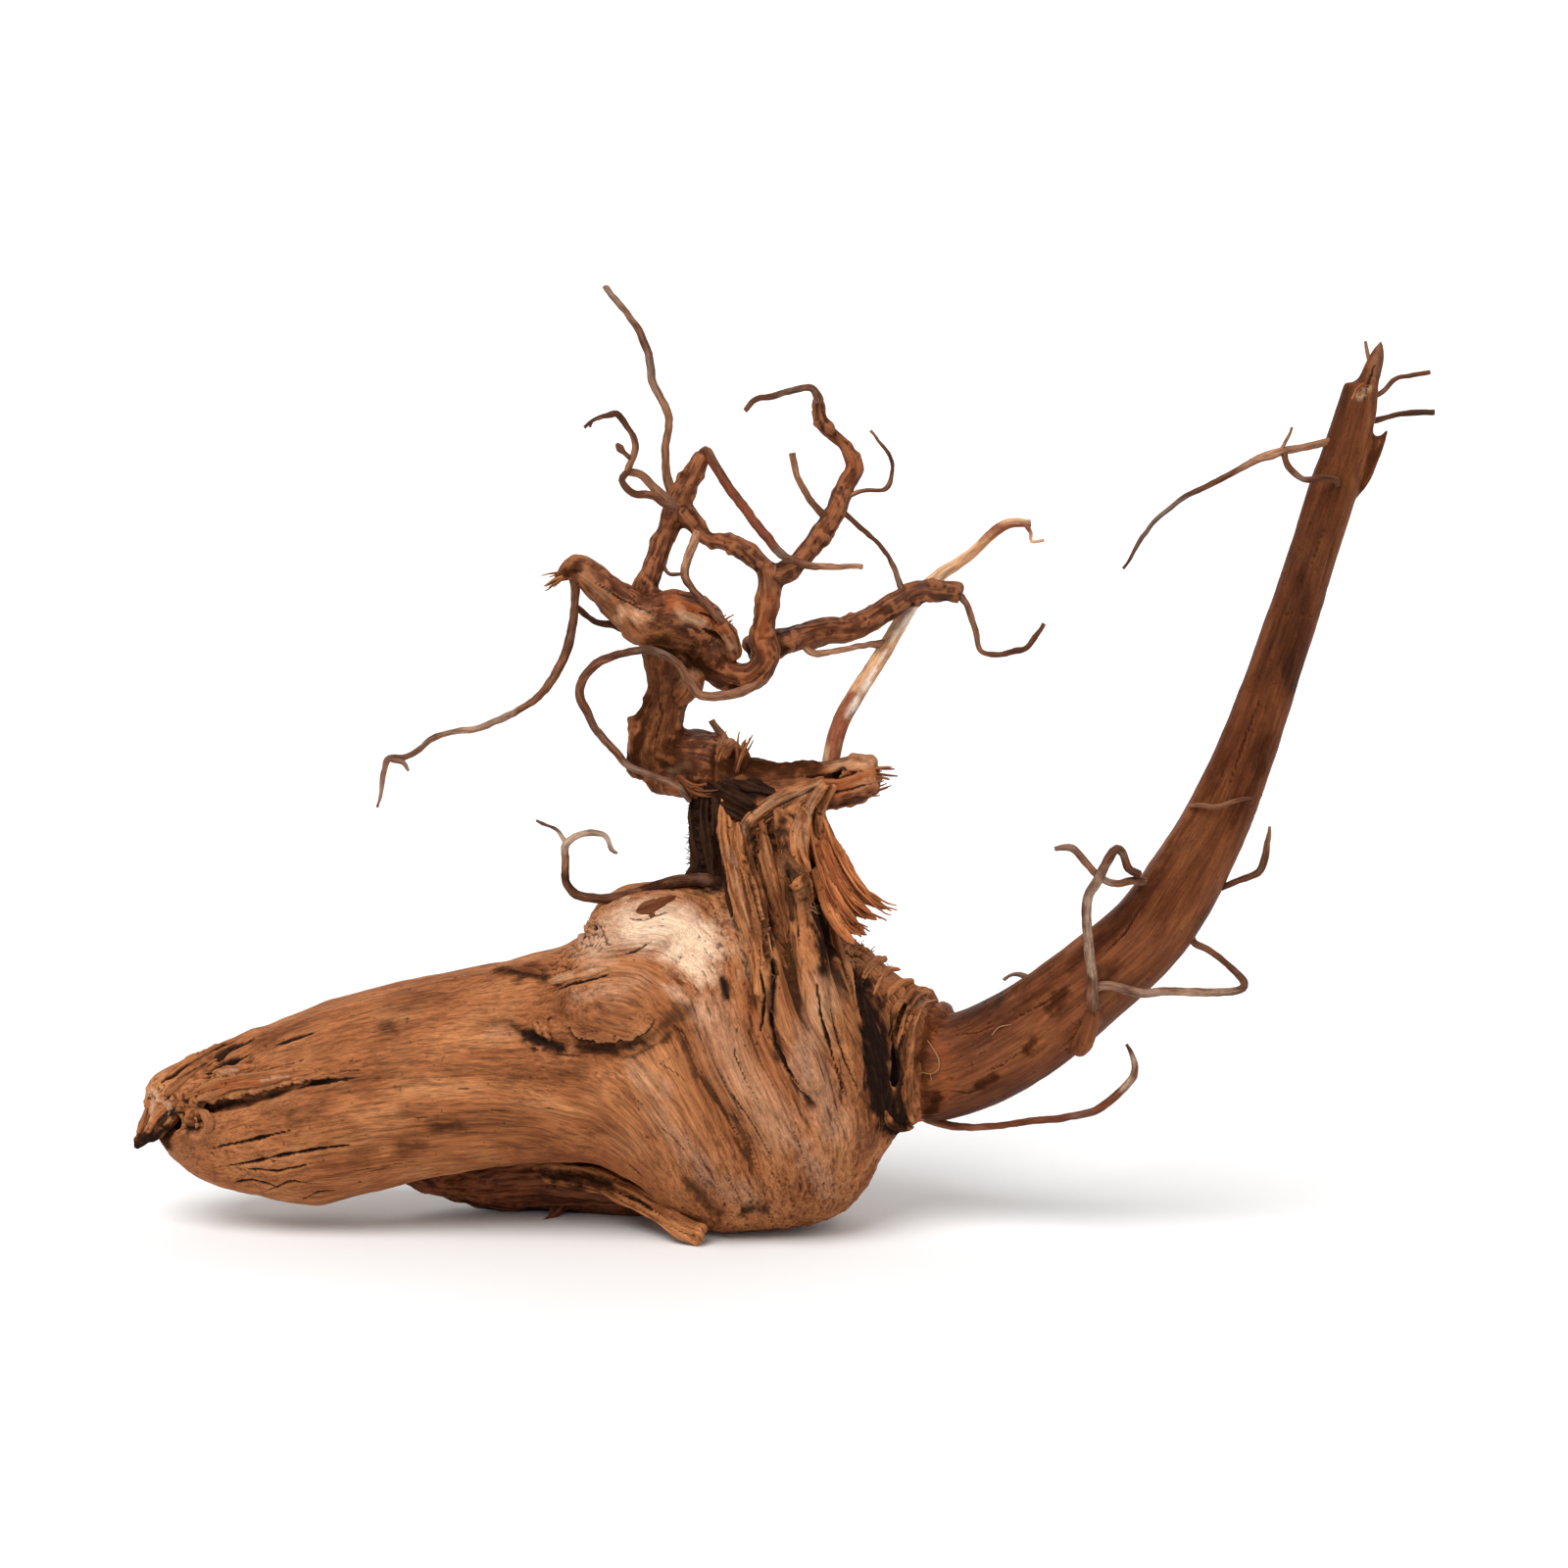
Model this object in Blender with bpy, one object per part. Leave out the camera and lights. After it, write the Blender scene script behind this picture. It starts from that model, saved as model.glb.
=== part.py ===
"""Bogwood: one weathered root, grown as a single piece of wood.

A stump shaped like a long muzzle lies on the ground on its heel. A torn neck rises from it and
carries a crown of crooked branches. A horn-shaped branch leaves a rolled collar on the right and
sweeps up beside the crown. Fine rootlets grow from all of them.

The tables are in millimetres. A row gives x and z as they are seen from the front, then the depth y,
so that a line can be followed from the front whatever its depth. The origin is on the ground, under
the heel, with +Z up and +Y away from the front.
"""

import math

import bmesh
import bpy
from mathutils import Vector, noise

MM = 0.001

# The front view: where it is seen from, and which point of the drawing it looks at.
VIEW_DISTANCE = 900.0
VIEW_RISE = math.radians(7.0)
VIEW_CENTRE = Vector((25.0, 0.0, 115.0))
VIEW_CENTRE_DRAWN_Z = 114.0

# The middle of the heel's flat spot, which is the origin of the finished wood.
HEEL_SPOT = Vector((14.0, 0.0, 0.0))

# Fineness of the fused wood, and how far its surface wanders.
STUMP_SIDES = 28
LIMB_SIDES = 14
TWIG_SIDES = 5
LIMB_STEP = 3.0
TWIG_STEP = 5.0
TRUNK_VOXEL = 2.2 * MM
TRUNK_SMOOTH_STEPS = 12
FUSE_VOXEL = 1.1 * MM
SMOOTH_STEPS = 3
HEAVY_TRIANGLES = 6200
UNDULATION = 0.7 * MM
UNDULATION_PITCH = 9.0 * MM

GROUND_CUT = Vector((500.0, 300.0, 40.0)) * MM

WOOD_COLOUR = (0.33, 0.15, 0.06, 1.0)
WOOD_ROUGHNESS = 0.72

# Stump: x, top, bottom, front, back of each upright section, from the muzzle's tip to the horn's root.
STUMP_SQUARENESS = 2.3
STUMP = [
    (-138.5, 37, 30, 0, 7),
    (-135, 40.5, 25, -5, 12),
    (-130, 43, 18.5, -9, 16),
    (-124, 45, 13.5, -13, 19),
    (-114, 49.5, 10.5, -17, 22),
    (-103, 54.5, 7.5, -20, 24),
    (-92, 58.5, 7, -22, 26),
    (-80, 62, 10, -23, 26),
    (-67, 64.8, 13.5, -24, 26),
    (-54, 67.2, 15.8, -25, 26),
    (-41, 70.2, 17.5, -26, 27),
    (-31, 73, 18, -28, 28),
    (-22, 79, 17.5, -29, 28),
    (-13, 84, 12.5, -31, 29),
    (-4, 88, 4.5, -32, 30),
    (6, 90, -0.2, -33, 31),
    (16, 90, -0.2, -33, 32),
    (26, 87, 0.6, -32, 31),
    (36, 79, 3, -29, 29),
    (43, 74, 7.5, -25, 26),
    (48.5, 70.5, 16, -21, 21),
    (53, 66, 24.5, -17, 18),
    (59, 61.5, 27.5, -14, 16),
    (64, 56, 30, -10, 12),
]

# Burls and swellings of the stump: x, z, y of the centre, then the half sizes along x, z and y.
BURLS = {
    "eye": (-16.5, 60, -19, 16.5, 13.5, 15.5),
    "brow": (-6, 78, -10, 20, 11.5, 14),
    "back_knot": (-48, 48, 19, 14, 12, 10),
    "back_shoulder": (12, 66, 18, 18, 15, 17),
}

# The neck that rises out of the stump: x, z, y and radius along the middle line.
NECK = [
    (20, 62, 2, 22), (20.5, 78, 2, 20.5), (21, 90, 1, 19.4), (19, 100, 0, 18.6),
    (18.3, 108, 0, 17.6), (18.3, 115, 0, 13),
]

# Heavy limbs, fused with the stump: x, z, y and radius along the middle line.
HEAVY_LIMBS = {
    "crossbar": [
        (-9, 119, 4, 7.5), (0, 118.8, 3, 8.6), (8, 117.5, 1, 8.6), (14, 114, 0, 7.4),
        (24, 112.8, -3, 6.6), (35, 113.6, -6, 6.2), (43, 115.6, -8, 6), (49, 116.5, -9, 4.6),
    ],
    "bent_trunk": [
        (-7, 118, 4, 8), (-8, 124.5, 2, 7.2), (-6, 132, 1, 5.8), (-4.5, 138.5, 0, 5.5),
        (-5, 146, 0, 6.8), (-5, 154, 0, 7.4),
    ],
    "bent_trunk_stub": [(-3, 136, -1, 3.5), (0.5, 140, -4, 3.6), (1.5, 142.5, -5, 2.6)],
    "antler_base": [
        (-33.5, 166, -3, 1.8), (-28, 169, -3, 3.4), (-22, 165.2, -3, 4.4), (-17, 160.5, -3, 5),
        (-11.5, 156, -2, 6.2), (-3, 155, -1, 9), (4, 151.5, 0, 8.4), (7.5, 144.5, -1, 4.4),
        (12.5, 141.2, -2, 3.8), (17.5, 141.5, -3, 3.6), (20.8, 146, -3, 3.5), (19.5, 153, -3, 3.3),
        (21.2, 162, -2, 3.2), (20.5, 168.5, -2, 3.2),
    ],
    "left_stem": [
        (-11, 159, 2, 4.6), (-9.5, 166, 4, 3.4), (-6.2, 175, 8, 2.8), (-3, 183, 10, 3.2),
        (1, 191.5, 11, 2.7), (4.2, 198, 12, 1.8),
    ],
    "cross_stem": [
        (20.5, 168.5, -2, 3.1), (15.5, 173.5, 0, 2.8), (10, 175.8, 3, 2.5), (5, 177, 6, 2.5),
        (-0.5, 183, 9, 2.7),
    ],
    "right_stem": [
        (21, 166.5, -2, 3), (27.5, 169.5, 0, 2.8), (32.5, 175, 3, 3), (37, 182, 7, 2.7),
        (41, 190.5, 11, 2.4), (43, 194.5, 12, 2.2), (41.8, 198.5, 13, 2), (38, 202.8, 13, 2),
        (34.5, 206.5, 12, 1.8), (33.5, 212.5, 11, 1.5),
    ],
    "long_arm": [
        (17, 147, 0, 4.4), (26.5, 150.8, 4, 3.8), (35, 153, 7, 3.3), (43, 153.8, 9, 3.1),
        (50, 157.8, 12, 3), (58, 162.6, 14, 3), (63, 163.3, 14, 2.9), (70, 162.4, 14, 2.9),
    ],
    "horn": [
        (40, 44, 8, 12), (54, 43, 3, 13), (63, 42, 0, 13.9), (74, 44, -4, 12.8), (87, 50.8, -8, 12.4),
        (98.5, 59.5, -12, 11.5), (109, 68, -14, 11.1), (118.5, 77, -15, 10.6), (127.5, 90.3, -16, 9.7),
        (135.5, 105, -16.5, 8.6), (141.3, 118.5, -16.5, 7.8), (145.8, 130.3, -16, 7.2),
        (151.5, 147, -14, 6.7), (157.3, 164.5, -12, 6.4), (161.5, 178, -10.5, 6.2),
        (165, 189, -9, 6.4), (168.5, 200, -7.5, 5.7), (171, 209, -6.5, 5.2), (172.3, 216, -6, 4.4),
    ],
    "lower_slab": [
        (-72, 15.5, 10, 3.2), (-60, 14.5, 14, 6.6), (-48, 14.5, 16, 9.4), (-36, 15.5, 17, 10.4),
        (-24, 15.5, 17, 11.4), (-10, 15, 15, 12), (4, 16, 12, 12),
    ],
    "left_strand": [
        (9, 106, -10, 3), (12, 97, -16, 3.4), (16, 84, -24, 3.6), (20, 69, -30, 4),
        (25, 54, -32, 4), (32, 37, -30, 3),
    ],
    "right_strand": [
        (26, 105, -11, 3.2), (26, 97, -16, 3.6), (29, 84, -23, 4.2), (32, 69, -28, 4.6),
        (37, 51, -28, 4), (41, 33, -23, 3),
    ],
}

# Rolled lips round the horn's root: x, z and y of the middle, radius, and thickness of the roll.
COLLARS = {
    "stump_lip": (55.5, 43.5, 1.5, 16.3, 2.5),
    "horn_lip": (61, 42.5, 0, 14.2, 2),
}
COLLAR_TURN = math.radians(-20.0)
COLLAR_LEAN = math.radians(13.0)
COLLAR_STEPS = 28

# Splits and holes, cut into the heavy wood as slim rounds: x, z, y and radius.
CUTS = {
    "mouth": [
        (-133, 27, -12, 3.8), (-125, 29.2, -16, 4), (-117, 32.4, -19, 3), (-105, 35.4, -22, 2.4),
        (-90, 38.6, -24, 1.2),
    ],
    "brow_split": [(-126, 36.5, -13.5, 1), (-115, 43.5, -16, 1.3), (-100, 50.5, -16, 0.8)],
    "eye_pit": [(-42, 48.8, -28, 1.4), (-38, 49.2, -27, 2.4), (-31, 50, -28, 1.6)],
    "eye_fold": [(-32, 52, -30, 1.2), (-24, 47.6, -32.5, 1.6), (-15, 45.8, -34, 1.6), (-7, 47.5, -35, 1)],
    "valley": [
        (4, 47, -35, 1.2), (1.5, 39.5, -34.5, 1.8), (6, 33, -34.5, 2), (13, 26.5, -34, 2),
        (20, 14.5, -30, 1.2),
    ],
    "face_split": [
        (17.5, 90, -26, 1.6), (21.2, 74, -33, 2.2), (22.5, 64, -35, 2.4), (21.8, 54, -35, 2.4),
        (25, 42.8, -34, 2.2), (33.8, 31.5, -31, 1),
    ],
    "neck_hollow": [(33, 92, -16, 1.6), (34, 82, -22, 2.8), (35.5, 72, -25, 1.6)],
    "neck_groove": [(19.5, 106, -17, 1.6), (20.5, 97, -20, 2.2), (22.5, 86, -24.5, 2)],
    "bar_slot": [(38, 117, -12, 1.2), (46, 117, -10, 2), (54, 118, -9, 2.2)],
    "horn_socket": [(57, 62, -3, 1), (54.5, 52, -14.5, 1.6), (52.5, 40, -16.5, 1.8), (51.5, 30, -12, 1.2)],
}

# Torn shreds and sharp stubs, each a slim round: x, z, y and radius.
SHREDS = {
    "red_shred_outer": [
        (35, 110, -8, 2.2), (36.5, 102, -11, 2.4), (40, 93, -13, 2.6), (46.5, 85.5, -13, 2.4),
        (52.5, 81.5, -13, 1),
    ],
    "red_shred_inner": [
        (33, 109, -9, 2.4), (34, 100, -13, 2.6), (37, 90, -17, 3), (43, 82.5, -18, 2.8),
        (48.5, 78, -17, 1.2),
    ],
    "red_shred_low": [(36, 92, -18, 2.2), (38, 82, -20, 2.6), (43.5, 73.5, -20, 1.4)],
    "bar_spike": [(46, 116.5, -9, 2.4), (51, 117.2, -9.5, 1.6), (53.5, 117.2, -10, 0.6)],
    "tuft_left": [(8.5, 116, -4, 2.6), (9.8, 122, -5, 1.8), (12.4, 126, -5, 0.6)],
    "tuft_right": [(13.5, 114, -4, 2.6), (14.6, 120, -4, 1.8), (15.2, 126, -4, 0.6)],
    "horn_spike": [
        (171.5, 210, -6, 3), (173.8, 216, -6, 2.8), (176, 222, -6, 2.2), (177.6, 227.6, -6, 0.6),
    ],
    "horn_flake": [
        (167, 187, -9, 3), (171.8, 192, -8, 2.8), (175.2, 198, -8, 2.1), (179.4, 205, -8, 0.6),
    ],
    "muzzle_spur": [(-131, 27, 0, 3.6), (-135.5, 24, -2, 2.4), (-140.5, 21.8, -3, 0.7)],
    "muzzle_flap": [
        (-92, 42, -20, 2), (-104, 41, -18, 2.8), (-116, 38.4, -14.5, 3), (-126, 36, -10, 2),
    ],
    "heel_splinter": [
        (-40, 15.5, 10, 2.6), (-25, 13.5, 0, 3), (-15, 9.4, -8, 3), (-8, 5.4, -14, 3),
        (-2, 1.6, -19, 3.2), (4.2, -1.4, -22, 3.1),
    ],
    "slab_spur": [(-30, 9, 14, 2.2), (-33, 4.8, 9, 1.4), (-36.8, 2.2, 5, 0.7)],
    "horn_knob": [(103.5, 58, -22, 1.8), (103.5, 54, -22, 2.4), (101.5, 48, -20, 2.6), (100, 46, -16, 2)],
}

# Rootlets: x, z, y and radius.
TWIGS = {
    "elbow_twig": [
        (3.8, 196, 12, 1.4), (5, 199, 11.5, 1.4), (7.5, 195, 9, 1.3), (11.5, 188.8, 5, 1.3),
        (16, 183, 1, 1.3), (20.5, 177, -3, 1.3), (25.5, 172, -6, 1.1), (32, 169.6, -9, 1),
        (44.5, 169.6, -13, 0.7),
    ],
    "hooked_tip": [
        (34, 211.5, 11, 1.4), (32, 215, 10, 1), (26.5, 214.2, 6, 0.9), (19.5, 212.2, 1, 0.8),
        (17, 211.2, 0, 0.8), (15.2, 209.2, -1, 0.7),
    ],
    "arm_hanger": [
        (68.5, 163, 14, 1.1), (71.5, 160, 13, 0.9), (73.5, 154, 11, 0.8), (75.5, 147.8, 9, 0.7),
        (82.2, 147.4, 6, 0.8), (87, 149, 3, 0.8), (91.5, 155, 1, 0.6),
    ],
    "peeled_stick": [
        (36.8, 112, -3, 2.2), (37.2, 121, -1, 2.3), (39.2, 129, 2, 2.3), (43.5, 137, 6, 2.3),
        (51.5, 149.5, 15, 2.1), (57, 159, 20, 2), (62, 165, 22, 1.8), (73.2, 173, 23, 1.4),
        (80.5, 179.6, 22, 1.4), (88, 180.6, 21, 1),
    ],
    "stick_hook": [(86.5, 180.6, 21, 0.8), (88, 178, 20.5, 0.5), (88, 176, 20, 0.45), (91, 176.2, 19, 0.4)],
    "arm_bridge": [(29.5, 150, 4, 1), (33.5, 147.2, 3, 0.9), (44, 149, 9, 0.8), (51, 150, 15, 1.2)],
    "loop_rootlet": [
        (20, 141.5, -4, 1.5), (14, 137.6, -6, 1.3), (5, 136.4, -8, 1.2), (1, 139.5, -9.5, 1.2),
        (-2.5, 145.2, -10.5, 1.1), (-9, 148.2, -11, 1.1), (-17, 147, -11, 1.1), (-24, 143.8, -10, 1.2),
        (-27, 137.5, -9, 1.2), (-23.5, 128.7, -8, 1.1), (-15.5, 119.5, -8, 1), (-8, 115.8, -7, 0.8),
        (-2.5, 114, -7, 0.8), (0.5, 109.8, -4, 0.7),
    ],
    "far_left_twig": [
        (-28.5, 167, -3, 1.4), (-28.3, 160, -4, 1.1), (-29.6, 151, -7, 1.3), (-33.2, 142, -10, 1.2),
        (-38, 136, -13, 1), (-43.5, 132.4, -15, 0.9), (-52.5, 128.5, -18, 0.9), (-63.8, 126, -21, 0.8),
        (-70, 121.5, -22, 0.8), (-75.8, 120, -23, 0.9), (-77.5, 114, -23, 0.6), (-78.5, 107.8, -22, 0.4),
    ],
    "far_left_fork": [(-74.8, 120.3, -23, 0.8), (-72, 119.4, -24, 0.7), (-70.5, 117.3, -25, 0.4)],
    "stub_brace": [(-28.5, 159.5, -4.5, 0.9), (-24, 156, 0, 0.8), (-18, 154.2, 1, 1), (-12, 153, 0, 1)],
    "brow_curl": [
        (13, 88, -10, 1.9), (6, 89.5, -12, 1.8), (-2.5, 89, -14, 1.7), (-10, 87, -15, 1.4),
        (-18, 85, -15, 1.3), (-26, 84.9, -16, 1.2), (-30.4, 88.3, -17, 1.1), (-30.9, 93.4, -18, 1),
        (-30.3, 99.2, -19, 1), (-25.5, 101.4, -20, 0.8), (-21, 101.2, -21, 0.7), (-19.3, 97.2, -21, 0.6),
        (-17.6, 96.6, -21, 0.4),
    ],
    "brow_curl_fork": [(-30.2, 98.5, -19, 0.8), (-33.3, 102.2, -19, 0.5), (-38, 104.8, -19, 0.4)],
    "tall_twig": [
        (-2.5, 186, 10, 1.7), (-4.8, 192, 11, 1.2), (-5.2, 200, 12, 1.05), (-4.4, 208, 14, 1.05),
        (-8.2, 216, 15, 1.05), (-9.2, 220.5, 16, 1.1), (-11.2, 228, 17, 1), (-15, 233.8, 18, 0.9),
        (-20.3, 240.8, 19, 0.8),
    ],
    "knot_twig": [
        (-2.5, 184, 8, 1.3), (-8, 189.6, 4, 1.2), (-11.6, 193, 2, 1.1), (-14.8, 194.2, 1, 1),
        (-13.3, 198, 0, 0.9), (-13, 202, 0, 0.9), (-14.8, 205, 0, 0.8), (-17.5, 208.4, 0, 0.9),
        (-23, 206.9, -1, 0.6), (-26.4, 204.9, -2, 0.4),
    ],
    "knot_loop": [
        (-14.5, 194, 1, 0.9), (-16.4, 191.5, 0, 0.9), (-13.5, 188.2, 1, 1), (-8.5, 187.6, 3, 1.1),
        (-3, 184.5, 7, 1.1),
    ],
    "knot_bud": [(-14, 197, 0, 0.6), (-16, 199, -1, 0.7), (-17, 200, -1, 0.9)],
    "drop_twig": [
        (3, 178, 6, 1.3), (0.6, 171.8, 2, 1.2), (-0.2, 167.2, -2, 1.1), (2.2, 162.8, -6, 0.9),
        (8, 156.8, -8.5, 0.8), (9.5, 154, -6, 0.7),
    ],
    "side_hair": [(-6.5, 171, 6.5, 0.6), (-4, 167.6, 4, 0.5), (-0.6, 167.4, -1, 0.5)],
    "left_prong": [(36.5, 181.3, 6, 1.1), (31.5, 186.5, 2, 0.9), (28.6, 192, 0, 0.9), (27.4, 198.8, -1, 0.9)],
    "thin_hook": [
        (39.2, 186, 8.5, 0.8), (45, 188.8, 10, 0.6), (51.2, 189.4, 12, 0.6), (52.6, 195, 13, 0.55),
        (51, 199.2, 13, 0.5), (46.8, 204, 12, 0.4),
    ],
    "thin_tie": [
        (38.5, 184.5, 8.5, 0.8), (43.8, 180, 10, 0.7), (48.5, 175.6, 12, 0.6), (52.8, 170, 13, 0.7),
        (55.8, 162, 13.5, 0.9),
    ],
    "bar_prong": [(13, 119, 0, 1.3), (9.2, 126, 1, 1), (6.5, 130.5, 1, 0.9)],
    "tip_twig_low": [
        (170, 206, -6, 1), (176, 206.8, -5, 0.8), (181, 208, -4, 0.75), (185.5, 208.8, -3, 0.8),
        (190.8, 208.8, -2, 0.8),
    ],
    "tip_twig_high": [
        (172, 211, -5, 1), (177.5, 214, -4, 0.7), (181, 217.2, -3, 0.65), (185, 218.2, -2, 0.65),
        (189.8, 219, -1, 0.65),
    ],
    "tip_barb": [(175, 220.5, -6, 0.7), (173.7, 224, -6, 0.5), (173, 227, -6, 0.4)],
    "inner_long": [
        (167, 202, -8, 1.1), (158, 200, -10, 1), (152.5, 199, -11, 1.1), (149, 197.8, -12, 1.3),
        (145, 196.4, -12, 1), (136, 191.5, -13, 0.8), (126, 186.2, -15, 0.7), (117, 178, -17, 0.6),
        (111.5, 169, -18, 0.4),
    ],
    "inner_hair": [(151.5, 198.5, -11, 0.6), (153.3, 202, -12, 0.4), (154.6, 205, -12, 0.35)],
    "inner_curl": [
        (152.5, 199, -11, 0.9), (153.7, 195, -13, 0.9), (157.5, 191.8, -15.5, 0.8), (162, 192, -17.6, 0.9),
        (165.3, 191.6, -16.8, 1), (166, 189.5, -13, 0.9),
    ],
    "left_finger": [
        (94, 97.4, -28, 0.6), (98.6, 97.6, -28, 1), (102.2, 93.6, -27, 1), (106, 90, -26, 1),
        (110.2, 88.6, -24, 1), (114.5, 89.4, -21, 1.1), (119, 88, -18, 1.3),
    ],
    "front_runner": [
        (115.5, 91, -22, 1.1), (112.8, 92.5, -24, 1.1), (111.2, 96.6, -25, 1.1), (109, 96.8, -26, 1.2),
        (105, 89.4, -28, 1.3), (102.4, 84, -28.5, 1.3), (102.5, 74, -28, 1.3), (103.5, 65, -26.5, 1.4),
        (103.5, 57, -23, 1.8),
    ],
    "right_kite": [
        (104.5, 62, -24, 1.3), (108.5, 62.6, -26, 1.2), (116, 60.6, -27, 1.2), (123, 61, -26, 1.1),
        (131, 60.8, -24, 1.1), (140, 61, -21, 1), (142.4, 63, -20, 1.1), (139.4, 66.6, -19, 0.9),
        (134, 71.4, -18, 0.9), (129.2, 73.6, -17, 1), (128, 78, -16.5, 1.2), (124, 82, -16, 1.4),
    ],
    "right_thorn": [
        (130, 86.5, -17, 1.3), (135.8, 87.4, -17, 0.9), (141, 89.4, -18, 0.85), (145.8, 91.4, -19, 1),
        (147.8, 94.6, -19, 1), (148.6, 99, -19, 0.8), (148.8, 103.4, -19, 0.4),
    ],
    "horn_thread": [
        (128.5, 108.5, -20, 0.6), (131, 108.6, -23.6, 0.6), (135, 108.2, -26.1, 0.6),
        (140, 109.6, -26, 0.6), (146.5, 111.4, -19, 0.6),
    ],
    "collar_runner": [
        (57, 31, 1, 1.6), (66.5, 27, -3, 1.1), (77, 26.5, -8, 0.9), (87.5, 28, -12, 0.9),
        (99.5, 29.3, -16, 1), (107, 32.3, -18, 1.1), (112, 36.6, -20, 1.1), (114.7, 42, -21, 0.9),
        (112.3, 47.5, -21, 0.4),
    ],
    "horn_nib": [(91, 62, -8, 1.1), (86.5, 65, -8, 0.8), (83.5, 65.2, -8, 0.5), (81.2, 64, -8, 0.4)],
}


def placed(x, z, y):
    """World point of the point drawn at (x, z) from the front and y deep, and its scale there."""
    forward = Vector((0.0, math.cos(VIEW_RISE), -math.sin(VIEW_RISE)))
    up = Vector((0.0, math.sin(VIEW_RISE), math.cos(VIEW_RISE)))
    eye = VIEW_CENTRE - forward * VIEW_DISTANCE
    drawn = VIEW_CENTRE + Vector((x - VIEW_CENTRE.x, 0.0, 0.0)) + up * (z - VIEW_CENTRE_DRAWN_Z)
    ray = drawn - eye
    share = (y - eye.y) / ray.y
    return (eye + ray * share - HEEL_SPOT) * MM, share


def spline(rows, t):
    """Values at t, from 0 to 1, on the smooth curve through the rows."""
    span = min(int(t * (len(rows) - 1)), len(rows) - 2)
    u = t * (len(rows) - 1) - span
    before, here = rows[max(span - 1, 0)], rows[span]
    there, after = rows[span + 1], rows[min(span + 2, len(rows) - 1)]
    return [
        0.5 * (2 * b + (c - a) * u + (2 * a - 5 * b + 4 * c - d) * u * u + (3 * b - a - 3 * c + d) * u**3)
        for a, b, c, d in zip(before, here, there, after)
    ]


def samples(rows, step):
    """Points on the smooth curve through the rows, about a step apart."""
    spans = len(rows) - 1
    points = []
    for i, (near, far) in enumerate(zip(rows, rows[1:])):
        count = max(1, round(math.dist(near[:3], far[:3]) / step))
        points += [spline(rows, (i + k / count) / spans) for k in range(count)]
    return points + [rows[-1]]


def close_ends(bm, rings):
    """Caps the first and last ring with a fan, and points every face outwards."""
    for ring, turn in ((rings[0], -1), (rings[-1], 1)):
        middle = bm.verts.new(sum((v.co for v in ring), Vector()) / len(ring))
        for i, vert in enumerate(ring):
            corners = (vert, ring[(i + 1) % len(ring)], middle)
            bm.faces.new(corners if turn > 0 else corners[::-1])
    bmesh.ops.recalc_face_normals(bm, faces=bm.faces)


def skin(bm, rings):
    """Joins rings of the same number of points with four-sided faces."""
    for near, far in zip(rings, rings[1:]):
        for i in range(len(near)):
            j = (i + 1) % len(near)
            bm.faces.new((near[i], near[j], far[j], far[i]))


def new_object(name, bm):
    """An object in the scene that holds the mesh built in bm."""
    mesh = bpy.data.meshes.new(name)
    bm.to_mesh(mesh)
    bm.free()
    obj = bpy.data.objects.new(name, mesh)
    bpy.context.scene.collection.objects.link(obj)
    return obj


def tube(name, rows, sides, step):
    """A closed round limb along rows of x, z, y and radius."""
    middles, radii = [], []
    for x, z, y, radius in samples(rows, step):
        middle, scale = placed(x, z, y)
        middles.append(middle)
        radii.append(radius * scale * MM)
    bm = bmesh.new()
    rings = []
    across = None
    for i, middle in enumerate(middles):
        along = (middles[min(i + 1, len(middles) - 1)] - middles[max(i - 1, 0)]).normalized()
        across = (along.orthogonal() if across is None else across - along * across.dot(along)).normalized()
        other = along.cross(across)
        ring = []
        for k in range(sides):
            angle = 2 * math.pi * k / sides
            offset = across * math.cos(angle) + other * math.sin(angle)
            ring.append(bm.verts.new(middle + offset * radii[i]))
        rings.append(ring)
    skin(bm, rings)
    close_ends(bm, rings)
    return new_object(name, bm)


def rounded(value, power):
    """value, from -1 to 1, bent so that a circle of it becomes a squarer loop."""
    return math.copysign(abs(value) ** (2.0 / power), value)


def stump():
    """The stump's closed body, from upright sections along x."""
    bm = bmesh.new()
    rings = []
    spans = 2 * (len(STUMP) - 1)
    for i in range(spans + 1):
        x, top, bottom, front, back = spline(STUMP, i / spans)
        middle, scale = placed(x, (top + bottom) / 2, (front + back) / 2)
        ring = []
        for k in range(STUMP_SIDES):
            angle = 2 * math.pi * k / STUMP_SIDES
            y = rounded(math.cos(angle), STUMP_SQUARENESS) * (back - front) / 2
            z = rounded(math.sin(angle), STUMP_SQUARENESS) * (top - bottom) / 2
            ring.append(bm.verts.new(middle + Vector((0.0, y, z)) * scale * MM))
        rings.append(ring)
    skin(bm, rings)
    close_ends(bm, rings)
    return new_object("stump", bm)


def burl(name, x, z, y, half_x, half_z, half_y):
    """A rounded swelling that stands out of the stump."""
    middle, scale = placed(x, z, y)
    bm = bmesh.new()
    bmesh.ops.create_icosphere(bm, subdivisions=3, radius=1.0)
    for vert in bm.verts:
        size = Vector((vert.co.x * half_x, vert.co.y * half_y, vert.co.z * half_z))
        vert.co = middle + size * scale * MM
    return new_object(name, bm)


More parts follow.
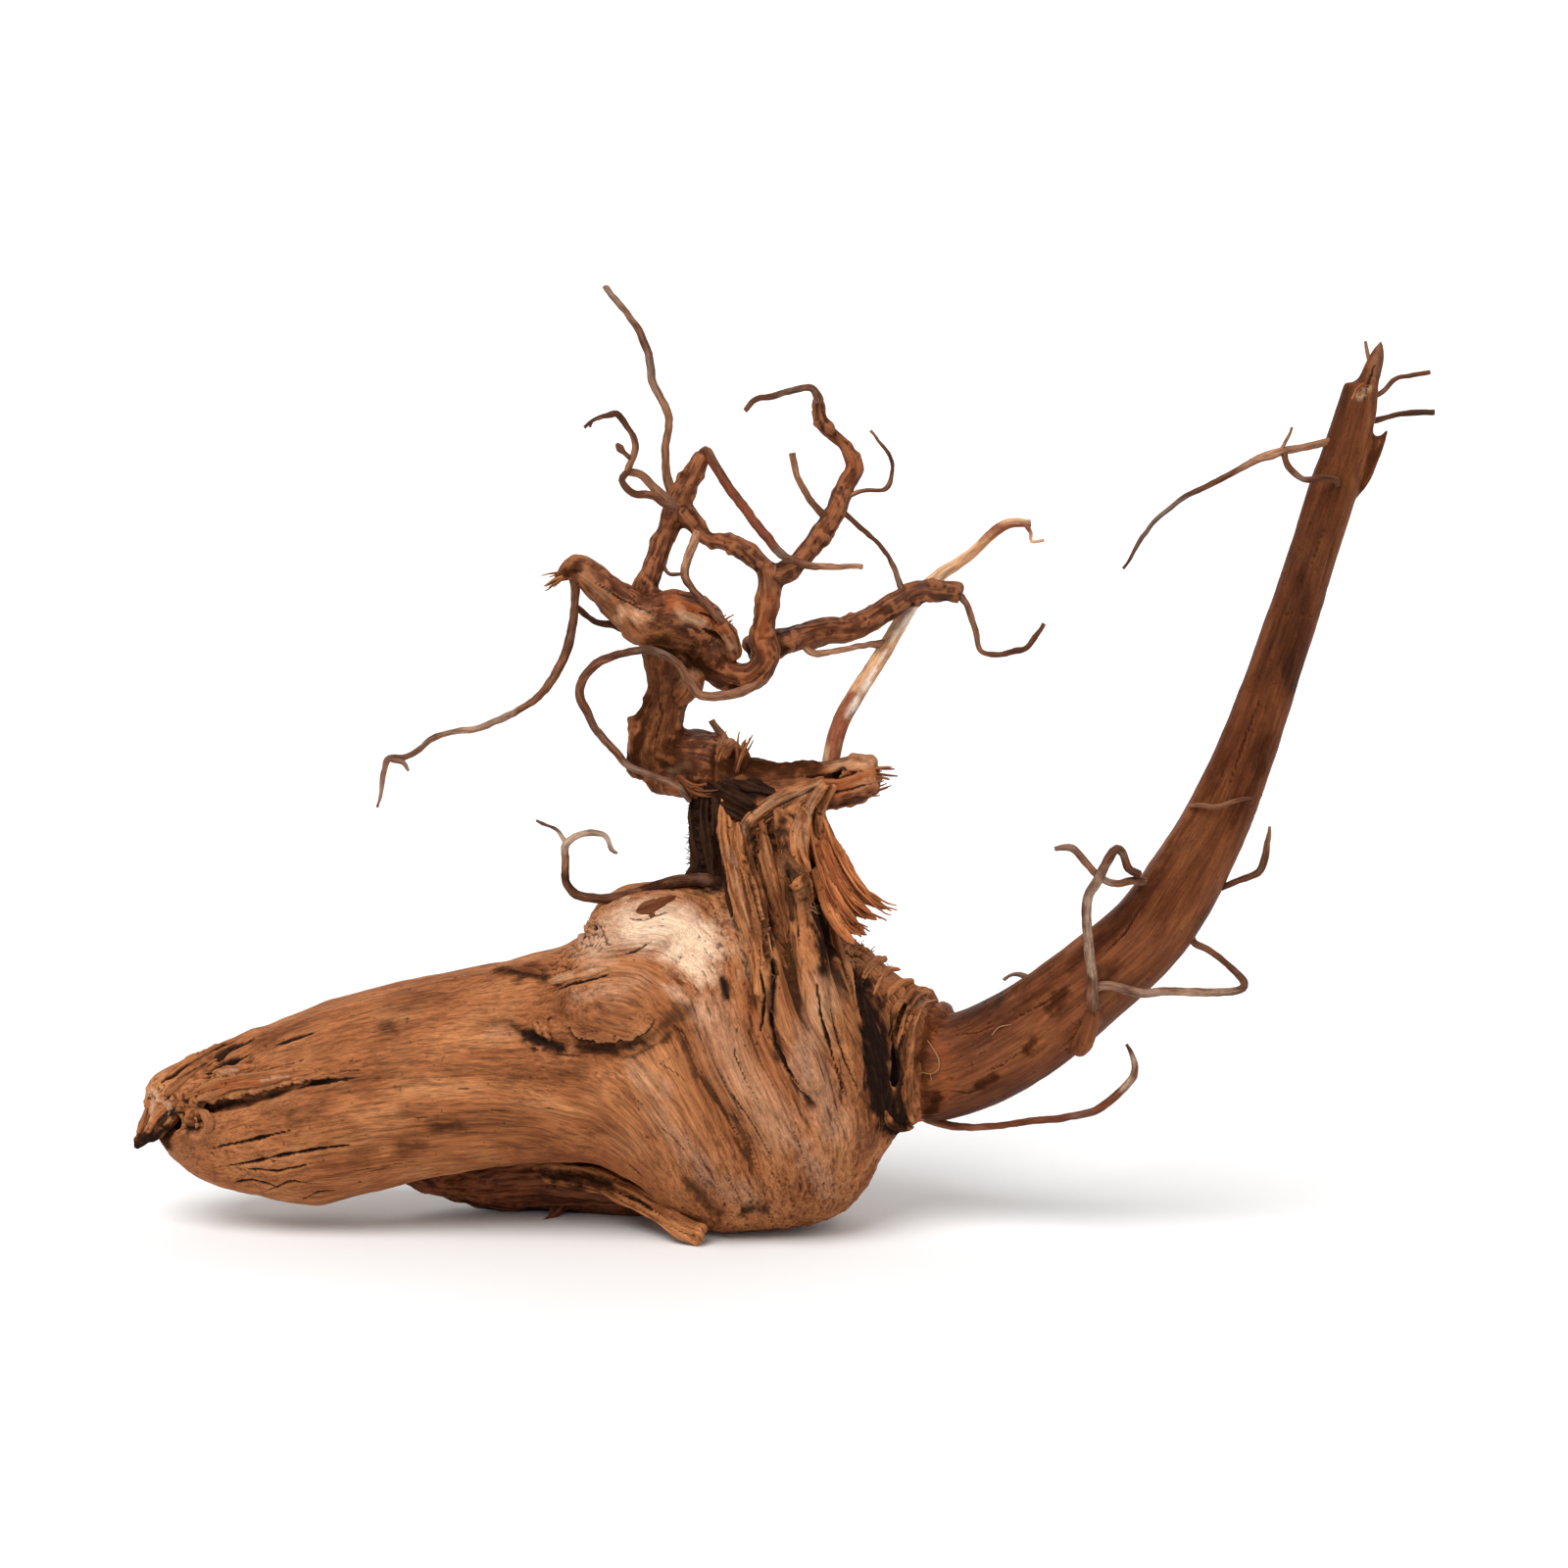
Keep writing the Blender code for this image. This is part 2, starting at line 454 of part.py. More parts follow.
def collar(name, x, z, y, radius, roll):
    """A rolled fold of wood round the horn's root: a closed ring, square to the horn."""
    middle, scale = placed(x, z, y)
    bm = bmesh.new()
    rings = []
    for i in range(COLLAR_STEPS):
        around = 2 * math.pi * i / COLLAR_STEPS
        ring = []
        for k in range(LIMB_SIDES):
            angle = 2 * math.pi * k / LIMB_SIDES
            reach = radius + roll * math.cos(angle)
            point = Vector((roll * math.sin(angle), reach * math.cos(around), reach * math.sin(around)))
            point.x += point.z * math.tan(COLLAR_LEAN) - point.y * math.tan(COLLAR_TURN)
            ring.append(bm.verts.new(middle + point * scale * MM))
        rings.append(ring)
    skin(bm, rings + rings[:1])
    bmesh.ops.recalc_face_normals(bm, faces=bm.faces)
    return new_object(name, bm)


def applied(obj):
    """Replaces the object's mesh by what its modifiers make of it."""
    graph = bpy.context.evaluated_depsgraph_get()
    mesh = bpy.data.meshes.new_from_object(obj.evaluated_get(graph))
    obj.modifiers.clear()
    obj.data = mesh
    return obj


def combined(obj, others, operation):
    """Joins the others to obj, or cuts them out of it, and removes them."""
    group = bpy.data.collections.new("others")
    bpy.context.scene.collection.children.link(group)
    for other in others:
        bpy.context.scene.collection.objects.unlink(other)
        group.objects.link(other)
    boolean = obj.modifiers.new("combine", "BOOLEAN")
    boolean.operation = operation
    boolean.solver = "MANIFOLD"
    boolean.operand_type = "COLLECTION"
    boolean.collection = group
    applied(obj)
    for other in others:
        bpy.data.objects.remove(other)
    bpy.data.collections.remove(group)
    return obj


def fused(wood, voxel, smooth_steps):
    """Turns the wood into one even skin and rounds its joins."""
    fuse = wood.modifiers.new("fuse", "REMESH")
    fuse.mode = "VOXEL"
    fuse.voxel_size = voxel
    soften = wood.modifiers.new("soften", "SMOOTH")
    soften.factor = 0.5
    soften.iterations = smooth_steps
    return applied(wood)


def roughened(wood):
    """Lets the skin swell and sink a little, as weathered wood does."""
    normals = [vert.normal.copy() for vert in wood.data.vertices]
    for vert, normal in zip(wood.data.vertices, normals):
        vert.co += normal * noise.noise(vert.co / UNDULATION_PITCH) * UNDULATION
    return wood


def trunk():
    """Stump, burls and neck as one soft form."""
    forms = [burl(name, *row) for name, row in BURLS.items()]
    forms.append(tube("neck", NECK, STUMP_SIDES, LIMB_STEP))
    return fused(combined(stump(), forms, "UNION"), TRUNK_VOXEL, TRUNK_SMOOTH_STEPS)


def heavy_wood():
    """The trunk with its heavy limbs, lips and splits."""
    forms = [tube(name, rows, LIMB_SIDES, LIMB_STEP) for name, rows in HEAVY_LIMBS.items()]
    forms += [collar(name, *row) for name, row in COLLARS.items()]
    wood = combined(trunk(), forms, "UNION")
    combined(wood, [tube(name, rows, LIMB_SIDES, LIMB_STEP) for name, rows in CUTS.items()], "DIFFERENCE")
    roughened(fused(wood, FUSE_VOXEL, SMOOTH_STEPS))
    thin = wood.modifiers.new("thin", "DECIMATE")
    thin.ratio = min(1.0, HEAVY_TRIANGLES / (2 * len(wood.data.polygons)))
    return applied(wood)


def cut_ground(wood):
    """Cuts the underside off level with the ground, which leaves the heel its flat spot."""
    bm = bmesh.new()
    bmesh.ops.create_cube(bm, size=1.0)
    for vert in bm.verts:
        vert.co = (vert.co - Vector((0.0, 0.0, 0.5))) * GROUND_CUT
    ground = new_object("ground", bm)
    level = wood.modifiers.new("level", "BOOLEAN")
    level.operation = "DIFFERENCE"
    level.solver = "MANIFOLD"
    level.object = ground
    applied(wood)
    bpy.data.objects.remove(ground)
    return wood


def wood_material():
    """Dry brown root wood."""
    material = bpy.data.materials.new("bogwood")
    material.use_nodes = True
    surface = material.node_tree.nodes["Principled BSDF"]
    surface.inputs["Base Color"].default_value = WOOD_COLOUR
    surface.inputs["Roughness"].default_value = WOOD_ROUGHNESS
    surface.inputs["Metallic"].default_value = 0.0
    return material


def main():
    """Builds the one piece of wood."""
    for obj in list(bpy.data.objects):
        bpy.data.objects.remove(obj)
    wood = heavy_wood()
    slim = [tube(name, rows, TWIG_SIDES + 2, TWIG_STEP) for name, rows in SHREDS.items()]
    slim += [tube(name, rows, TWIG_SIDES, TWIG_STEP) for name, rows in TWIGS.items()]
    combined(wood, slim, "UNION")
    cut_ground(wood)
    wood.name = "bogwood"
    wood.data.name = "bogwood"
    wood.data.materials.clear()
    wood.data.materials.append(wood_material())
    wood.data.shade_flat()


main()
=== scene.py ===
"""Bogwood: the looks of one weathered root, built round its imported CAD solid.

The wood is a stump shaped like a long muzzle, with a torn neck, a crown of crooked limbs, a
horn-shaped branch and many rootlets. Rows are in millimetres: x and z as they are seen from the
front, then the depth y, as in the part's own source. Every finished mesh is in metres.
"""

import logging
import math
from dataclasses import dataclass, field
from enum import Enum
from typing import Any

import bpy
import numpy as np
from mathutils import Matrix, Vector
from mathutils.bvhtree import BVHTree

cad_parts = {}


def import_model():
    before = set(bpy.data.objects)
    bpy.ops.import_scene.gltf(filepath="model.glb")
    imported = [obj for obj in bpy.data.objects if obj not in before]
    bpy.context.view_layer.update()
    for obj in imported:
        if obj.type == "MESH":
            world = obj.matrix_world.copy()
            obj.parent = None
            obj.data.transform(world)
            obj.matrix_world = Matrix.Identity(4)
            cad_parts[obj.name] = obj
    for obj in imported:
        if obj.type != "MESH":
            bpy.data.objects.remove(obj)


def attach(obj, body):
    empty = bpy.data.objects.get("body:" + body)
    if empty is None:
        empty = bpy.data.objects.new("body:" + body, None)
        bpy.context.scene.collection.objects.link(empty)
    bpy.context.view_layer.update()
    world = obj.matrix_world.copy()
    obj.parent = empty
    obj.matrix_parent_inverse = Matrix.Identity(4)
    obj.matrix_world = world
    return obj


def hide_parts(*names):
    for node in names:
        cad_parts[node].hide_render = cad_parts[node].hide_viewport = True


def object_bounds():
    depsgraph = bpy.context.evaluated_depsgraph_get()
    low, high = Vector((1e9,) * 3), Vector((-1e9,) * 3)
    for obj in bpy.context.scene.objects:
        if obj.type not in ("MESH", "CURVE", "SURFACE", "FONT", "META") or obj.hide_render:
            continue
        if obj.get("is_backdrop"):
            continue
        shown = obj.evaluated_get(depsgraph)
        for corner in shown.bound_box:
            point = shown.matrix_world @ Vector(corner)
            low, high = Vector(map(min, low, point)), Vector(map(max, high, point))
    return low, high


LOG = logging.getLogger("bogwood")
MM = 0.001
NODE = "bogwood"
BODY = "root"
SEED = 41

# Points whose nearest limb is looked for at a time.
BATCH = 20000

Row = tuple[float, ...]
Rows = list[Row]
Line = list[tuple[float, float]]
Colour = tuple[float, float, float]
Box = tuple[np.ndarray, np.ndarray]
Settings = dict[Any, Any]

# Points round each of the stump's sections, and how square these are: 2 makes an ellipse.
STUMP_SIDES = 40
STUMP_SQUARENESS = 2.3

# Stump: x, top, bottom, front, back of each upright section, from the muzzle's tip to the horn's root.
STUMP_SECTIONS: Rows = [
    (-138.5, 37, 30, 0, 7),
    (-135, 40.5, 25, -5, 12),
    (-130, 43, 18.5, -9, 16),
    (-124, 45, 13.5, -13, 19),
    (-114, 49.5, 10.5, -17, 22),
    (-103, 54.5, 7.5, -20, 24),
    (-92, 58.5, 7, -22, 26),
    (-80, 62, 10, -23, 26),
    (-67, 64.8, 13.5, -24, 26),
    (-54, 67.2, 15.8, -25, 26),
    (-41, 70.2, 17.5, -26, 27),
    (-31, 73, 18, -28, 28),
    (-22, 79, 17.5, -29, 28),
    (-13, 84, 12.5, -31, 29),
    (-4, 88, 4.5, -32, 30),
    (6, 90, -0.2, -33, 31),
    (16, 90, -0.2, -33, 32),
    (26, 87, 0.6, -32, 31),
    (36, 79, 3, -29, 29),
    (43, 74, 7.5, -25, 26),
    (48.5, 70.5, 16, -21, 21),
    (53, 66, 24.5, -17, 18),
    (59, 61.5, 27.5, -14, 16),
    (64, 56, 30, -10, 12),
]

# Swellings: x, z, y of the centre, then the half sizes along x, z and y.
BURLS: dict[str, Row] = {
    "eye": (-16.5, 60, -19, 16.5, 13.5, 15.5),
    "brow": (-6, 78, -10, 20, 11.5, 14),
    "back_knot": (-48, 48, 19, 14, 12, 10),
    "back_shoulder": (12, 66, 18, 18, 15, 17),
}

# The eye's lid, which stays crisper than the other swellings.
EYELID: Row = (-18.5, 58, -20.6, 14.5, 9.4, 12.6)

# Limbs: x, z, y and radius along the middle line. The strands stand out of the neck.
STUMP_LIMBS: dict[str, Rows] = {
    "neck": [
        (20, 62, 2, 22), (20.5, 78, 2, 20.5), (21, 90, 1, 19.4), (19, 100, 0, 18.6),
        (18.3, 107, 0, 17.2), (19, 113, 0, 15), (20, 117.6, -1, 10.5),
    ],
}
STRANDS: dict[str, Rows] = {
    "left_strand": [
        (9, 106, -10, 3), (12, 97, -16, 3.4), (16, 84, -24, 3.6), (20, 69, -30, 4),
        (25, 54, -32, 4), (32, 37, -30, 3),
    ],
    "right_strand": [
        (26, 105, -11, 3.2), (26, 97, -16, 3.6), (29, 84, -23, 4.2), (32, 69, -28, 4.6),
        (37, 51, -28, 4), (41, 33, -23, 3),
    ],
}
CROWN_LIMBS: dict[str, Rows] = {
    "crossbar": [
        (-9, 119, 4, 7.5), (0, 118.8, 3, 8.6), (8, 117.5, 1, 8.6), (14, 114, 0, 7.4),
        (24, 112.8, -3, 6.6), (35, 113.6, -6, 6.2), (43, 115.6, -8, 6), (49, 116.5, -9, 4.6),
    ],
    "bent_trunk": [
        (-7, 118, 4, 8), (-8, 124.5, 2, 7.2), (-6, 132, 1, 5.8), (-4.5, 138.5, 0, 5.5),
        (-5, 146, 0, 6.8), (-5, 154, 0, 7.4),
    ],
    "bent_trunk_stub": [(-3, 136, -1, 3.5), (0.5, 140, -4, 3.6), (1.5, 142.5, -5, 2.6)],
    "antler_base": [
        (-33.5, 166, -3, 1.8), (-28, 169, -3, 3.4), (-22, 165.2, -3, 4.4), (-17, 160.5, -3, 5),
        (-11.5, 156, -2, 6.2), (-3, 155, -1, 9), (4, 151.5, 0, 8.4), (7.5, 144.5, -1, 4.4),
        (12.5, 141.2, -2, 3.8), (17.5, 141.5, -3, 3.6), (20.8, 146, -3, 3.5), (19.5, 153, -3, 3.3),
        (21.2, 162, -2, 3.2), (20.5, 168.5, -2, 3.2),
    ],
    "left_stem": [
        (-11, 159, 2, 4.6), (-9.5, 166, 4, 3.4), (-6.2, 175, 8, 2.8), (-3, 183, 10, 3.2),
        (1, 191.5, 11, 2.7), (4.2, 198, 12, 1.8),
    ],
    "cross_stem": [
        (20.5, 168.5, -2, 3.1), (15.5, 173.5, 0, 2.8), (10, 175.8, 3, 2.5), (5, 177, 6, 2.5),
        (-0.5, 183, 9, 2.7),
    ],
    "right_stem": [
        (21, 166.5, -2, 3), (27.5, 169.5, 0, 2.8), (32.5, 175, 3, 3), (37, 182, 7, 2.7),
        (41, 190.5, 11, 2.4), (43, 194.5, 12, 2.2), (41.8, 198.5, 13, 2), (38, 202.8, 13, 2),
        (34.5, 206.5, 12, 1.8), (33.5, 212.5, 11, 1.5),
    ],
    "long_arm": [
        (17, 147, 0, 4.4), (26.5, 150.8, 4, 3.8), (35, 153, 7, 3.3), (43, 153.8, 9, 3.1),
        (50, 157.8, 12, 3), (58, 162.6, 14, 3), (63, 163.3, 14, 2.9), (70, 162.4, 14, 2.9),
    ],
}
HORN_LIMB: Rows = [
    (40, 44, 8, 12), (54, 43, 3, 13), (63, 42, 0, 13.9), (74, 44, -4, 12.8), (87, 50.8, -8, 12.4),
    (98.5, 59.5, -12, 11.5), (109, 68, -14, 11.1), (118.5, 77, -15, 10.6), (127.5, 90.3, -16, 9.7),
    (135.5, 105, -16.5, 8.6), (141.3, 118.5, -16.5, 7.8), (145.8, 130.3, -16, 7.2),
    (151.5, 147, -14, 6.7), (157.3, 164.5, -12, 6.4), (161.5, 178, -10.5, 6.2),
    (165, 189, -9, 6.4), (168.5, 200, -7.5, 5.7), (171, 209, -6.5, 5.2), (172.3, 216, -6, 4.4),
]
HORN_STUBS: dict[str, Rows] = {
    "horn_spike": [
        (171.5, 210, -6, 3), (173.8, 216, -6, 2.8), (176, 222, -6, 2.2), (177.6, 227.6, -6, 0.6),
    ],
    "horn_flake": [
        (167, 187, -9, 3), (171.8, 192, -8, 2.8), (175.2, 198, -8, 2.1), (179.4, 205, -8, 0.6),
    ],
    "horn_knob": [(103.5, 58, -22, 1.8), (103.5, 54, -22, 2.4), (101.5, 48, -20, 2.6), (100, 46, -16, 2)],
}
SLAB_LIMBS: dict[str, Rows] = {
    "lower_slab": [
        (-72, 15.5, 10, 3.2), (-60, 14.5, 14, 6.6), (-48, 14.5, 16, 9.4), (-36, 15.5, 17, 10.4),
        (-24, 15.5, 17, 11.4), (-10, 15, 15, 12), (4, 16, 12, 12),
    ],
    "slab_spur": [(-30, 9, 14, 2.2), (-33, 4.8, 9, 1.4), (-36.8, 2.2, 5, 0.7)],
}
SPLINTER_LIMBS: dict[str, Rows] = {
    "heel_splinter": [
        (-40, 15.5, 10, 2.6), (-25, 13.5, 0, 3), (-15, 9.4, -8, 3), (-8, 5.4, -14, 3),
        (-2, 1.6, -19, 3.2), (4.2, -1.4, -22, 3.1),
    ],
}

# Rolled lips round the horn's root: x, z, y of the middle, radius, and thickness of the roll.
COLLARS: dict[str, Row] = {
    "stump_lip": (55.5, 43.5, 1.5, 16.3, 2.5),
    "horn_lip": (61, 42.5, 0, 14.2, 2),
}

# How far the lips' ring is turned aside and tipped, to be square to the horn.
COLLAR_TURN = math.radians(-20.0)
COLLAR_LEAN = math.radians(13.0)

# Splits and holes cut out of the stump and of the crown: x, z, y and radius.
STUMP_CUTS: dict[str, Rows] = {
    "mouth": [
        (-134, 25, -6, 2.4), (-127, 28.4, -9.4, 1.9), (-122, 30.8, -12.6, 1.6), (-118, 32.2, -15, 1.8),
        (-110, 33.9, -17.8, 1.9), (-103, 35.6, -19.6, 1.5), (-96, 37.2, -20.8, 0.8), (-90, 38.4, -22, 0.3),
    ],
    "mouth_hole": [(-131, 27.6, -14, 1.6), (-130.4, 27.8, -8, 2.2), (-128.6, 28, -5, 2)],
    "brow_split": [
        (-126, 38.6, -8, 0.8), (-120, 41.4, -11.4, 1.5), (-114, 44.6, -13.2, 1.6), (-106, 47.4, -15, 1.1),
        (-97, 50.4, -16.6, 0.4),
    ],
    "eye_fold": [
        (-28, 47.8, -28.8, 0.5), (-23, 46.8, -30, 0.8), (-16, 46.4, -31.4, 0.8), (-10.6, 48.4, -32.2, 0.5),
    ],
    "face_split": [
        (17.5, 90, -21, 1.3), (21.2, 74, -30.6, 1.4), (22.5, 64, -33.4, 1.2), (21.8, 54, -33.6, 1.1),
        (25, 42.8, -32.8, 0.6), (33.8, 31.5, -31, 0.2),
    ],
    "neck_hollow": [(33, 94, -10, 1.8), (34, 84, -17, 3), (35.5, 72, -23.6, 1.8), (35, 64, -28, 0.8)],
    "neck_groove": [(20.4, 108, -12, 1.8), (21, 97, -15, 2.4), (22.5, 86, -20.6, 2.2), (21, 76, -27, 1)],
    "left_groove": [(8.6, 108, -9, 1.4), (8, 98, -11, 2), (9.6, 88, -16, 1.6), (10.6, 80, -24, 0.8)],
    "horn_socket": [(57, 62, -3, 1), (54.5, 52, -14.5, 1.6), (52.5, 40, -16.5, 1.8), (51.5, 30, -12, 1.2)],
}
CROWN_CUTS: dict[str, Rows] = {
    "bar_slot": [(38, 117, -12, 1.2), (46, 117, -10, 2), (54, 118, -9, 2.2)],
}

# Rootlets of the crown and the brow: x, z, y and radius.
ROOTLETS: dict[str, Rows] = {
    "elbow_twig": [
        (3.8, 196, 12, 1.4), (5, 199, 11.5, 1.4), (7.5, 195, 9, 1.3), (11.5, 188.8, 5, 1.3),
        (16, 183, 1, 1.3), (20.5, 177, -3, 1.3), (25.5, 172, -6, 1.1), (32, 169.6, -9, 1),
        (44.5, 169.6, -13, 0.7),
    ],
    "hooked_tip": [
        (34, 211.5, 11, 1.4), (32, 215, 10, 1), (26.5, 214.2, 6, 0.9), (19.5, 212.2, 1, 0.8),
        (17, 211.2, 0, 0.8), (15.2, 209.2, -1, 0.7),
    ],
    "arm_hanger": [
        (68.5, 163, 14, 1.1), (71.5, 160, 13, 0.9), (73.5, 154, 11, 0.8), (75.5, 147.8, 9, 0.7),
        (82.2, 147.4, 6, 0.8), (87, 149, 3, 0.8), (91.5, 155, 1, 0.6),
    ],
    "arm_bridge": [(29.5, 150, 4, 1), (33.5, 147.2, 3, 0.9), (44, 149, 9, 0.8), (51, 150, 15, 1.2)],
    "loop_rootlet": [
        (20, 141.5, -4, 1.5), (14, 137.6, -6, 1.3), (5, 136.4, -8, 1.2), (1, 139.5, -9.5, 1.2),
        (-2.5, 145.2, -10.5, 1.1), (-9, 148.2, -11, 1.1), (-17, 147, -11, 1.1), (-24, 143.8, -10, 1.2),
        (-27, 137.5, -9, 1.2), (-23.5, 128.7, -8, 1.1), (-15.5, 119.5, -8, 1), (-8, 115.8, -7, 0.8),
        (-2.5, 114, -7, 0.8), (0.5, 109.8, -4, 0.7),
    ],
    "far_left_twig": [
        (-28.5, 167, -3, 1.4), (-28.3, 160, -4, 1.1), (-29.6, 151, -7, 1.3), (-33.2, 142, -10, 1.2),
        (-38, 136, -13, 1), (-43.5, 132.4, -15, 0.9), (-52.5, 128.5, -18, 0.9), (-63.8, 126, -21, 0.8),
        (-70, 121.5, -22, 0.8), (-75.8, 120, -23, 0.9), (-77.5, 114, -23, 0.6), (-78.5, 107.8, -22, 0.4),
    ],
    "far_left_fork": [(-74.8, 120.3, -23, 0.8), (-72, 119.4, -24, 0.7), (-70.5, 117.3, -25, 0.4)],
    "stub_brace": [(-28.5, 159.5, -4.5, 0.9), (-24, 156, 0, 0.8), (-18, 154.2, 1, 1), (-12, 153, 0, 1)],
    "brow_curl": [
        (13, 88, -10, 1.9), (6, 89.5, -12, 1.8), (-2.5, 89, -14, 1.7), (-10, 87, -15, 1.4),
        (-18, 85, -15, 1.3), (-26, 84.9, -16, 1.2), (-30.4, 88.3, -17, 1.1), (-30.9, 93.4, -18, 1),
        (-30.3, 99.2, -19, 1), (-25.5, 101.4, -20, 0.8), (-21, 101.2, -21, 0.7), (-19.3, 97.2, -21, 0.6),
        (-17.6, 96.6, -21, 0.4),
    ],
    "brow_curl_fork": [(-30.2, 98.5, -19, 0.8), (-33.3, 102.2, -19, 0.5), (-38, 104.8, -19, 0.4)],
    "tall_twig": [
        (-2.5, 186, 10, 1.7), (-4.8, 192, 11, 1.2), (-5.2, 200, 12, 1.05), (-4.4, 208, 14, 1.05),
        (-8.2, 216, 15, 1.05), (-9.2, 220.5, 16, 1.1), (-11.2, 228, 17, 1), (-15, 233.8, 18, 0.9),
        (-20.3, 240.8, 19, 0.8),
    ],
    "knot_twig": [
        (-2.5, 184, 8, 1.3), (-8, 189.6, 4, 1.2), (-11.6, 193, 2, 1.1), (-14.8, 194.2, 1, 1),
        (-13.3, 198, 0, 0.9), (-13, 202, 0, 0.9), (-14.8, 205, 0, 0.8), (-17.5, 208.4, 0, 0.9),
        (-23, 206.9, -1, 0.6), (-26.4, 204.9, -2, 0.4),
    ],
    "knot_loop": [
        (-14.5, 194, 1, 0.9), (-16.4, 191.5, 0, 0.9), (-13.5, 188.2, 1, 1), (-8.5, 187.6, 3, 1.1),
        (-3, 184.5, 7, 1.1),
    ],
    "knot_bud": [(-14, 197, 0, 0.6), (-16, 198.6, -1, 0.7), (-17, 199.6, -1, 1.1), (-17.6, 200.8, -1, 0.5)],
    "hook_fork": [(-21.4, 207.5, -0.8, 0.5), (-24, 206.2, -1.2, 0.45), (-24.4, 204.8, -1.4, 0.3)],
    "drop_twig": [
        (3, 178, 6, 1.3), (0.6, 171.8, 2, 1.2), (-0.2, 167.2, -2, 1.1), (2.2, 162.8, -6, 0.9),
        (8, 156.8, -8.5, 0.8), (9.5, 154, -6, 0.7),
    ],
    "side_hair": [(-6.5, 171, 6.5, 0.6), (-4, 167.6, 4, 0.5), (-0.6, 167.4, -1, 0.5)],
    "left_prong": [(36.5, 181.3, 6, 1.1), (31.5, 186.5, 2, 0.9), (28.6, 192, 0, 0.9), (27.4, 198.8, -1, 0.9)],
    "thin_hook": [
        (39.2, 186, 8.5, 0.8), (45, 188.8, 10, 0.6), (51.2, 189.4, 12, 0.6), (52.6, 195, 13, 0.55),
        (51, 199.2, 13, 0.5), (46.8, 204, 12, 0.4),
    ],
    "thin_tie": [
        (38.5, 184.5, 8.5, 0.8), (43.8, 180, 10, 0.7), (48.5, 175.6, 12, 0.6), (52.8, 170, 13, 0.7),
        (55.8, 162, 13.5, 0.9),
    ],
    "bar_prong": [(13, 119, 0, 1.3), (9.2, 126, 1, 1), (6.5, 130.5, 1, 0.9)],
}

# Rootlets of the horn.
HORN_ROOTLETS: dict[str, Rows] = {
    "tip_twig_low": [
        (170, 206, -6, 1), (176, 206.8, -5, 0.8), (181, 208, -4, 0.75), (185.5, 208.8, -3, 0.8),
        (190.8, 208.8, -2, 0.8),
    ],
    "tip_twig_high": [
        (172, 211, -5, 1), (177.5, 214, -4, 0.7), (181, 217.2, -3, 0.65), (185, 218.2, -2, 0.65),
        (189.8, 219, -1, 0.65),
    ],
    "tip_barb": [(175, 220.5, -6, 0.7), (173.7, 224, -6, 0.5), (173, 227, -6, 0.4)],
    "inner_long": [
        (167, 202, -8, 1.1), (158, 200, -10, 1), (152.5, 199, -11, 1.1), (149, 197.8, -12, 1.3),
        (145, 196.4, -12, 1), (136, 191.5, -13, 0.8), (126, 186.2, -15, 0.7), (117, 178, -17, 0.6),
        (111.5, 169, -18, 0.4),
    ],
    "inner_hair": [(151.5, 198.5, -11, 0.6), (153.3, 202, -12, 0.4), (154.6, 205, -12, 0.35)],
    "inner_curl": [
        (152.5, 199, -11, 0.9), (153.7, 195, -13, 0.9), (157.5, 191.8, -15.5, 0.8), (162, 192, -17.6, 0.9),
        (165.3, 191.6, -16.8, 1), (166, 189.5, -13, 0.9),
    ],
    "left_finger": [
        (94, 97.4, -28, 0.6), (98.6, 97.6, -28, 1), (102.2, 93.6, -27, 1), (106, 90, -26, 1),
        (110.2, 88.6, -24, 1), (114.5, 89.4, -21, 1.1), (119, 88, -18, 1.3),
    ],
    "front_runner": [
        (115.5, 91, -22, 1.1), (112.8, 92.5, -24, 1.1), (111.2, 96.6, -25, 1.1), (109, 96.8, -26, 1.2),
        (105, 89.4, -28, 1.3), (102.4, 84, -28.5, 1.3), (102.5, 74, -28, 1.3), (103.5, 65, -26.5, 1.4),
        (103.5, 57, -23, 1.8),
    ],
    "right_kite": [
        (104.5, 62, -24, 1.3), (108.5, 62.6, -26, 1.2), (116, 60.6, -27, 1.2), (123, 61, -26, 1.1),
        (131, 60.8, -24, 1.1), (140, 61, -21, 1), (142.4, 63, -20, 1.1), (139.4, 66.6, -19, 0.9),
        (134, 71.4, -18, 0.9), (129.2, 73.6, -17, 1), (128, 78, -16.5, 1.2), (124, 82, -16, 1.4),
    ],
    "right_thorn": [
        (130, 86.5, -17, 1.3), (135.8, 87.4, -17, 0.9), (141, 89.4, -18, 0.85), (145.8, 91.4, -19, 1),
        (147.8, 94.6, -19, 1), (148.6, 99, -19, 0.8), (148.8, 103.4, -19, 0.4),
    ],
    "horn_thread": [
        (128.5, 108.5, -20, 0.6), (131, 108.6, -23.6, 0.6), (135, 108.2, -26.1, 0.6),
        (140, 109.6, -26, 0.6), (146.5, 111.4, -19, 0.6),
    ],
    "collar_runner": [
        (57, 31, 1, 1.6), (66.5, 27, -3, 1.1), (77, 26.5, -8, 0.9), (87.5, 28, -12, 0.9),
        (99.5, 29.3, -16, 1), (107, 32.3, -18, 1.1), (112, 36.6, -20, 1.1), (114.7, 42, -21, 0.9),
        (112.3, 47.5, -21, 0.4),
    ],
    "horn_nib": [(91, 62, -8, 1.1), (86.5, 65, -8, 0.8), (83.5, 65.2, -8, 0.5), (81.2, 64, -8, 0.4)],
}

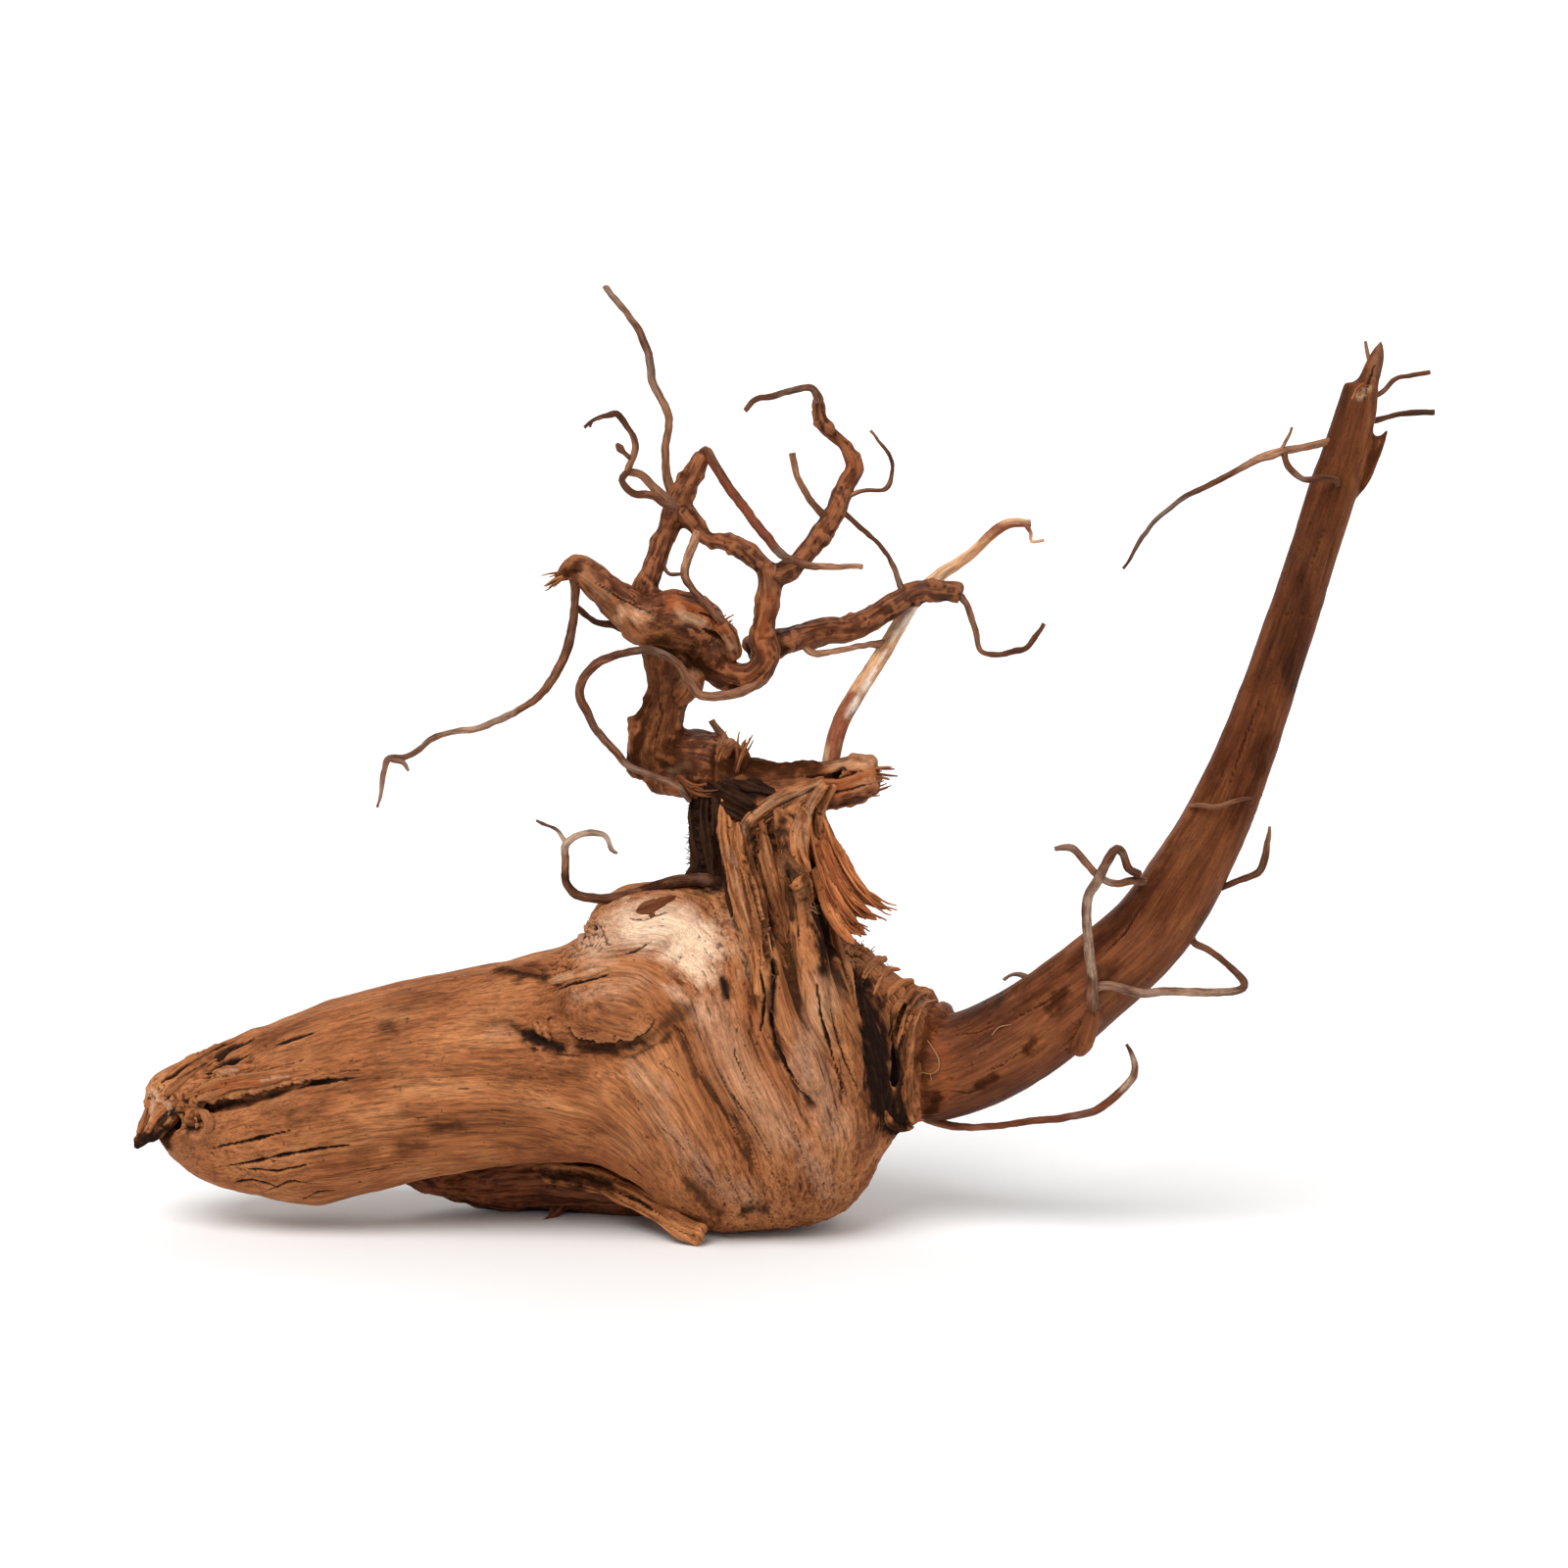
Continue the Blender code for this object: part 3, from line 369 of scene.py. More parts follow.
# The bare pale stick and the hook at its end.
PEELED_TWIGS: dict[str, Rows] = {
    "peeled_stick": [
        (36.8, 112, -3, 2.2), (37.2, 121, -1, 2.3), (39.2, 129, 2, 2.3), (43.5, 137, 6, 2.3),
        (51.5, 149.5, 15, 2.1), (57, 159, 20, 2), (62, 165, 22, 1.8), (73.2, 173, 23, 1.4),
        (80.5, 179.6, 22, 1.4), (88, 180.6, 21, 1),
    ],
    "stick_hook": [(86.5, 180.6, 21, 0.8), (88, 178, 20.5, 0.5), (88, 176, 20, 0.45), (91, 176.2, 19, 0.4)],
}

# Stubs and shreds that stand off the wood.
SPUR: dict[str, Rows] = {
    "muzzle_spur": [
        (-129, 33, -4, 3.4), (-132.6, 30, -5, 4.2), (-135.4, 26.6, -4.4, 3.3), (-138, 23.8, -3.6, 2),
        (-140.6, 21.2, -3, 0.5),
    ],
    "spur_ridge": [
        (-136.4, 33, -3, 1.2), (-137.4, 28.6, -4, 1.7), (-138.6, 24.6, -4, 1.2), (-140, 22, -3.4, 0.5),
    ],
    "spur_shred": [
        (-131, 29, -8.6, 1), (-133.4, 26, -8, 1.3), (-135.4, 24, -6.6, 0.9), (-136.4, 22.6, -6, 0.4),
    ],
}
CROWN_STUBS: dict[str, Rows] = {
    "bar_spike": [(46, 116.5, -9, 2.4), (51, 117.2, -9.5, 1.6), (53.5, 117.2, -10, 0.6)],
    "tuft_left": [(8.5, 116, -4, 2.6), (9.8, 122, -5, 1.8), (12.4, 126, -5, 0.6)],
    "tuft_right": [(13.5, 114, -4, 2.6), (14.6, 120, -4, 1.8), (15.2, 126, -4, 0.6)],
    "top_spike": [(33.4, 205, 12, 1.7), (34.6, 208.4, 11.4, 1.1), (35.6, 211.6, 11, 0.4)],
    "knot_lump": [(6, 156, -4, 2.4), (9.6, 154, -6, 2.6), (11.6, 150, -5, 2.2), (12, 146.4, -3, 1.6)],
}
RED_SHREDS: dict[str, Rows] = {
    "outer": [
        (33.6, 106, -8, 1.6), (36, 100, -10, 2.2), (39.4, 93.6, -12, 2.4), (44, 87.4, -13, 2),
        (48.6, 83.6, -13, 1.4), (53.2, 82, -12.6, 0.6),
    ],
    "middle": [
        (33.6, 99, -12, 2.2), (36.6, 92, -14.6, 2.8), (41, 85, -16, 2.6), (45.6, 81, -16, 1.7),
        (49.4, 79.2, -15.4, 0.7),
    ],
    "inner": [
        (33.6, 93, -15, 2), (36.4, 86, -17.6, 2.6), (40.4, 79.6, -18.6, 2.6), (44, 76.6, -18, 1.5),
        (46.8, 75.2, -17.4, 0.6),
    ],
    "low": [(35, 87, -18.6, 1.6), (37.4, 80.6, -20.6, 2), (40.8, 75.4, -21.2, 1.5), (43.4, 72.8, -21, 0.7)],
}

# Torn strips that lie on the stump: x, z, how far they stand off the wood, and half their width.
MUZZLE_STRIPS: dict[str, Rows] = {
    "flap": [
        (-128, 33.8, 0.2, 1), (-121, 36.8, 1, 1.6), (-114, 38.2, 1.2, 1.8), (-107, 39.2, 1, 1.7),
        (-100, 40.4, 0.6, 1.3), (-92, 41.6, 0, 0.6),
    ],
    "flap_edge": [
        (-125, 33.2, 0.4, 0.8), (-117, 35.8, 1.3, 0.9), (-109, 37.2, 1.2, 0.9), (-101, 38.6, 0.6, 0.7),
        (-94, 39.6, 0, 0.4),
    ],
    "hood_top": [(-134, 37.6, 0.2, 1), (-128, 42.2, 0.6, 1.5), (-120, 46.6, 0.5, 1.3), (-112, 50, 0, 0.6)],
    "hood_low": [
        (-133, 34.6, 0.2, 1), (-128, 38.6, 0.7, 1.2), (-122.6, 42.4, 0.6, 0.9), (-117, 45, 0.1, 0.4),
    ],
    "crumb": [
        (-121, 39.8, 0.4, 1.1), (-117.6, 40.8, 1, 1.7), (-113.6, 41.2, 0.8, 1.5), (-109.6, 42, 0.1, 0.7),
    ],
    "boss": [
        (-124.6, 31, 0.2, 0.8), (-122.6, 29.6, 0.9, 1.2), (-122, 27.4, 0.9, 1.2), (-123, 25.4, 0.2, 0.7),
    ],
    "boss_edge": [
        (-126, 30, 0.1, 0.5), (-124.8, 28.6, 0.8, 0.8), (-124.6, 26.8, 0.8, 0.8), (-125.6, 25.2, 0.1, 0.5),
    ],
    "boss_rim": [(-122, 30.6, 0, 0.5), (-120.6, 28.4, 0.5, 0.8), (-121, 25.6, 0.3, 0.7), (-123, 24, 0, 0.4)],
    "sliver": [(-116, 44.6, -0.4, 0.4), (-111, 46.2, 0.1, 0.6), (-105, 48.6, -0.1, 0.3)],
    "sliver_low": [
        (-124, 36.4, 0.2, 0.6), (-118, 38.6, 0.9, 0.8), (-110, 39.6, 0.7, 0.6), (-103, 40.6, 0, 0.3),
    ],
}

# Peeling layers round the horn's root.
COLLAR_LAYERS: dict[str, Rows] = {
    "first": [
        (64.6, 58.8, 0, 0.6), (61, 58, 0.5, 0.9), (58.6, 54, 0.5, 1), (57.2, 48, 0.4, 1), (56.6, 41, 0.4, 1),
        (56.4, 35, 0.4, 1), (57, 29.6, 0.3, 0.9), (58.4, 27, 0, 0.6),
    ],
    "second": [
        (62.6, 60.6, 0, 0.6), (59, 59.6, 0.6, 1.1), (56.2, 55, 0.5, 1), (54.4, 49, 0.3, 0.8),
        (53.6, 43, 0, 0.5),
    ],
    "third": [(60.4, 62.2, 0, 0.6), (57, 61.2, 0.6, 1.1), (53.8, 57, 0.4, 0.9), (52, 52, 0, 0.5)],
    "fourth": [(58, 64.2, 0, 0.6), (54.4, 63.2, 0.6, 1.1), (51.4, 60, 0.4, 0.9), (50, 56, 0, 0.5)],
    "fifth": [(55, 66.6, 0, 0.7), (51.4, 66, 0.6, 1.1), (49, 63, 0.4, 0.9), (47.8, 60, 0, 0.5)],
    "shoulder": [(51, 69.4, 0, 0.8), (48, 68.4, 0.6, 1.2), (46, 66, 0.4, 1), (45, 63, 0, 0.5)],
    "low_lip": [(50.6, 31, 0, 0.7), (52, 27.6, 0.4, 1.1), (55.4, 26, 0.6, 1.2), (58.6, 26.6, 0.2, 0.8)],
    "groove_lip": [(58.6, 52, 0, 0.5), (57.6, 46, 0.6, 0.7), (57.4, 39, 0.6, 0.7), (57.8, 33, 0, 0.5)],
}

# Torn strips of the neck.
NECK_STRIPS: dict[str, Rows] = {
    "diagonal": [
        (35.6, 115.6, 0.6, 1.2), (31, 113.6, 1, 1.8), (25, 111, 1.2, 2.1), (19.4, 107.6, 1.6, 2),
        (15.6, 104, 1.6, 1.7), (15, 100, 1.4, 1.4), (16.4, 94, 1.2, 1.3), (18.8, 86, 1, 1.2),
        (20.4, 78, 0.8, 1.1), (21.8, 69, 0, 0.7),
    ],
    "diagonal_edge": [(33, 112, 0.6, 1), (27, 108.8, 1, 1.2), (21, 105.4, 1, 1), (17.6, 102, 0.6, 0.7)],
    "left_board": [
        (9.4, 112, 0.2, 1.2), (10.2, 102, 0.9, 1.9), (12, 92, 1.1, 2.2), (14.6, 82, 1, 2.1),
        (17.4, 72, 0.6, 1.7), (18.6, 60, 0, 1),
    ],
    "left_cord": [
        (12.6, 104, 0.8, 1), (13.6, 96, 1, 1.1), (16.2, 86, 0.8, 1), (18.6, 76, 0.4, 0.9), (20, 66, 0, 0.6),
    ],
    "middle_board": [
        (18.6, 104, 0.4, 1.6), (19.6, 98, 1, 2.3), (21.4, 90, 1.2, 2.5), (23.6, 83, 1.1, 2.2),
        (25.2, 77, 0.6, 1.5), (26, 73, 0, 0.7),
    ],
    "lump": [
        (26.4, 107, 2.2, 1), (28.4, 107.6, 2.4, 1.5), (29.6, 104.6, 2, 2.4), (28.6, 100, 2, 3),
        (29.4, 95.4, 1.4, 2.4), (31.4, 91.4, 0.2, 1),
    ],
    "thin_strip": [
        (35.6, 114, 0.8, 1.3), (31.6, 108.4, 1.8, 1.6), (30.6, 103, 1.6, 1.4), (33, 97.4, 1.4, 1.7),
        (35.4, 91, 1, 1.4), (37.4, 86, 0.2, 0.7),
    ],
    "edge_strip": [
        (38, 114, 0.8, 1.2), (34.4, 108, 1.4, 1.5), (34, 102, 1.2, 1.4), (36.6, 95, 1, 1.4),
        (39.6, 89, 0.2, 0.8),
    ],
    "arch": [(27, 86.4, 0.2, 0.9), (29, 89, 1, 1.5), (32.4, 89.4, 1.2, 1.5), (35, 86, 0.4, 0.9)],
    "low_strip": [(25.6, 90, 0.4, 0.9), (27, 82, 0.8, 1.4), (28.2, 74, 0.6, 1.2), (29.4, 66, 0, 0.7)],
    "side_strip": [(36.4, 80, 0.2, 0.8), (38.6, 72, 0.8, 1.5), (41.4, 64, 0.8, 1.5), (43.4, 56, 0, 0.8)],
    "brow_splinter": [
        (-34.4, 63.4, 0.5, 1.1), (-29, 65, 1, 1.6), (-24, 66.4, 0.8, 1.4), (-18.6, 67.6, 0.1, 0.7),
    ],
}

# Blackened bark of the neck.
BLACK_STRIPS: dict[str, Rows] = {
    "cap": [(5, 114, 0.2, 1.4), (9.6, 111.4, 0.9, 2.2), (14, 109, 0.9, 2.2), (18.4, 106.8, 0.2, 1.2)],
    "cap_edge": [
        (8, 109.6, 0.1, 0.9), (11.4, 107.6, 0.9, 1.4), (14.6, 105.4, 0.6, 1.1), (16.6, 102.6, 0, 0.5),
    ],
    "cap_top": [(9, 115.4, 0.1, 1), (15, 113.4, 0.7, 1.6), (21, 111.6, 0.5, 1.2), (26, 111, 0, 0.6)],
    "outer": [(1.8, 110, 0.2, 1.2), (2.2, 102, 0.4, 1.5), (2.8, 95, 0.4, 1.3), (0, 90, 0, 0.8)],
    "middle": [(5, 114, 0.4, 1.2), (4.6, 106, 0.7, 1.5), (5.4, 98, 0.7, 1.7), (7, 90, 0.2, 1.1)],
    "inner": [
        (8, 113, 0.2, 1.2), (7.6, 105, 0.5, 1.4), (8.6, 97, 0.6, 1.5), (10.4, 88, 0.3, 1.2),
        (11.6, 79, 0, 0.6),
    ],
}

# Flakes of bark on the brow.
BARK_FLAKES: dict[str, Rows] = {
    "brow": [
        (-13, 81.4, 0.1, 0.7), (-10.8, 81.8, 0.35, 2), (-7.4, 83, 0.4, 2.1), (-4, 84.6, 0.3, 1.5),
        (-2, 85.4, 0, 0.5),
    ],
    "brow_corner": [(-9.6, 79.6, 0, 0.5), (-8.6, 81.4, 0.3, 1), (-8, 83, 0.1, 0.6)],
    "brow_step": [(-36, 65.4, 0, 0.5), (-38.6, 66.2, 0.3, 1.2), (-42, 66.6, 0.2, 1), (-45, 66.8, 0, 0.4)],
}

# Stray hairs on the horn: x, z, how far they stand off it, and their radius.
HORN_THREADS: dict[str, Rows] = {
    "curl": [
        (61.6, 48.6, 0.1, 0.16), (64.2, 44.4, 0.5, 0.22), (64.4, 41.4, 0.4, 0.2), (62.4, 40, 0.6, 0.18),
        (60.4, 40.4, 0.3, 0.14), (58.8, 39.6, 0.1, 0.1),
    ],
    "curl_fork": [(62.4, 40, 0.4, 0.14), (62.6, 38.4, 0.4, 0.1)],
    "scrap": [(78, 50, 0.1, 0.16), (80, 52, 0.4, 0.16), (83, 52.6, 0.1, 0.1)],
}

# Broken ends that fray into loose fibres: x, z, y and a fibre's radius.
FRAYED_ENDS: dict[str, Rows] = {
    "bar_end": [(40, 117, -11, 0.5), (46, 117.4, -12, 0.6), (52.6, 117, -11.4, 0.4)],
    "bar_underside": [(40, 111.6, -10, 0.45), (46, 112, -11, 0.45), (50.6, 113.4, -11, 0.3)],
    "tuft_left": [(8, 117, -6, 0.5), (9, 122, -7, 0.5), (11.6, 126.6, -7, 0.3)],
    "tuft_right": [(12.6, 117, -6, 0.5), (13.8, 121, -7, 0.5), (15.4, 125.6, -7, 0.3)],
    "elbow_tear": [(-2, 116, -5, 0.5), (2, 112.6, -8, 0.5), (7, 113, -9, 0.35)],
    "knot_end": [(5, 152, -3, 0.5), (9, 154.6, -5, 0.5), (12.6, 156.4, -6, 0.3)],
    "hook_end": [(-28, 168, -4, 0.45), (-32, 167, -4, 0.45), (-35.4, 165, -4, 0.3)],
    "heel_end": [(-6, 4.6, -15, 0.5), (0, 0.9, -20, 0.5), (5.4, -1.4, -22.6, 0.35)],
    "horn_break": [(169, 210, -10, 0.45), (171.4, 213.6, -10, 0.45), (174.4, 214.4, -10.4, 0.3)],
}
RED_FIBRES: dict[str, Rows] = {
    "outer": [
        (35, 106, -10, 0.45), (38.4, 97, -14, 0.5), (43, 89, -16, 0.5), (48, 84.4, -15.6, 0.45),
        (53.4, 82, -14, 0.3),
    ],
    "middle": [(34.6, 99, -14, 0.45), (38.4, 90, -17, 0.5), (43.6, 82.6, -18.2, 0.5), (49.4, 79, -17, 0.3)],
    "inner": [(34, 93, -17, 0.45), (37.6, 84.6, -20, 0.5), (42, 78, -20.6, 0.5), (46.4, 75, -20, 0.3)],
    "face": [(31.6, 104, -14, 0.4), (33, 96, -17, 0.45), (36, 88, -20, 0.45), (39.4, 80, -22, 0.4)],
}


def linear(red: float, green: float, blue: float) -> tuple[float, float, float, float]:
    """A colour given as 0 to 255, as the shader wants it.

    Args:
        red: Its red.
        green: Its green.
        blue: Its blue.

    Returns:
        The colour, opaque.
    """
    channels = [value / 255.0 for value in (red, green, blue)]
    straight = [c / 12.92 if c <= 0.04045 else ((c + 0.055) / 1.055) ** 2.4 for c in channels]
    return (straight[0], straight[1], straight[2], 1.0)


def eased(value: np.ndarray) -> np.ndarray:
    """A value held between 0 and 1, with soft ends."""
    held = np.clip(value, 0.0, 1.0)
    return held * held * (3.0 - 2.0 * held)


@dataclass(frozen=True)
class FrontView:
    """The view in which the rows are drawn.

    Args:
        distance: How far the eye is from the centre, in millimetres.
        rise: The angle by which the eye looks down.
        centre: The point that the eye looks at.
        drawn_z: The drawn height of that point.
        heel: The middle of the heel's flat spot, which is the origin of the wood.
    """

    distance: float = 900.0
    rise: float = math.radians(7.0)
    centre: Row = (25.0, 0.0, 115.0)
    drawn_z: float = 114.0
    heel: Row = (14.0, 0.0, 0.0)

    @property
    def forward(self) -> np.ndarray:
        """The direction in which the eye looks."""
        return np.array([0.0, math.cos(self.rise), -math.sin(self.rise)])

    @property
    def up(self) -> np.ndarray:
        """The direction that is up in the drawing."""
        return np.array([0.0, math.sin(self.rise), math.cos(self.rise)])

    @property
    def eye(self) -> np.ndarray:
        """Where the eye is, in the drawing's millimetres."""
        return np.array(self.centre) - self.forward * self.distance

    def rays(self, x: np.ndarray, z: np.ndarray) -> np.ndarray:
        """Directions from the eye through the drawn points, one for each.

        Args:
            x: Drawn x.
            z: Drawn z.

        Returns:
            The directions, as long as the way to the drawing's sheet.
        """
        sheet = np.array(self.centre) + np.outer(z - self.drawn_z, self.up)
        sheet[:, 0] += x - self.centre[0]
        return sheet - self.eye

    def placed(self, x: np.ndarray, z: np.ndarray, y: np.ndarray) -> tuple[np.ndarray, np.ndarray]:
        """Points in space for drawn points of a known depth.

        Args:
            x: Drawn x.
            z: Drawn z.
            y: Depth.

        Returns:
            The points in metres, and how much larger than drawn a thing there is.
        """
        rays = self.rays(x, z)
        share = (y - self.eye[1]) / rays[:, 1]
        return (self.eye + rays * share[:, None] - np.array(self.heel)) * MM, share

    def drawn(self, points: np.ndarray) -> tuple[np.ndarray, np.ndarray]:
        """Drawn x and z of points in space.

        Args:
            points: The points, in metres.

        Returns:
            x and z, in millimetres.
        """
        rays = points / MM + np.array(self.heel) - self.eye
        share = self.distance / (rays @ self.forward)
        sheet = rays * share[:, None] + self.eye - np.array(self.centre)
        return sheet[:, 0] + self.centre[0], sheet @ self.up + self.drawn_z


VIEW = FrontView()


class Grit:
    """Smooth seeded noise in three dimensions."""

    CELLS = 256

    def __init__(self, seed: int) -> None:
        """Shuffles the lattice.

        Args:
            seed: Fixes the noise.
        """
        rng = np.random.default_rng(seed)
        self.order = np.concatenate([rng.permutation(self.CELLS)] * 3)
        lean = rng.normal(size=(self.CELLS, 3))
        self.lean = lean / np.linalg.norm(lean, axis=1)[:, None]

    def at(self, points: np.ndarray) -> np.ndarray:
        """Noise of period 1, from about -1 to 1, at each point.

        Args:
            points: Where it is read.

        Returns:
            The noise.
        """
        base = np.floor(points).astype(np.int64)
        inside = points - base
        base &= self.CELLS - 1
        ease = inside * inside * inside * (inside * (inside * 6.0 - 15.0) + 10.0)
        total = np.zeros(len(points))
        for corner in range(8):
            step = np.array([(corner >> 2) & 1, (corner >> 1) & 1, corner & 1])
            cell = base + step
            index = self.order[self.order[self.order[cell[:, 0]] + cell[:, 1]] + cell[:, 2]]
            dot = np.einsum("ij,ij->i", self.lean[index], inside - step)
            weight = np.where(step, ease, 1.0 - ease).prod(axis=1)
            total += weight * dot
        return total * 1.6

    def layered(self, points: np.ndarray, layers: int, fall: float = 0.5) -> np.ndarray:
        """Several layers of the noise, each twice as fine as the last.

        Args:
            points: Where it is read.
            layers: How many.
            fall: Strength of a layer beside the one before it.

        Returns:
            The sum, from about -1 to 1.
        """
        total = np.zeros(len(points))
        strength, weight = 1.0, 0.0
        for layer in range(layers):
            total += strength * self.at(points * 2.0**layer + 17.3 * layer)
            weight += strength
            strength *= fall
        return total / weight * 1.3


GRIT = Grit(SEED)


@dataclass
class Shell:
    """A closed mesh as plain lists: points in metres, and faces."""

    points: np.ndarray
    faces: list[tuple[int, ...]]

    @staticmethod
    def joined(shells: "list[Shell]") -> "Shell":
        """Several shells as one.

        Args:
            shells: The shells, which may overlap.

        Returns:
            One shell.
        """
        faces: list[tuple[int, ...]] = []
        first = 0
        for shell in shells:
            faces += [tuple(corner + first for corner in face) for face in shell.faces]
            first += len(shell.points)
        return Shell(np.concatenate([shell.points for shell in shells]), faces)

    def as_object(self, name: str) -> bpy.types.Object:
        """The shell as an object in the scene.

        Args:
            name: The object's name.

        Returns:
            The object.
        """
        mesh = bpy.data.meshes.new(name)
        mesh.from_pydata(self.points.tolist(), [], self.faces)
        obj = bpy.data.objects.new(name, mesh)
        bpy.context.scene.collection.objects.link(obj)
        return obj


def ringed(rings: np.ndarray, closed: bool = False) -> Shell:
    """A closed skin over rings of points.

    Args:
        rings: Points as an array of rings by sides by three.
        closed: True if the last ring joins the first one, and False if both ends are capped.

    Returns:
        The skin.
    """
    count, sides = rings.shape[:2]
    faces: list[tuple[int, ...]] = []
    for i in range(count if closed else count - 1):
        here, there = i * sides, (i + 1) % count * sides
        for k in range(sides):
            j = (k + 1) % sides
            faces.append((here + k, here + j, there + j, there + k))
    points = rings.reshape(-1, 3)
    if not closed:
        ends = len(points)
        points = np.concatenate([points, rings[0].mean(0)[None], rings[-1].mean(0)[None]])
        last = (count - 1) * sides
        for k in range(sides):
            j = (k + 1) % sides
            faces.append((j, k, ends))
            faces.append((last + k, last + j, ends + 1))
    return Shell(points, faces)


def smooth_rows(rows: Rows, step: float) -> np.ndarray:
    """Rows on the smooth curve through the given ones, about a step apart.

    Args:
        rows: Rows whose first three numbers are a place.
        step: Distance between the new rows.

    Returns:
        The new rows as an array.
    """
    table = np.array(rows, float)
    padded = np.concatenate([table[:1], table, table[-1:]])
    found = []
    for i in range(len(table) - 1):
        a, b, c, d = padded[i : i + 4]
        count = max(1, round(float(np.linalg.norm((c - b)[:3])) / step))
        u = (np.arange(count) / count)[:, None]
        found.append(
            0.5 * (2 * b + (c - a) * u + (2 * a - 5 * b + 4 * c - d) * u**2 + (3 * b - a - 3 * c + d) * u**3)
        )
    return np.concatenate([*found, table[-1:]])


class Limb:
    """A round limb along rows of x, z, y and radius."""

    def __init__(self, rows: Rows, step: float = 1.0) -> None:
        """Follows the rows in space.

        Args:
            rows: x, z, y and radius.
            step: Distance between the limb's sections, in millimetres.
        """
        table = smooth_rows(rows, step)
        self.middles, share = VIEW.placed(table[:, 0], table[:, 1], table[:, 2])
        self.radii = table[:, 3] * share * MM
        ahead = np.gradient(self.middles, axis=0)
        self.along = ahead / np.linalg.norm(ahead, axis=1)[:, None]
        gaps = np.linalg.norm(np.diff(self.middles, axis=0), axis=1)
        self.run = np.concatenate([[0.0], np.cumsum(gaps)])
        self.across = self._carried()
        self.other = np.cross(self.along, self.across)

    def _carried(self) -> np.ndarray:
        """A direction square to the limb, carried along it without a twist.

        Returns:
            One direction for each section.
        """
        first = Vector(self.along[0]).orthogonal()
        carried = [np.array(first) / np.linalg.norm(first)]
        for ahead in self.along[1:]:
            side = carried[-1] - ahead * (ahead @ carried[-1])
            carried.append(side / np.linalg.norm(side))
        return np.array(carried)

    def shell(self, sides: int, flatness: float = 1.0) -> Shell:
        """The limb's closed skin.

        Args:
            sides: Points round it.
            flatness: Thickness towards the viewer beside its width.

        Returns:
            The skin.
        """
        across, other = self.across, self.other
        if flatness != 1.0:
            across = np.cross(self.along, VIEW.forward)
            across /= np.linalg.norm(across, axis=1)[:, None]
            other = np.cross(self.along, across) * flatness
        angle = 2 * np.pi * np.arange(sides) / sides
        spread = across[:, None] * np.cos(angle)[None, :, None]
        spread = spread + other[:, None] * np.sin(angle)[None, :, None]
        return ringed(self.middles[:, None] + spread * self.radii[:, None, None])


def collar(row: Row, steps: int = 48, sides: int = 14) -> Shell:
    """A rolled fold of wood round the horn's root: a closed ring, square to the horn.

    Args:
        row: A row of COLLARS.
        steps: Points along it.
        sides: Points round its roll.

    Returns:
        The ring's skin.
    """
    x, z, y, radius, roll = row
    middle, share = VIEW.placed(np.array([x]), np.array([z]), np.array([y]))
    around = 2 * np.pi * np.arange(steps)[:, None] / steps
    angle = 2 * np.pi * np.arange(sides)[None, :] / sides
    reach = radius + roll * np.cos(angle)
    ahead = roll * np.sin(angle) + 0 * around
    flat = np.stack([ahead, reach * np.cos(around), reach * np.sin(around)], axis=-1)
    flat[..., 0] += flat[..., 2] * math.tan(COLLAR_LEAN) - flat[..., 1] * math.tan(COLLAR_TURN)
    return ringed(middle[0] + flat * share[0] * MM, closed=True)


def burl(row: Row, steps: int = 20) -> Shell:
    """A rounded swelling that stands out of the stump.

    Args:
        row: A row of BURLS.
        steps: Points from its bottom to its top.

    Returns:
        Its closed skin.
    """
    x, z, y, half_x, half_z, half_y = row
    middle, share = VIEW.placed(np.array([x]), np.array([z]), np.array([y]))
    tilt = np.pi * (np.arange(1, steps)[:, None]) / steps
    angle = 2 * np.pi * np.arange(2 * steps)[None, :] / (2 * steps)
    wide = np.sin(tilt) * np.cos(angle) * half_x
    deep = np.sin(tilt) * np.sin(angle) * half_y
    ball = np.stack([wide, deep, -np.cos(tilt) * half_z + 0 * angle], axis=-1)
    return ringed(middle[0] + ball * share[0] * MM)


def stump_shell() -> Shell:
    """The stump's closed skin over its upright sections.

    Returns:
        The skin.
    """
    table = smooth_rows(STUMP_SECTIONS, 2.0)
    middle, share = VIEW.placed(table[:, 0], table[:, 1:3].mean(1), table[:, 3:5].mean(1))
    angle = 2 * np.pi * np.arange(STUMP_SIDES) / STUMP_SIDES
    squared = [np.sign(v) * np.abs(v) ** (2.0 / STUMP_SQUARENESS) for v in (np.cos(angle), np.sin(angle))]
    deep = squared[0][None] * ((table[:, 4] - table[:, 3]) / 2 * share)[:, None]
    high = squared[1][None] * ((table[:, 1] - table[:, 2]) / 2 * share)[:, None]
    rings = middle[:, None] + np.stack([0 * deep, deep, high], axis=-1) * MM
    return ringed(rings)


def applied(obj: bpy.types.Object) -> bpy.types.Object:
    """Replaces the object's mesh by what its modifiers make of it.

    Args:
        obj: The object.

    Returns:
        The object, without modifiers.
    """
    graph = bpy.context.evaluated_depsgraph_get()
    mesh = bpy.data.meshes.new_from_object(obj.evaluated_get(graph))
    obj.modifiers.clear()
    obj.data = mesh
    return obj


def fused(obj: bpy.types.Object, voxel: float, steps: int) -> bpy.types.Object:
    """Turns overlapping shells into one even skin and rounds their joins.

    Args:
        obj: The object that holds the shells.
        voxel: Fineness of the skin, in millimetres.
        steps: How often it is smoothed.

    Returns:
        The object.
    """
    fuse = obj.modifiers.new("fuse", "REMESH")
    fuse.mode = "VOXEL"
    fuse.voxel_size = voxel * MM
    if steps:
        soften = obj.modifiers.new("soften", "SMOOTH")
        soften.factor = 0.5
        soften.iterations = steps
    return applied(obj)


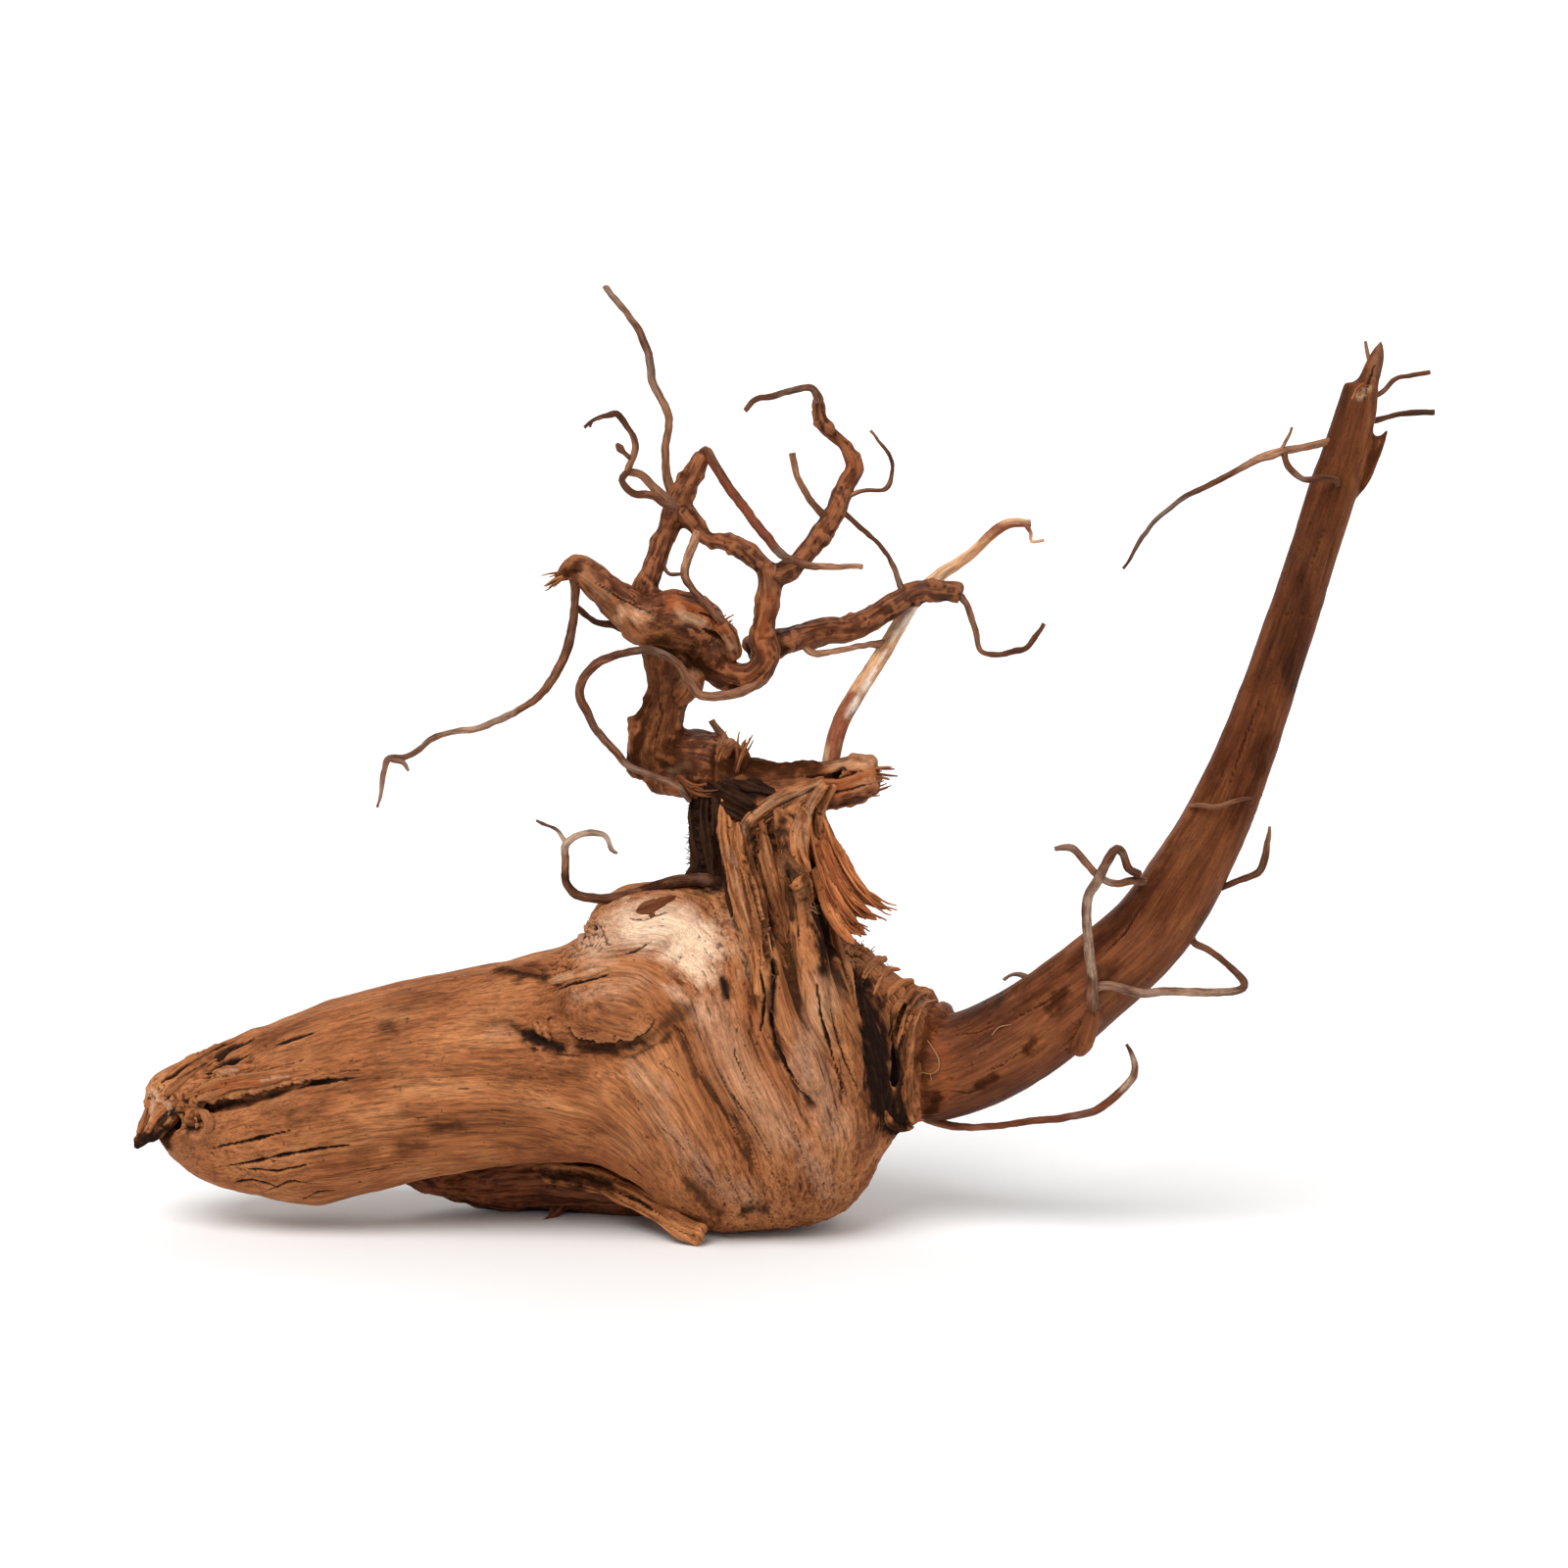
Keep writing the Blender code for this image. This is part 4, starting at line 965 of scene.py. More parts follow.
def cut(obj: bpy.types.Object, cutters: list[Shell]) -> bpy.types.Object:
    """Cuts the closed shells out of the object.

    Args:
        obj: The object.
        cutters: The shells.

    Returns:
        The object.
    """
    group = bpy.data.collections.new("cutters")
    bpy.context.scene.collection.children.link(group)
    others = []
    for shell in cutters:
        other = shell.as_object("cutter")
        bpy.context.scene.collection.objects.unlink(other)
        group.objects.link(other)
        others.append(other)
    boolean = obj.modifiers.new("cut", "BOOLEAN")
    boolean.operation = "DIFFERENCE"
    boolean.solver = "MANIFOLD"
    boolean.operand_type = "COLLECTION"
    boolean.collection = group
    applied(obj)
    for other in others:
        bpy.data.objects.remove(other)
    bpy.data.collections.remove(group)
    return obj


def thinned(obj: bpy.types.Object, triangles: int) -> bpy.types.Object:
    """Thins the object's mesh out to about so many triangles, most where it is flattest.

    Args:
        obj: The object.
        triangles: How many it keeps.

    Returns:
        The object.
    """
    obj.data.calc_loop_triangles()
    count = len(obj.data.loop_triangles)
    if count > triangles:
        thin = obj.modifiers.new("thin", "DECIMATE")
        thin.ratio = triangles / count
        applied(obj)
    return obj


class FlowField:
    """The way the stump's fibres run, from strokes drawn on its front."""

    LEFT, RIGHT, LOW, HIGH = -150, 75, -12, 128

    # x, z of a stroke's middle, then its direction.
    STROKES: Rows = [
        (-135, 35, 1, 0.3), (-128, 22, 1, -0.1), (-122, 43, 1, 0.4), (-110, 38, 1, 0.2), (-110, 18, 1, 0.1),
        (-100, 52, 1, 0.34), (-92, 10, 1, 0.12), (-80, 60, 1, 0.26), (-80, 35, 1, 0.12), (-80, 13, 1, 0.16),
        (-60, 62, 1, 0.16), (-60, 40, 1, 0.06), (-60, 20, 1, 0.12), (-45, 65, 1, 0.18), (-45, 40, 1, 0),
        (-45, 22, 1, 0.03), (-30, 40, 1, -0.08), (-30, 25, 1, -0.16), (-32, 60, 1, 0.1), (-16, 62, 1, 0.02),
        (-24, 56, 1, 0.05), (-16, 55, 1, -0.08), (-8, 56, 1, -0.4), (-24, 64, 1, 0.14), (-8, 64, 1, -0.3),
        (-28, 72, 1, 0.4), (-16, 76, 1, 0.3), (-20, 40, 1, -0.28), (-20, 24, 1, -0.4), (-10, 40, 1, -0.6),
        (-10, 25, 0.9, -0.75), (-10, 12, 0.8, -0.9), (0, 34, 0.75, -0.8), (0, 14, 0.65, -1),
        (-3, 60, 0.8, -0.6), (-6, 84, 1, 0.25), (1, 86, 0.8, -0.5), (3, 72, 0.5, -0.9), (4, 55, 0.2, -1),
        (8, 28, 0.6, -1), (8, 10, 0.55, -1), (9, 95, 0.1, -1), (9, 110, 0.05, -1), (12, 82, 0.12, -1),
        (12, 64, 0.08, -1), (12, 46, 0.2, -1), (20, 104, 0.1, -1), (20, 75, 0.12, -1), (22, 58, 0, -1),
        (25, 43, 0.45, -1), (20, 27, 0.6, -1), (20, 10, 0.5, -1), (30, 92, 0.1, -1), (31, 62, 0.12, -1),
        (33, 44, 0.3, -1), (34, 28, 0.35, -1), (32, 10, 0.1, -1), (42, 62, 0.25, -1), (43, 42, 0.15, -1),
        (44, 24, -0.1, -1), (52, 52, 0.1, -1), (52, 38, 0, -1), (38, 110, 0.1, -1), (62, 45, 0.1, -1),
    ]

    def __init__(self, reach: float = 2.6) -> None:
        """Blends the strokes and works out the warped coordinates.

        Args:
            reach: How fast a stroke's pull falls off with distance.
        """
        self.x = np.arange(self.LEFT, self.RIGHT + 1.0)
        self.z = np.arange(self.LOW, self.HIGH + 1.0)
        grid_x, grid_z = np.meshgrid(self.x, self.z)
        pull_x, pull_z = np.zeros_like(grid_x), np.zeros_like(grid_x)
        for x, z, dx, dz in self.STROKES:
            weight = 1.0 / (9.0 + (grid_x - x) ** 2 + (grid_z - z) ** 2) ** reach
            size = math.hypot(dx, dz)
            pull_x += weight * dx / size
            pull_z += weight * dz / size
        size = np.hypot(pull_x, pull_z)
        self.dx, self.dz = pull_x / size, pull_z / size
        self.along = self._integrated(self.dx, self.dz)
        self.across = self._integrated(-self.dz, self.dx)

    @staticmethod
    def _integrated(slope_x: np.ndarray, slope_z: np.ndarray) -> np.ndarray:
        """The height map whose slopes come nearest to the given ones.

        Args:
            slope_x: Slopes along x.
            slope_z: Slopes along z.

        Returns:
            The heights.
        """
        wide = np.block([[slope_x, -slope_x[:, ::-1]], [slope_x[::-1], -slope_x[::-1, ::-1]]])
        tall = np.block([[slope_z, slope_z[:, ::-1]], [-slope_z[::-1], -slope_z[::-1, ::-1]]])
        turn_x = 2 * np.pi * np.fft.fftfreq(wide.shape[1])[None, :]
        turn_z = 2 * np.pi * np.fft.fftfreq(wide.shape[0])[:, None]
        size = turn_x**2 + turn_z**2
        size[0, 0] = 1.0
        heights = (-1j * turn_x * np.fft.fft2(wide) - 1j * turn_z * np.fft.fft2(tall)) / size
        heights[0, 0] = 0.0
        return np.fft.ifft2(heights).real[: slope_x.shape[0], : slope_x.shape[1]]

    def read(self, values: np.ndarray, x: np.ndarray, z: np.ndarray) -> np.ndarray:
        """The grid's values at drawn points, blended between its nodes.

        Args:
            values: The grid.
            x: Drawn x.
            z: Drawn z.

        Returns:
            One value for each point.
        """
        u = np.clip(x - self.LEFT, 0, len(self.x) - 1.001)
        v = np.clip(z - self.LOW, 0, len(self.z) - 1.001)
        i, j = u.astype(int), v.astype(int)
        s, t = u - i, v - j
        low = values[j, i] * (1 - s) + values[j, i + 1] * s
        high = values[j + 1, i] * (1 - s) + values[j + 1, i + 1] * s
        return low * (1 - t) + high * t

    def traced(self, x: float, z: float, length: float) -> Line:
        """A line of the given length that follows the fibres from a point.

        Args:
            x: Drawn x of the point.
            z: Drawn z of the point.
            length: In millimetres.

        Returns:
            The line.
        """
        line = [(x, z)]
        for _ in range(int(length)):
            here_x, here_z = np.array([x]), np.array([z])
            x += float(self.read(self.dx, here_x, here_z)[0])
            z += float(self.read(self.dz, here_x, here_z)[0])
            line.append((x, z))
        return line


class Mark(Enum):
    """What a stain does to the wood: it darkens, bleaches or reddens it. Dark marks also carry painted shade.
    """

    DARK = 0
    PALE = 1
    RED = 2


class Side(Enum):
    """The side of the wood that a stain is on."""

    FRONT = 1
    BACK = -1
    ALL = 0


@dataclass(frozen=True)
class Stain:
    """A soft-edged stain along a line drawn on the front; some dark ones are painted shade."""

    mark: Mark
    line: Line
    width: float
    strength: float
    side: Side


def marks(mark: Mark, side: Side, rows: list[tuple[Line, float, float]]) -> list[Stain]:
    """Stains of one kind on one side, from the line, width and strength of each."""
    return [Stain(mark, line, width, strength, side) for line, width, strength in rows]


@dataclass(frozen=True)
class Crack:
    """A split along a line drawn on the front, with its width and depth."""

    line: Line
    width: float
    depth: float


@dataclass(frozen=True)
class Ledge:
    """A broken edge along a drawn line: the wood on its left stands higher."""

    line: Line
    height: float
    width: float


@dataclass(frozen=True)
class Fold:
    """A soft ridge along a drawn line, or a soft groove where its height is below zero."""

    line: Line
    width: float
    height: float


def near_line(
    x: np.ndarray, z: np.ndarray, line: Line
) -> tuple[np.ndarray, np.ndarray, np.ndarray]:
    """Where drawn points are beside a drawn line.

    Args:
        x: Drawn x of the points.
        z: Drawn z of the points.
        line: The line's points.

    Returns:
        Distance from the line, 1 on its left and -1 on its right, and share of its length.
    """
    ends = np.array(line, float)
    lengths = np.linalg.norm(np.diff(ends, axis=0), axis=1)
    whole = max(float(lengths.sum()), 1e-9)
    best = np.full(len(x), np.inf)
    side, share = np.zeros(len(x)), np.zeros(len(x))
    done = 0.0
    for (ax, az), (bx, bz), length in zip(ends, ends[1:], lengths):
        dx, dz = bx - ax, bz - az
        t = np.clip(((x - ax) * dx + (z - az) * dz) / max(length**2, 1e-9), 0.0, 1.0)
        off_x, off_z = x - ax - t * dx, z - az - t * dz
        gap = np.hypot(off_x, off_z)
        closer = gap < best
        best = np.where(closer, gap, best)
        side = np.where(closer, np.sign(dx * off_z - dz * off_x), side)
        share = np.where(closer, (done + t * length) / whole, share)
        done += length
    return best, side, share


class Surface:
    """The skin of a fused piece while it is carved and stained."""

    def __init__(self, obj: bpy.types.Object) -> None:
        """Reads the object's mesh.

        Args:
            obj: The piece.
        """
        self.obj = obj
        mesh = obj.data
        self.points = numbers(mesh.vertices, "co", 3)
        self.normals = numbers(mesh.vertex_normals, "vector", 3)
        self.edges = numbers(mesh.edges, "vertices", 2, np.int64)
        self.x, self.z = VIEW.drawn(self.points)
        self.front = eased(0.5 - self.normals @ VIEW.forward * 1.2)
        self.lift = np.zeros(len(self.points))
        self.marks = np.zeros((len(self.points), len(Mark)))
        self.grain = self.points.copy()
        grown = mesh.attributes.get("grain")
        if grown:
            self.grain = numbers(grown.data, "vector", 3, np.float32)
        self.kept: dict[Row, np.ndarray] = {}

    def follow(self, limbs: list[Limb]) -> None:
        """Lays the grain along the nearest limb.

        Args:
            limbs: The limbs that the piece is fused from.
        """
        middles = np.concatenate([limb.middles for limb in limbs])
        radii = np.concatenate([limb.radii for limb in limbs])
        run = np.concatenate([limb.run + 0.37 * i for i, limb in enumerate(limbs)])
        along = np.concatenate([limb.along for limb in limbs])
        beside = [
            np.concatenate([limb.across for limb in limbs]),
            np.concatenate([limb.other for limb in limbs]),
        ]
        for start in range(0, len(self.points), BATCH):
            here = self.points[start : start + BATCH]
            square = (here**2).sum(1)[:, None] + (middles**2).sum(1)[None] - 2 * here @ middles.T
            near = (np.sqrt(np.maximum(square, 0.0)) - radii[None]).argmin(1)
            off = here - middles[near]
            laid = [run[near] + np.einsum("ij,ij->i", off, along[near])]
            laid += [np.einsum("ij,ij->i", off, way[near]) for way in beside]
            self.grain[start : start + BATCH] = np.stack(laid, axis=1)

    def flow(self, fibres: FlowField) -> None:
        """Lays the grain along the drawn flow of the fibres.

        Args:
            fibres: The flow.
        """
        along = fibres.read(fibres.along, self.x, self.z)
        across = fibres.read(fibres.across, self.x, self.z)
        self.grain = np.stack([along * MM, across * MM, self.points[:, 1]], axis=1)

    def noise(self, period: float, layers: int = 3, shift: float = 0.0) -> np.ndarray:
        """Even noise over the skin, of the given period in millimetres.

        Args:
            period: Its period.
            layers: Layers of noise.
            shift: Moves the pattern.

        Returns:
            Values from about -1 to 1.
        """
        key = (period, layers, shift)
        if key not in self.kept:
            self.kept[key] = GRIT.layered(self.points / (period * MM) + shift, layers)
        return self.kept[key]

    def fibre(self, period: float, stretch: float, layers: int = 3, shift: float = 0.0) -> np.ndarray:
        """Noise drawn out along the grain.

        Args:
            period: Its period across the grain, in millimetres.
            stretch: How many times longer it is along the grain.
            layers: Layers of noise.
            shift: Moves the pattern.

        Returns:
            Values from about -1 to 1.
        """
        key = (period, layers, shift, stretch)
        if key not in self.kept:
            spaced = self.grain / (period * MM) * np.array([1.0 / stretch, 1.0, 1.0])
            self.kept[key] = GRIT.layered(spaced + shift, layers)
        return self.kept[key]

    def mark(self, mark: Mark, amount: np.ndarray, at: Any = slice(None)) -> None:
        """Adds a mark where it is stronger than what is there."""
        self.marks[at, mark.value] = np.maximum(self.marks[at, mark.value], amount)

    def beside(self, line: Line, reach: float) -> tuple[np.ndarray, np.ndarray, np.ndarray, np.ndarray]:
        """The skin's points near a drawn line.

        Args:
            line: The line.
            reach: How far from it they may be, in millimetres.

        Returns:
            Their numbers, then what near_line says of them.
        """
        ends = np.array(line, float)
        low, high = ends.min(0) - reach, ends.max(0) + reach
        close = (self.x > low[0]) & (self.x < high[0]) & (self.z > low[1]) & (self.z < high[1])
        at = np.flatnonzero(close)
        return (at, *near_line(self.x[at], self.z[at], line))

    def stain(self, stain: Stain) -> None:
        """Lays a soft stain with an uneven edge; some dark ones are painted shade.

        Args:
            stain: The stain.
        """
        at, gap, _, _ = self.beside(stain.line, stain.width * 2.2)
        uneven = self.noise(3.4, 3, 5.0)[at] * 0.5 + self.fibre(1.3, 8.0, 2, 6.0)[at] * 0.4
        uneven = uneven * min(1.0, 4.0 / stain.width)
        amount = eased(1.0 - gap / stain.width * 0.9 + uneven) * stain.strength
        if stain.side is Side.FRONT:
            amount = amount * self.front[at]
        elif stain.side is Side.BACK:
            amount = amount * (1.0 - self.front[at])
        self.mark(stain.mark, amount, at)

    def crack(self, crack: Crack) -> None:
        """Opens a split that narrows to both ends, and paints shade inside it.

        Args:
            crack: The split.
        """
        at, gap, _, share = self.beside(crack.line, crack.width * 4.0)
        front = self.front[at]
        taper = np.clip(np.sin(np.pi * np.clip(share, 0.0, 1.0)), 0.0, 1.0) ** 0.9
        ragged = gap + self.noise(4.5, 2, 9.0)[at] * crack.width * 0.5
        inside = np.clip(1.0 - ragged / np.maximum(crack.width * taper, 0.05), 0.0, 1.0)
        self.lift[at] -= inside * crack.depth * taper * front
        # Painted shade: the inside of the split is darkened, more where it is deeper.
        self.mark(Mark.DARK, eased(inside * 1.7) * min(1.0, 0.45 + 0.5 * crack.depth) * front, at)

    def ledge(self, ledge: Ledge) -> None:
        """Raises the wood on the left of a line, ends it there in a ragged edge, and paints shadow at the
        edge's foot.

        Args:
            ledge: The edge.
        """
        at, gap, side, share = self.beside(ledge.line, ledge.width * 3.5)
        signed = gap * side + self.noise(2.2, 3, 3.0)[at] * ledge.width * 0.16
        taper = np.clip(np.sin(np.pi * np.clip(share, 0.0, 1.0)) * 2.2, 0.0, 1.0) * self.front[at]
        taper = taper * eased(3.4 - gap / ledge.width)
        high = np.where(signed > 0, np.exp(-signed / ledge.width), 0.0)
        low = np.where(signed <= 0, np.exp(signed / (0.35 * ledge.width)), 0.0)
        self.lift[at] += taper * (high * ledge.height - low * 0.45 * ledge.height)
        # Painted shadow: the low side at the foot of the edge is darkened.
        self.mark(Mark.DARK, taper * low * 0.75, at)
        self.mark(Mark.PALE, taper * high**4 * 0.2, at)

    def fold(self, fold: Fold) -> None:
        """Raises a soft ridge, or sinks a groove, that fades at both ends.

        Args:
            fold: The ridge or groove.
        """
        at, gap, _, share = self.beside(fold.line, fold.width * 2.5)
        taper = eased(np.minimum(share, 1.0 - share) * 4.0 + 0.25)
        power = 2.0 if fold.height > 0 else 1.4
        self.lift[at] += fold.height * taper * np.exp(-((gap / fold.width) ** power)) * self.front[at]

    def settled(self, box: Box, worn: bool = True) -> None:
        """Moves the skin, keeps it in the box, and stores what the finish reads.

        Args:
            box: Lowest and highest corner of the CAD box.
            worn: True if hollows and ridges are told apart, which thin fibres don't need.
        """
        moved = self.points + self.normals * (self.lift * MM)[:, None]
        moved = np.clip(moved, *box)
        mesh = self.obj.data
        mesh.vertices.foreach_set("co", moved.ravel())
        mesh.update()
        self.points = moved
        store(mesh, "grain", "FLOAT_VECTOR", self.grain)
        hollow = np.zeros(len(moved))
        if worn:
            hollow = self._hollow(moved, 2) * 0.5 + self._hollow(moved, 10) * 0.5
        tones = np.column_stack([np.clip(self.marks, 0.0, 1.0), np.clip(0.5 + hollow, 0.0, 1.0)])
        store(mesh, "marks", "FLOAT_COLOR", tones)

    def _hollow(self, points: np.ndarray, steps: int) -> np.ndarray:
        """How far the skin sinks below the even skin round it; below zero where it stands out.

        Args:
            points: The skin's points.
            steps: How often the even skin is smoothed.

        Returns:
            One value for each point.
        """
        smooth = points.copy()
        first, second = self.edges[:, 0], self.edges[:, 1]
        degree = np.bincount(self.edges.ravel(), minlength=len(points))[:, None]
        for _ in range(steps):
            total = np.empty_like(smooth)
            for k in range(3):
                total[:, k] = np.bincount(first, smooth[second, k], len(points))
                total[:, k] += np.bincount(second, smooth[first, k], len(points))
            smooth = 0.4 * smooth + 0.6 * total / np.maximum(degree, 1)
        depth = np.einsum("ij,ij->i", smooth - points, self.normals) / MM
        return depth / (0.12 * math.sqrt(steps))


def numbers(rows: Any, key: str, width: int, kind: type = float) -> np.ndarray:
    """Reads one property of all rows of a mesh's collection.

    Args:
        rows: The collection, such as its vertices.
        key: The property.
        width: How many numbers it has in each row.
        kind: The numbers' type.

    Returns:
        An array with a row for each.
    """
    found = np.empty(len(rows) * width, kind)
    rows.foreach_get(key, found)
    return found.reshape(-1, width)


def store(mesh: bpy.types.Mesh, name: str, kind: str, values: np.ndarray) -> None:
    """Stores one value for each point of the mesh.

    Args:
        mesh: The mesh.
        name: The attribute's name.
        kind: Its data type.
        values: One row for each point.
    """
    attribute = mesh.attributes.get(name) or mesh.attributes.new(name, kind, "POINT")
    key = {"FLOAT": "value", "FLOAT_VECTOR": "vector", "FLOAT_COLOR": "color"}[kind]
    attribute.data.foreach_set(key, np.ascontiguousarray(values, dtype=np.float32).ravel())


class NodeSketch:
    """Adds nodes to a tree in short lines."""

    def __init__(self, tree: bpy.types.NodeTree) -> None:
        """Holds the tree."""
        self.tree = tree

    def add(self, kind: str, settings: Settings | None = None, sockets: Settings | None = None) -> Any:
        """A new node.

        Args:
            kind: Its type.
            settings: Its properties.
            sockets: Values or sockets that feed its inputs, by name or number.

        Returns:
            The node.
        """
        node = self.tree.nodes.new(kind)
        for name, value in (settings or {}).items():
            setattr(node, name, value)
        for key, value in (sockets or {}).items():
            self.feed(node.inputs[key], value)
        return node

    def feed(self, socket: Any, value: Any) -> None:
        """Links a socket to another one, or sets its value.

        Args:
            socket: The input.
            value: A value, or the socket that feeds it.
        """
        if isinstance(value, bpy.types.NodeSocket):
            self.tree.links.new(value, socket)
        else:
            socket.default_value = value

    def math(self, operation: str, first: Any, second: Any = 0.0) -> Any:
        """The result of one operation on two numbers."""
        kind = "ShaderNodeMath"
        return self.add(kind, {"operation": operation}, {0: first, 1: second}).outputs[0]

    def ranged(self, value: Any, low: float, high: float, to_low: float = 0.0, to_high: float = 1.0) -> Any:
        """A value moved from one range to another, with soft ends."""
        sockets = {"Value": value, 1: low, 2: high, 3: to_low, 4: to_high}
        return self.add("ShaderNodeMapRange", {"interpolation_type": "SMOOTHSTEP"}, sockets).outputs[0]

    def scaled(self, vector: Any, scale: Row) -> Any:
        """A vector times a scale for each axis."""
        return self.add("ShaderNodeVectorMath", {"operation": "MULTIPLY"}, {0: vector, 1: scale}).outputs[0]

    def noise(self, vector: Any, period: float, detail: float, rough: float = 0.55, bend: float = 0.0) -> Any:
        """Noise of a period in millimetres.

        Args:
            vector: Where it is read.
            period: The period.
            detail: Layers of noise.
            rough: Strength of the finer layers.
            bend: How much it is distorted.

        Returns:
            The noise, about 0.5.
        """
        sockets = {
            "Vector": vector,
            "Scale": 1.0 / (period * MM),
            "Detail": detail,
            "Roughness": rough,
            "Distortion": bend,
        }
        return self.add("ShaderNodeTexNoise", None, sockets).outputs["Fac"]

    def mixed(self, factor: Any, first: Any, second: Any, blend: str = "MIX") -> Any:
        """One colour laid over another."""
        settings = {"data_type": "RGBA", "blend_type": blend}
        return self.add("ShaderNodeMix", settings, {0: factor, 6: first, 7: second}).outputs[2]

    def ramp(self, factor: Any, stops: list[tuple[float, tuple[float, ...]]]) -> Any:
        """A colour read from a ramp.

        Args:
            factor: Where it is read, from 0 to 1.
            stops: The ramp's places and colours.

        Returns:
            The colour.
        """
        node = self.add("ShaderNodeValToRGB", None, {"Fac": factor})
        elements = node.color_ramp.elements
        while len(elements) < len(stops):
            elements.new(0.5)
        for element, (position, colour) in zip(elements, stops):
            element.position = position
            element.color = colour
        return node.outputs["Color"]


@dataclass(frozen=True)
class WoodFinish:
    """Weathered wood whose streaks follow the grain.

    Args:
        name: The material's name.
        light: Its lightest tone.
        middle: Its usual tone.
        deep: Its darkest tone.
        grey: The tone of its weathered patches.
        stained: What a dark stain turns it to, and the tone of its painted shade.
        bleached: What a bleached place turns it to.
        reddened: What a red place turns it to.
        greying: How much of it is weathered grey.
        period: Width of a streak, in millimetres.
        stretch: Length of a streak beside its width.
        streak: How strong the streaks are.
        relief: Height of the bump, in millimetres.
        rough: Lowest and highest roughness.
        speckle: How strong the dark dots are.
        wear: How much paler its ridges are.
        hollow_shade: How much darker its hollows are painted, as painted shade.
        gloss: How much light it mirrors.
    """

    name: str
    light: Colour
    middle: Colour
    deep: Colour
    grey: Colour = (126, 94, 70)
    stained: Colour = (52, 27, 14)
    bleached: Colour = (226, 186, 148)
    reddened: Colour = (164, 84, 42)
    greying: float = 0.35
    period: float = 1.1
    stretch: float = 10.0
    streak: float = 0.5
    relief: float = 0.22
    rough: tuple[float, float] = (0.55, 0.85)
    speckle: float = 0.5
    wear: float = 0.2
    hollow_shade: float = 0.7
    gloss: float = 0.06

    def material(self) -> bpy.types.Material:
        """The finish as a material.

        Returns:
            The material, which is made only once.
        """
        found = bpy.data.materials.get(self.name)
        if found:
            return found
        material = bpy.data.materials.new(self.name)
        material.use_nodes = True
        sketch = NodeSketch(material.node_tree)
        surface = material.node_tree.nodes["Principled BSDF"]
        grain = sketch.add("ShaderNodeAttribute", {"attribute_name": "grain"}).outputs["Vector"]
        place = sketch.add("ShaderNodeTexCoord").outputs["Object"]
        streaks = sketch.noise(sketch.scaled(grain, (1.0 / self.stretch, 1.0, 1.0)), self.period, 5.0, 0.62)
        drawn_out = sketch.scaled(grain, (0.5 / self.stretch, 1.0, 1.0))
        threads = sketch.noise(drawn_out, self.period * 0.3, 3.0, 0.6)
        patches = sketch.noise(sketch.scaled(grain, (0.3, 1.0, 1.0)), 11.0, 4.0, 0.6, 0.6)
        grit = sketch.noise(place, 0.9, 4.0, 0.65)
        marks = sketch.add("ShaderNodeAttribute", {"attribute_name": "marks"}).outputs
        parts = sketch.add("ShaderNodeSeparateColor", None, {0: marks["Color"]}).outputs
        colour = self._toned(sketch, patches, streaks, place)
        colour = self._marked(sketch, colour, parts, marks["Alpha"], sketch.math("ADD", grit, streaks))
        fine = sketch.ranged(threads, 0.3, 0.7, 1.0 - 0.42 * self.streak, 1.0 + 0.2 * self.streak)
        colour = sketch.mixed(1.0, colour, self._grey_of(sketch, fine), "MULTIPLY")
        sketch.feed(surface.inputs["Base Color"], colour)
        sketch.feed(surface.inputs["Roughness"], sketch.ranged(streaks, 0.25, 0.75, *self.rough))
        sunk = sketch.math("MAXIMUM", parts[0], sketch.ranged(marks["Alpha"], 0.54, 0.8))
        sketch.feed(surface.inputs["Specular IOR Level"], sketch.ranged(sunk, 0.0, 0.6, self.gloss, 0.0))
        sketch.feed(surface.inputs["Normal"], self._relief(sketch, streaks, threads, grit))
        return material

    def _toned(self, sketch: NodeSketch, patches: Any, streaks: Any, place: Any) -> Any:
        """The wood's own colour: patches, weathering, streaks and dots.

        Args:
            sketch: The tree.
            patches: Coarse noise.
            streaks: Noise along the grain.
            place: Object coordinates.

        Returns:
            The colour.
        """
        stops = [(0.3, linear(*self.deep)), (0.5, linear(*self.middle)), (0.72, linear(*self.light))]
        colour = sketch.ramp(patches, stops)
        weather = sketch.ranged(sketch.noise(place, 19.0, 4.0, 0.6), 0.5, 0.72, 0.0, self.greying)
        colour = sketch.mixed(weather, colour, linear(*self.grey))
        shade = sketch.ranged(streaks, 0.32, 0.62, 1.0 - 0.62 * self.streak, 1.0 + 0.16 * self.streak)
        colour = sketch.mixed(1.0, colour, self._grey_of(sketch, shade), "MULTIPLY")
        dots = sketch.ranged(sketch.noise(place, 1.3, 2.0, 0.5), 0.66, 0.74, 0.0, self.speckle)
        return sketch.mixed(dots, colour, linear(*self.stained))

    def _marked(self, sketch: NodeSketch, colour: Any, parts: Any, hollow: Any, uneven: Any) -> Any:
        """The colour with its marks and the shade painted into its hollows.

        Args:
            sketch: The tree.
            colour: The colour so far.
            parts: The three marks.
            hollow: How far the skin sinks in; 0.5 where it is even.
            uneven: Noise of about 1, which frays the marks' edges.

        Returns:
            The colour.
        """
        fray = sketch.math("MULTIPLY", sketch.math("SUBTRACT", uneven, 1.0), 0.4)
        for part, tone, rest in ((2, self.reddened, 1.3), (1, self.bleached, 1.3), (0, self.stained, 0.95)):
            edge = sketch.math("ADD", parts[part], fray)
            colour = sketch.mixed(sketch.ranged(edge, 0.06, rest), colour, linear(*tone))
